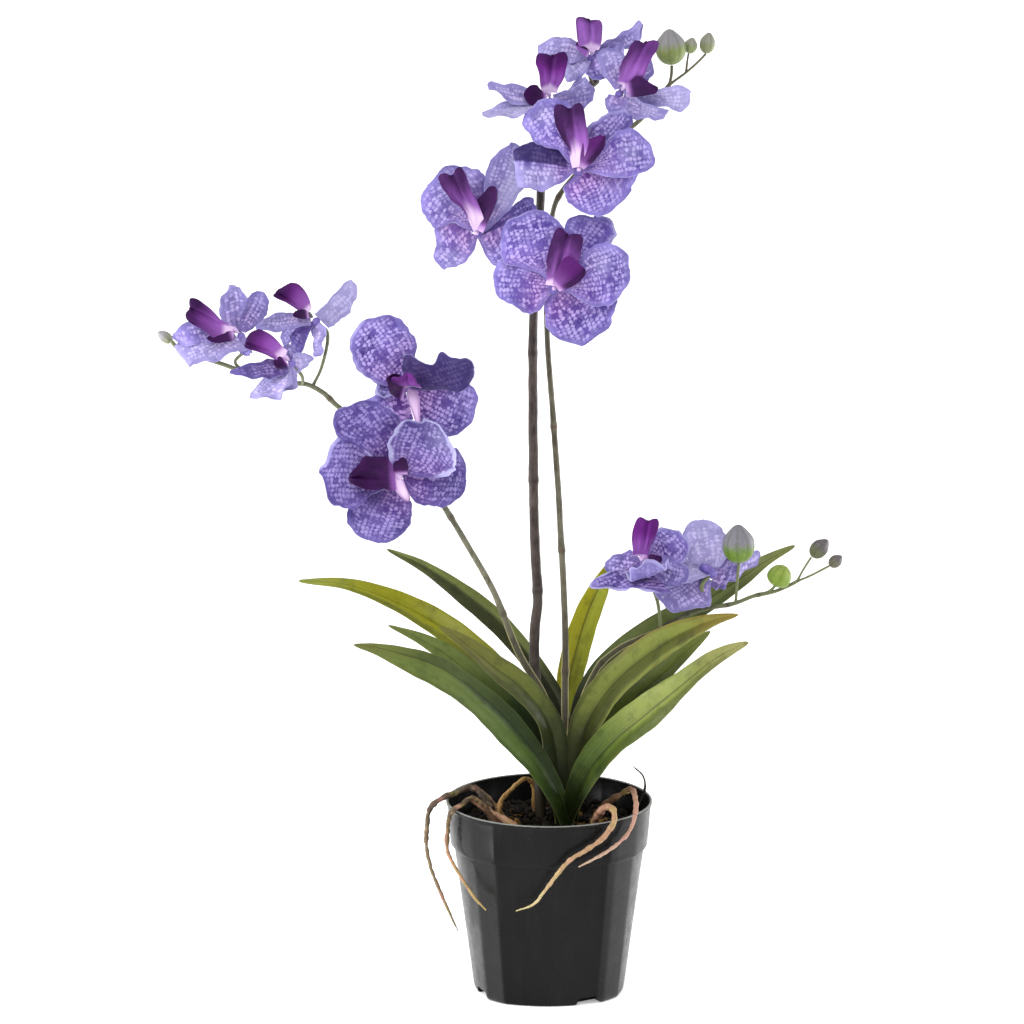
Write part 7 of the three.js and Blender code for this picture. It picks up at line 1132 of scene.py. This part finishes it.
# ---- leaves ----
# five colours from the foot to the tip (the dark first ones are partly painted shade where the leaves overlap at their
# feet), the margin's, and painted areas: channel (0 dark: painted shade, 1 warm, 2 light: painted highlight), from and
# to along the leaf, from and to across it, strength
LEAF_LOOKS = {
    "leaf_01": dict(stops=[(11, 13, 7), (20, 23, 12), (46, 50, 24), (70, 78, 36), (90, 98, 48)], edge=(104, 118, 56), light=(116, 126, 58), paint=[(0, 0.0, 1.0, -1.1, -0.05, 0.45), (2, 0.45, 0.95, 0.3, 1.1, 0.55), (0, 0.0, 0.35, -1.1, 1.1, 0.5)]),
    "leaf_02": dict(stops=[(34, 44, 16), (52, 64, 26), (102, 106, 24), (132, 134, 36), (112, 120, 54)], edge=(134, 140, 64), warm=(136, 134, 12), light=(154, 156, 84), paint=[(1, 0.42, 0.85, -0.5, 1.1, 0.75), (0, 0.15, 0.6, -1.1, -0.4, 0.45), (0, 0.6, 0.9, -1.1, -0.6, 0.45), (2, 0.5, 0.66, 0.2, 0.9, 0.7), (0, 0.0, 0.36, -1.1, 1.1, 0.45)]),
    "leaf_03": dict(widen=5.0, stops=[(18, 27, 9), (32, 42, 17), (60, 69, 27), (90, 94, 36), (100, 98, 38)], edge=(116, 114, 60), warm=(98, 92, 40), light=(112, 116, 50), paint=[(0, 0.0, 0.46, -1.1, 1.1, 0.78), (0, 0.0, 0.6, -1.1, -0.1, 0.5), (2, 0.3, 0.8, 0.1, 0.8, 0.4), (1, 0.7, 1.1, -1.1, 1.1, 0.4), (0, 0.3, 0.9, -1.1, -0.55, 0.5)]),
    "leaf_04": dict(stops=[(18, 27, 10), (24, 36, 14), (40, 54, 22), (94, 108, 48), (104, 112, 54)], edge=(104, 118, 62), light=(112, 124, 64), paint=[(0, 0.0, 0.44, -1.1, 1.1, 0.5), (0, 0.3, 0.6, -1.1, 0.0, 0.3), (2, 0.62, 0.98, -0.4, 0.9, 0.6)]),
    "leaf_05": dict(stops=[(24, 36, 12), (50, 68, 26), (62, 82, 31), (94, 103, 45), (106, 106, 54)], edge=(106, 118, 62), light=(100, 116, 56), crease=0.42, paint=[(0, 0.0, 0.82, 0.40, 1.1, 0.62), (0, 0.1, 0.56, 0.3, 1.1, 0.9), (0, 0.0, 0.62, 0.22, 0.56, 0.8), (2, 0.3, 0.95, -0.75, 0.1, 0.5), (0, 0.0, 0.22, -1.1, 1.1, 0.45), (0, 0.2, 0.8, -1.1, -0.86, 0.3)]),
    "leaf_06": dict(stops=[(30, 34, 11), (66, 70, 22), (116, 120, 32), (136, 140, 36), (134, 138, 42)], edge=(146, 146, 64), warm=(146, 140, 12), light=(144, 150, 58), paint=[(1, 0.35, 1.1, -1.1, -0.05, 0.85), (0, 0.0, 0.4, -0.1, 1.1, 0.45), (0, 0.2, 0.95, -0.12, 0.10, 0.35)]),
    "leaf_07": dict(stops=[(16, 20, 8), (24, 28, 12), (56, 64, 28), (96, 108, 52), (112, 116, 64)], edge=(124, 134, 80), light=(116, 130, 66), paint=[(0, 0.0, 0.4, -1.1, 1.1, 0.7), (2, 0.6, 0.85, -1.1, 0.6, 0.4), (2, 0.4, 0.9, -0.9, -0.2, 0.45), (0, 0.3, 0.85, 0.5, 1.1, 0.4)]),
    "leaf_08": dict(stops=[(16, 19, 7), (46, 50, 21), (76, 82, 33), (88, 93, 33), (110, 98, 42)], edge=(140, 132, 62), warm=(140, 116, 44), light=(130, 140, 60), paint=[(1, 0.93, 1.1, -1.1, 1.1, 0.5), (1, 0.6, 1.0, -1.1, -0.84, 0.4), (2, 0.3, 0.9, -0.78, -0.15, 0.5), (2, 0.28, 0.9, 0.84, 0.97, 0.6), (0, 0.05, 0.9, 0.05, 0.75, 0.4), (0, 0.0, 0.36, -1.1, 1.1, 0.75)]),
    "leaf_09": dict(stops=[(20, 28, 8), (36, 46, 14), (52, 62, 18), (76, 86, 32), (98, 106, 50)], edge=(100, 112, 58), light=(108, 118, 56), paint=[(0, 0.0, 0.7, -0.2, 1.1, 0.5), (2, 0.7, 1.0, -0.9, 0.2, 0.4)]),
    "leaf_10": dict(stops=[(6, 9, 3), (54, 72, 28), (86, 102, 39), (108, 114, 54), (128, 126, 80)], edge=(140, 148, 88), warm=(130, 126, 74), light=(140, 148, 80), paint=[(2, 0.46, 0.74, -0.95, 0.3, 0.75), (0, 0.0, 0.22, -1.1, 1.1, 0.95), (0, 0.12, 0.9, 0.45, 1.1, 0.5), (1, 0.84, 1.1, -1.1, 1.1, 0.5), (0, 0.15, 0.9, -0.1, 0.12, 0.3)]),
}


def leaf(name, stations):
    st = np.array(stations, float)
    seed = int(name[-2:])
    look = LEAF_LOOKS[name]
    rng = np.random.default_rng(seed)
    first = st[0].copy()
    first[2] = 106.0
    st = np.vstack([first, st])
    d = np.concatenate([[0], np.cumsum(np.linalg.norm(np.diff(st[:, :3], axis=0), axis=1))])
    path = spline(st[:, :3], 1.8)
    n = len(path)
    at = np.linspace(0, d[-1], n)
    g = np.linspace(0, 1, n)

    def ease(values):  # smooth through the stations
        out = np.interp(at, d, values)
        pad = np.concatenate([[out[0]] * 7, out, [out[-1]] * 7])
        return np.convolve(pad, np.ones(15) / 15, "valid")

    width = ease(st[:, 3])
    tipped = np.interp(at, d, st[:, 3])
    width = lerp(width, np.maximum(tipped, 0.5), smooth(g, 0.8, 0.95))
    k = max(int(0.05 * n), 3)
    width[-k:] = width[-k] * np.sqrt(np.linspace(1, 0.012, k))
    nor = np.stack([ease(st[:, 4 + i]) for i in range(3)], 1)
    tan = np.gradient(path, axis=0)
    tan /= np.linalg.norm(tan, axis=1)[:, None]
    nor -= tan * np.sum(nor * tan, axis=1)[:, None]
    nor /= np.linalg.norm(nor, axis=1)[:, None]
    side = np.cross(tan, nor)
    crease = look.get("crease", 0.0)
    v = np.unique(np.round(np.concatenate([np.sin(np.linspace(-np.pi / 2, np.pi / 2, 25)), crease + np.array([-0.08, -0.04, 0, 0.04, 0.08])]), 5))
    half = width / 2
    p = rng.uniform(0, 6.28, 6)
    G, Vv = np.meshgrid(g, v, indexing="ij")
    H = half[:, None] * np.ones_like(Vv)
    W = Vv - crease  # across, from the crease
    aw = np.abs(W)
    av = np.abs(Vv)
    fold = 0.36 * lerp(1.5, 0.8, smooth(G, 0, 0.9))
    Z = fold * H * (np.sqrt(aw**2 + 0.012) - 0.55) + 0.07 * H * np.sin(np.pi * av)
    wave = 1.3 if name == "leaf_10" else 0.7
    Z = Z + wave * av**2 * np.sin(2 * np.pi * 2.6 * G + p[0] + (Vv > 0) * 1.8) * smooth(G, 0.15, 0.4)
    Z = Z + 0.07 * np.sin(Vv * H * 3.4 + p[4]) * (1 - av**4)  # low ridges along the veins
    H = H + look.get("widen", 0.0) * (Vv < 0) * smooth(G, 0.02, 0.16) * (1 - smooth(G, 0.22, 0.5))
    Y = Vv * H * (1 + 0.03 * np.sin(2 * np.pi * 3.1 * G + p[1] + (Vv > 0) * 1.3) + 0.012 * np.sin(2 * np.pi * 11 * G + p[2] + (Vv > 0)))
    mid = path[:, None, :] + side[:, None, :] * Y[..., None] + nor[:, None, :] * Z[..., None]
    thick = lerp(0.75, 0.28, av**1.5) * lerp(1.3, 0.6, G) * np.minimum(1, 0.15 + H / 3)
    fan = np.stack([G, Vv], -1)
    rim = np.stack([aw, H], -1)
    tint = np.zeros(G.shape + (4,))
    tint[..., 3] = 1
    for channel, s0, s1, v0, v1, strength in look["paint"]:
        drift = 0.05 * np.sin(2 * np.pi * 2.1 * G + p[3]) + 0.03 * np.sin(2 * np.pi * 5.3 * G + p[5])
        on = smooth(G, s0 - 0.09, s0 + 0.09) * (1 - smooth(G, s1 - 0.09, s1 + 0.09))
        on = on * smooth(Vv + drift, v0 - 0.1, v0 + 0.1) * (1 - smooth(Vv + drift, v1 - 0.1, v1 + 0.1))
        tint[..., channel] = np.maximum(tint[..., channel], strength * on)
    b = Piece("look_" + name)
    sheet_solid(b, mid, thick, fan, rim, tint, 0, 0)
    b.build([leaf_look(name + "_skin", look)], [name], 60)


for name, stations in LEAVES.items():
    leaf(name, stations)

# ---- roots ----
# colours at the start, at a third, at two thirds and at the tip
ROOT_LOOKS = {
    "root_01": [(54, 45, 39), (76, 63, 52), (124, 107, 84), (126, 115, 92)],
    "root_02": [(90, 66, 50), (78, 64, 51), (142, 117, 78), (152, 130, 84)],
    "root_03": [(120, 84, 66), (140, 104, 84), (168, 130, 104), (150, 116, 84)],
    "root_04": [(60, 44, 30), (104, 78, 54), (132, 104, 70), (96, 70, 46)],
    "root_05": [(120, 88, 50), (160, 124, 76), (150, 116, 66), (110, 80, 46)],
    "root_06": [(106, 76, 54), (158, 118, 96), (154, 130, 92), (176, 164, 120)],
    "root_07": [(114, 86, 60), (148, 112, 86), (168, 130, 116), (176, 154, 130)],
    "root_08": [(30, 26, 24), (46, 40, 36), (64, 56, 48), (90, 80, 68)],
}


def root_look(name, *colours):
    k = Look(name, 0.7, 0.2)
    length, bearing = k.uv("fan")
    share, _ = k.uv("rim")
    at = k.place()
    rings = k.noise(k.vec(k.math("MULTIPLY", length, 0.9), k.math("MULTIPLY", bearing, 2.0)), 1.0, 4, 0.65)
    value = k.noise(at, 150, 4, 0.65)
    along = k.math("ADD", share, k.math("MULTIPLY", k.math("SUBTRACT", k.noise(at, 70, 2), 0.5), 0.35))
    colour = k.ramp(along, [(p, srgb(*c)) for p, c in zip((0.04, 0.36, 0.68, 0.96), colours)])
    low, high = [int(c * 0.5) for c in colours[1]], [min(255, int(c * 1.18) + 14) for c in colours[2]]
    colour = k.mix(k.math("MULTIPLY", k.step(rings, 0.50, 0.68), 0.5), colour, srgb(*low))
    colour = k.mix(k.math("MULTIPLY", k.step(value, 0.5, 0.75), 0.5), colour, srgb(*high))
    if name[:7] not in ("root_08", "root_04"):
        colour = k.mix(k.math("MULTIPLY", k.step(k.noise(at, 62, 2), 0.54, 0.7), 0.5), colour, srgb(178, 126, 114))
        colour = k.mix(k.math("MULTIPLY", k.step(k.noise(k.stretch(at, 1.3, 1.0, 0.8), 84, 2), 0.56, 0.7), 0.4), colour, srgb(150, 142, 76))
    n = k.bump(rings, 0.5, 0.4)
    n = k.bump(k.noise(at, 1100, 3), 0.4, 0.2, n)
    return k.done(colour, k.step(value, 0.3, 0.7, 0.8, 0.58), n)


for name, (line, (r0, r1)) in ROOTS.items():
    b = Piece("look_" + name)
    q = np.asarray(line, float)
    path = spline(q, 0.8)
    n = len(path)
    g = np.linspace(0, 1, n)
    seed = int(name[-2:])
    rng = np.random.default_rng(seed)
    r = lerp(r0, r1, g**0.85)
    lump = np.array([wobble(seed * 9.1, 3.3, t * n * 0.8, 5.0) for t in g])
    r = r * {"root_01": 1.22, "root_02": 1.18, "root_06": 0.86}.get(name, 1.0) * (1 + 0.34 * lump) * (1 - 0.45 * smooth(g, 0.9, 1.0))
    tube(b, path, r, 16, 0, knob=0.34, knob_size=2.6, flat=0.9)
    b.build([root_look(name + "_skin", *ROOT_LOOKS[name])], [name], 70)

# ---- pot ----
CORNERS = [-49, -33, 41, 57, 131, 147, 221, 237]  # bearings of the soft vertical creases, degrees from the front


def facet(bearing):
    """Radius share of the flat-sided outline at a bearing."""
    b = (bearing + 49) % 360 - 49
    ring = CORNERS + [CORNERS[0] + 360]
    for a, c in zip(ring, ring[1:]):
        if a <= b <= c:
            half = math.radians((c - a) / 2)
            return math.cos(half) / math.cos(math.radians(b) - math.radians((a + c) / 2))
    return 1.0


def pot():
    sides = 216
    bearings = [360 * j / sides for j in range(sides)]
    shape = [facet(a) for a in bearings]
    profile = []  # radius, height, share of the facets

    def go(r, z, k):
        profile.append((r, z, k))

    go(0.01, 0.0, 0); go(20, 0.0, 0); go(40, 0.0, 0.1); go(BODY_FOOT_RADIUS - 3.2, 0.0, 0.28)
    go(BODY_FOOT_RADIUS - 1.6, 0.12, 0.34); go(BODY_FOOT_RADIUS - 0.6, 0.6, 0.38); go(BODY_FOOT_RADIUS - 0.1, 1.5, 0.41); go(BODY_FOOT_RADIUS + 0.25, 3.0, 0.42)
    top = POT_HEIGHT - BAND_HEIGHT
    for z in (8, 20, 32, 44, 56, 66, 73.4, 73.8, 74.2, 74.6, 82, 88, top - 2.5):
        go(lerp(BODY_FOOT_RADIUS + 0.25, BODY_TOP_RADIUS, (z - 3) / (top - 4)), z, lerp(0.42, 0.17, z / top))
    go(BODY_TOP_RADIUS, top - 1.2, 0.17)
    go(BODY_TOP_RADIUS + 0.35, top - 0.6, 0.17); go(BAND_FOOT_RADIUS - 0.4, top - 0.25, 0.16); go(BAND_FOOT_RADIUS, top + 0.35, 0.15)
    for t in (0.15, 0.3, 0.5, 0.7, 0.88):
        go(lerp(BAND_FOOT_RADIUS, RIM_RADIUS - 0.6, t), lerp(top, POT_HEIGHT, t), lerp(0.15, 0.05, t))
    go(RIM_RADIUS - 0.55, POT_HEIGHT - 2.6, 0.03); go(RIM_RADIUS - 0.1, POT_HEIGHT - 2.1, 0); go(RIM_RADIUS + 0.1, POT_HEIGHT - 1.2, 0); go(RIM_RADIUS, POT_HEIGHT - 0.4, 0)
    go(RIM_RADIUS - 0.3, POT_HEIGHT - 0.05, 0); go(RIM_RADIUS - 0.6, POT_HEIGHT, 0); go(RIM_RADIUS - 1.2, POT_HEIGHT, 0); go(RIM_RADIUS - WALL, POT_HEIGHT - 0.5, 0)
    for t in (0.9, 0.6, 0.3):
        go(lerp(BAND_FOOT_RADIUS, RIM_RADIUS, t) - WALL, lerp(top, POT_HEIGHT, t), 0.04)
    go(BAND_FOOT_RADIUS - WALL, top + 0.8, 0.1); go(BODY_TOP_RADIUS - WALL, top - 1, 0.12)
    for z in (70, 40, 10):
        go(lerp(BODY_FOOT_RADIUS, BODY_TOP_RADIUS, z / top) - WALL, z, 0.12)
    go(BODY_FOOT_RADIUS - WALL - 0.4, 3.4, 0.1); go(BODY_FOOT_RADIUS - WALL - 1.4, 2.6, 0.1); go(30, 2.6, 0); go(0.01, 2.6, 0)
    verts, fan = [], []
    for i, (r, z, k) in enumerate(profile):
        for a, sh in zip(bearings, shape):
            q = r * (1 + k * (sh - 0.8))
            if i < 30 and 73 < z < 75 and -17 < ((a + 180) % 360 - 180) < 9:
                q += 0.12 * (1 - abs(z - 74) / 0.6)
            x = math.radians(a)
            verts.append((q * math.sin(x), -q * math.cos(x), z))
            fan.append((a / 360, z / POT_HEIGHT))
    faces = []
    m = len(profile)
    for i in range(m - 1):
        for j in range(sides):
            a, b = i * sides + j, i * sides + (j + 1) % sides
            faces.append((a, b, b + sides, a + sides))
    faces.append(tuple(range(sides - 1, -1, -1)))
    faces.append(tuple((m - 1) * sides + j for j in range(sides)))
    me = bpy.data.meshes.new("look_pot")
    me.from_pydata([(x * MM, y * MM, z * MM) for x, y, z in verts], [], faces)
    me.update()
    o = bpy.data.objects.new("look_pot", me)
    bpy.context.scene.collection.objects.link(o)
    cut_v, cut_f = [], []
    for bearing in (31, 121, 211, 301):
        x = math.radians(bearing)
        out = np.array([math.sin(x), -math.cos(x), 0])
        side = np.array([math.cos(x), math.sin(x), 0])
        base = len(cut_v)
        w0, w1 = 9.3, 7.6
        for r in (40.8, 56):
            for w, z in ((-w0, -1.5), (w0, -1.5), (w1, 4.4), (w1 - 1.6, 5.2), (-w1 + 1.6, 5.2), (-w1, 4.4)):
                cut_v.append(tuple((out * r + side * w + np.array([0, 0, z])) * MM))
        cut_f.append(tuple(base + i for i in range(5, -1, -1)))
        cut_f.append(tuple(base + 6 + i for i in range(6)))
        for i in range(6):
            j = (i + 1) % 6
            cut_f.append((base + i, base + j, base + 6 + j, base + 6 + i))
    cm = bpy.data.meshes.new("drain_cut")
    cm.from_pydata(cut_v, [], cut_f)
    co = bpy.data.objects.new("drain_cut", cm)
    bpy.context.scene.collection.objects.link(co)
    for each in (me, cm):
        import bmesh
        bm = bmesh.new()
        bm.from_mesh(each)
        bmesh.ops.recalc_face_normals(bm, faces=bm.faces)
        bm.to_mesh(each)
        bm.free()
    mod = o.modifiers.new("drains", "BOOLEAN")
    mod.operation = "DIFFERENCE"
    mod.solver = "EXACT"
    mod.object = co
    bpy.context.view_layer.update()
    made = bpy.data.meshes.new_from_object(o.evaluated_get(bpy.context.evaluated_depsgraph_get()))
    o.modifiers.clear()
    o.data = made
    bpy.data.objects.remove(co)
    made.name = "look_pot"
    k = Look("pot_plastic", 0.36, 0.11)
    at = k.place()
    tone = k.noise(at, 22, 3)
    streak = k.noise(k.stretch(at, 1.0, 1.0, 0.12), 160, 3)
    colour = k.ramp(tone, [(0.3, srgb(13, 13, 13)), (0.7, srgb(19, 19, 19))])
    colour = k.mix(k.math("MULTIPLY", k.step(streak, 0.45, 0.75), 0.25), colour, srgb(30, 30, 30))
    dust = k.noise(at, 900, 2)
    colour = k.mix(k.math("MULTIPLY", k.step(dust, 0.66, 0.78), 0.25), colour, srgb(78, 76, 72))
    height = k.node("SeparateXYZ", {0: at}, out=2)
    # a pale band along the top of the rim: a painted highlight on the rim's lip
    painted_rim_highlight = k.step(k.math("ADD", height, k.math("MULTIPLY", dust, 0.0006)), 0.1226, 0.1231)
    colour = k.mix(k.math("MULTIPLY", painted_rim_highlight, 0.75), colour, srgb(138, 138, 134))
    scuff = k.node("TexVoronoi", {"Vector": at, "Scale": 60.0}, out="Distance", feature="DISTANCE_TO_EDGE")
    n = k.bump(k.noise(at, 700, 3), 0.12, 0.2)
    n = k.bump(k.math("MULTIPLY", streak, 1.0), 0.12, 0.4, n)
    # soft flat sides: the outline leans towards a rounded square
    parts = k.t.nodes.new("ShaderNodeSeparateXYZ")
    k.t.links.new(at, parts.inputs[0])
    bearing = k.math("ARCTAN2", parts.outputs[0], k.math("MULTIPLY", parts.outputs[1], -1.0))
    bearing = k.math("SUBTRACT", bearing, math.radians(1.7))
    bearing = k.math("ADD", bearing, k.math("MULTIPLY", k.math("SINE", k.math("MULTIPLY", bearing, 2.0)), 0.2))
    turn = k.math("DIVIDE", bearing, math.pi / 2)
    off = k.math("MULTIPLY", k.math("SUBTRACT", k.math("FRACT", k.math("ADD", turn, 0.5)), 0.5), math.pi / 2)
    crown = k.math("SMOOTH_MIN", k.math("SUBTRACT", k.math("DIVIDE", 1.0, k.math("COSINE", off)), 1.0), 0.40, 0.04)
    n = k.bump(k.math("MULTIPLY", crown, k.step(parts.outputs[2], 0.085, 0.122, 1.0, 0.25)), 1.0, 14.5, n)
    mat = k.done(colour, k.step(k.noise(at, 120, 3), 0.3, 0.7, 0.24, 0.34), n)
    made.materials.clear()
    made.materials.append(mat)
    made.shade_smooth()
    made.set_sharp_from_angle(angle=math.radians(32))
    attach(o, "root")
    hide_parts("pot")


pot()

# ---- bark medium ----
ICO = None


def chip(piece, centre, size, rng, tint):
    """A rough bark chip: a stretched, dented ball."""
    rings, sides = 5, 7
    u = unit(rng.normal(size=3)); w = unit(np.cross(u, rng.normal(size=3))); q = np.cross(u, w)
    a, b, c = size
    verts = []
    for k in range(rings + 1):
        th = math.pi * k / rings
        for j in range(sides):
            ph = 2 * math.pi * j / sides
            d = np.array([math.sin(th) * math.cos(ph), math.sin(th) * math.sin(ph), math.cos(th)])
            d = np.sign(d) * np.abs(d) ** 0.75 * (1 + 0.22 * rng.uniform(-1, 1) * (0 < k < rings))
            verts.append(centre + u * d[0] * a + w * d[1] * b + q * d[2] * c)
            if k in (0, rings):
                break
    faces = [(0, 1 + j, 1 + (j + 1) % sides) for j in range(sides)]
    for k in range(rings - 2):
        for j in range(sides):
            x, y = 1 + k * sides + j, 1 + k * sides + (j + 1) % sides
            faces.append((x, x + sides, y + sides, y))
    last = len(verts) - 1
    o = 1 + (rings - 2) * sides
    faces += [(o + j, last, o + (j + 1) % sides) for j in range(sides)]
    piece.add(verts, faces, 0, None, None, tint)


def bark():
    b = Piece("look_bark_medium")
    rng = np.random.default_rng(11)
    sides = 96
    rows = [(0.01, 3.2), (BODY_FOOT_RADIUS - WALL - 1.6, 3.2), (BODY_TOP_RADIUS - WALL - 1.8, POT_HEIGHT - BAND_HEIGHT - 2), (BAND_FOOT_RADIUS - WALL - 2.0, SOIL_EDGE - 4)]
    rows += [(r, None) for r in np.linspace(58.5, 0.01, 26)]
    verts = []
    for r, z in rows:
        for j in range(sides):
            a = 2 * math.pi * j / sides
            x, y = r * math.cos(a), r * math.sin(a)
            h = z
            if z is None:
                h = lerp(SOIL_CROWN - 3.4, SOIL_EDGE - 3.5, (r / 58) ** 2) + 1.5 * wobble(x, y, 5, 9) + 0.8 * wobble(x, y, 9, 3)
            verts.append((x, y, h))
    faces = []
    for i in range(len(rows) - 1):
        for j in range(sides):
            p, q = i * sides + j, i * sides + (j + 1) % sides
            faces.append((p, q, q + sides, p + sides))
    faces.append(tuple(range(sides - 1, -1, -1)))
    faces.append(tuple((len(rows) - 1) * sides + j for j in range(sides)))
    b.add(verts, faces, 0, None, None, (0.1, 0, 0, 1))
    for i in range(520):
        r = 57.0 * math.sqrt(rng.uniform(0.0, 1.0))
        a = rng.uniform(0, 2 * math.pi)
        x, y = r * math.cos(a), r * math.sin(a)
        long = rng.uniform(2.0, 5.2)
        size = (long, long * rng.uniform(0.45, 0.8), long * rng.uniform(0.25, 0.5))
        lim = 60.2 - long
        if r > lim:
            x, y = x * lim / r, y * lim / r
        z = lerp(SOIL_CROWN - 3.0, SOIL_EDGE - 2.6, (r / 58) ** 2) + rng.uniform(-0.6, 1.6)
        golden = 1.0 if (x < -14 and y < -8 and rng.uniform() < 0.4) or rng.uniform() < 0.06 else 0.0
        chip(b, np.array([x, y, min(z, 110.8 - size[2] * 0.4)]), size, rng, (rng.uniform(0, 1), golden, 0, 1))
    for i in range(26):
        x0, y0 = (rng.uniform(-50, -14), rng.uniform(-42, 0)) if i < 17 else (rng.uniform(12, 48), rng.uniform(-38, 5))
        a = rng.uniform(0, math.pi)
        long = rng.uniform(8, 20)
        pts = [(x0 + math.cos(a) * t * long + rng.uniform(-1.5, 1.5), y0 + math.sin(a) * t * long + rng.uniform(-1.5, 1.5), 110.2 + rng.uniform(-0.8, 1.3)) for t in np.linspace(0, 1, 5)]
        pts = [(x * min(1, 57 / math.hypot(x, y)), y * min(1, 57 / math.hypot(x, y)), z) for x, y, z in pts]
        q = spline(pts, 1.0)
        tube(b, q, np.full(len(q), rng.uniform(0.3, 0.55)), 6, 0, (0.8, rng.uniform(0.5, 1.0), 0, 1), knob=0.2, knob_size=1.5)
    k = Look("bark_chips", 0.85, 0.12)
    tone, golden, _ = k.tint()
    at = k.place()
    grain = k.noise(at, 420, 4, 0.65)
    colour = k.mix(tone, srgb(10, 8, 6), srgb(34, 27, 20))
    colour = k.mix(k.math("MULTIPLY", golden, 0.8), colour, srgb(128, 96, 48))
    colour = k.mix(k.math("MULTIPLY", k.step(grain, 0.4, 0.7), 0.6), colour, srgb(7, 6, 5))
    n = k.bump(grain, 0.7, 0.6)
    n = k.bump(k.noise(at, 1600, 3), 0.4, 0.2, n)
    b.build([k.done(colour, k.step(grain, 0.3, 0.7, 0.75, 0.95), n)], ["bark_medium"], 30)


bark()

# ---- floor, light and camera ----
me = bpy.data.meshes.new("floor")
me.from_pydata([(-20, -20, 0), (20, -20, 0), (20, 40, 0), (-20, 40, 0)], [], [(0, 1, 2, 3)])
floor = bpy.data.objects.new("floor", me)
bpy.context.scene.collection.objects.link(floor)
k = Look("floor_paper", 0.9, 0.1)
paper = k.noise(k.place(), 3.0, 2)
k.b.inputs["Emission Color"].default_value = (1, 1, 1, 1)
k.b.inputs["Emission Strength"].default_value = 0.32
me.materials.append(k.done(k.ramp(paper, [(0.3, srgb(249, 249, 249)), (0.7, srgb(252, 252, 252))]), 0.9, k.bump(k.noise(k.place(), 90, 2), 0.05, 0.3)))

scene = bpy.context.scene
world = bpy.data.worlds.new("studio")
scene.world = world
world.use_nodes = True
sky = world.node_tree.nodes["Background"]
sky.inputs[0].default_value = (1.0, 1.0, 1.0, 1.0)
sky.inputs[1].default_value = 0.82


def sun(name, direction, power, angle, colour=(1, 1, 1)):
    light = bpy.data.lights.new(name, "SUN")
    light.energy = power
    light.angle = math.radians(angle)
    light.color = colour
    o = bpy.data.objects.new(name, light)
    o.rotation_euler = Vector(direction).to_track_quat("-Z", "Y").to_euler()
    bpy.context.scene.collection.objects.link(o)


sun("key", (0.35, 0.75, -0.9), 1.5, 45)
sun("side", (-0.9, 0.35, -0.35), 0.4, 50)


def box(name, place, power, wide, high):
    light = bpy.data.lights.new(name, "AREA")
    light.energy = power
    light.shape = "RECTANGLE"
    light.size = wide
    light.size_y = high
    o = bpy.data.objects.new(name, light)
    o.location = place
    o.rotation_euler = (Vector((0, 0, 0.08)) - Vector(place)).to_track_quat("-Z", "Y").to_euler()
    o.visible_camera = False
    bpy.context.scene.collection.objects.link(o)


box("box_right", (1.0, 0.30, 0.30), 10.0, 0.55, 0.7)
box("box_left", (-1.0, -0.24, 0.28), 10.5, 0.45, 0.8)
box("box_back", (-0.85, 0.75, 0.28), 2.0, 0.4, 0.7)

cam = bpy.data.cameras.new("camera")
cam.sensor_width = 36.0
cam.lens = 36.0 * 3000.0 / (1024.0 * 0.627939)
cam.clip_start = 0.1
cam.clip_end = 100.0
eye = bpy.data.objects.new("camera", cam)
eye.location = (-0.023629, -2.936602, 0.922990)
eye.rotation_euler = (math.radians(90 - 11.8), 0.0, 0.0)
scene.collection.objects.link(eye)
scene.camera = eye
scene.view_settings.view_transform = "Standard"
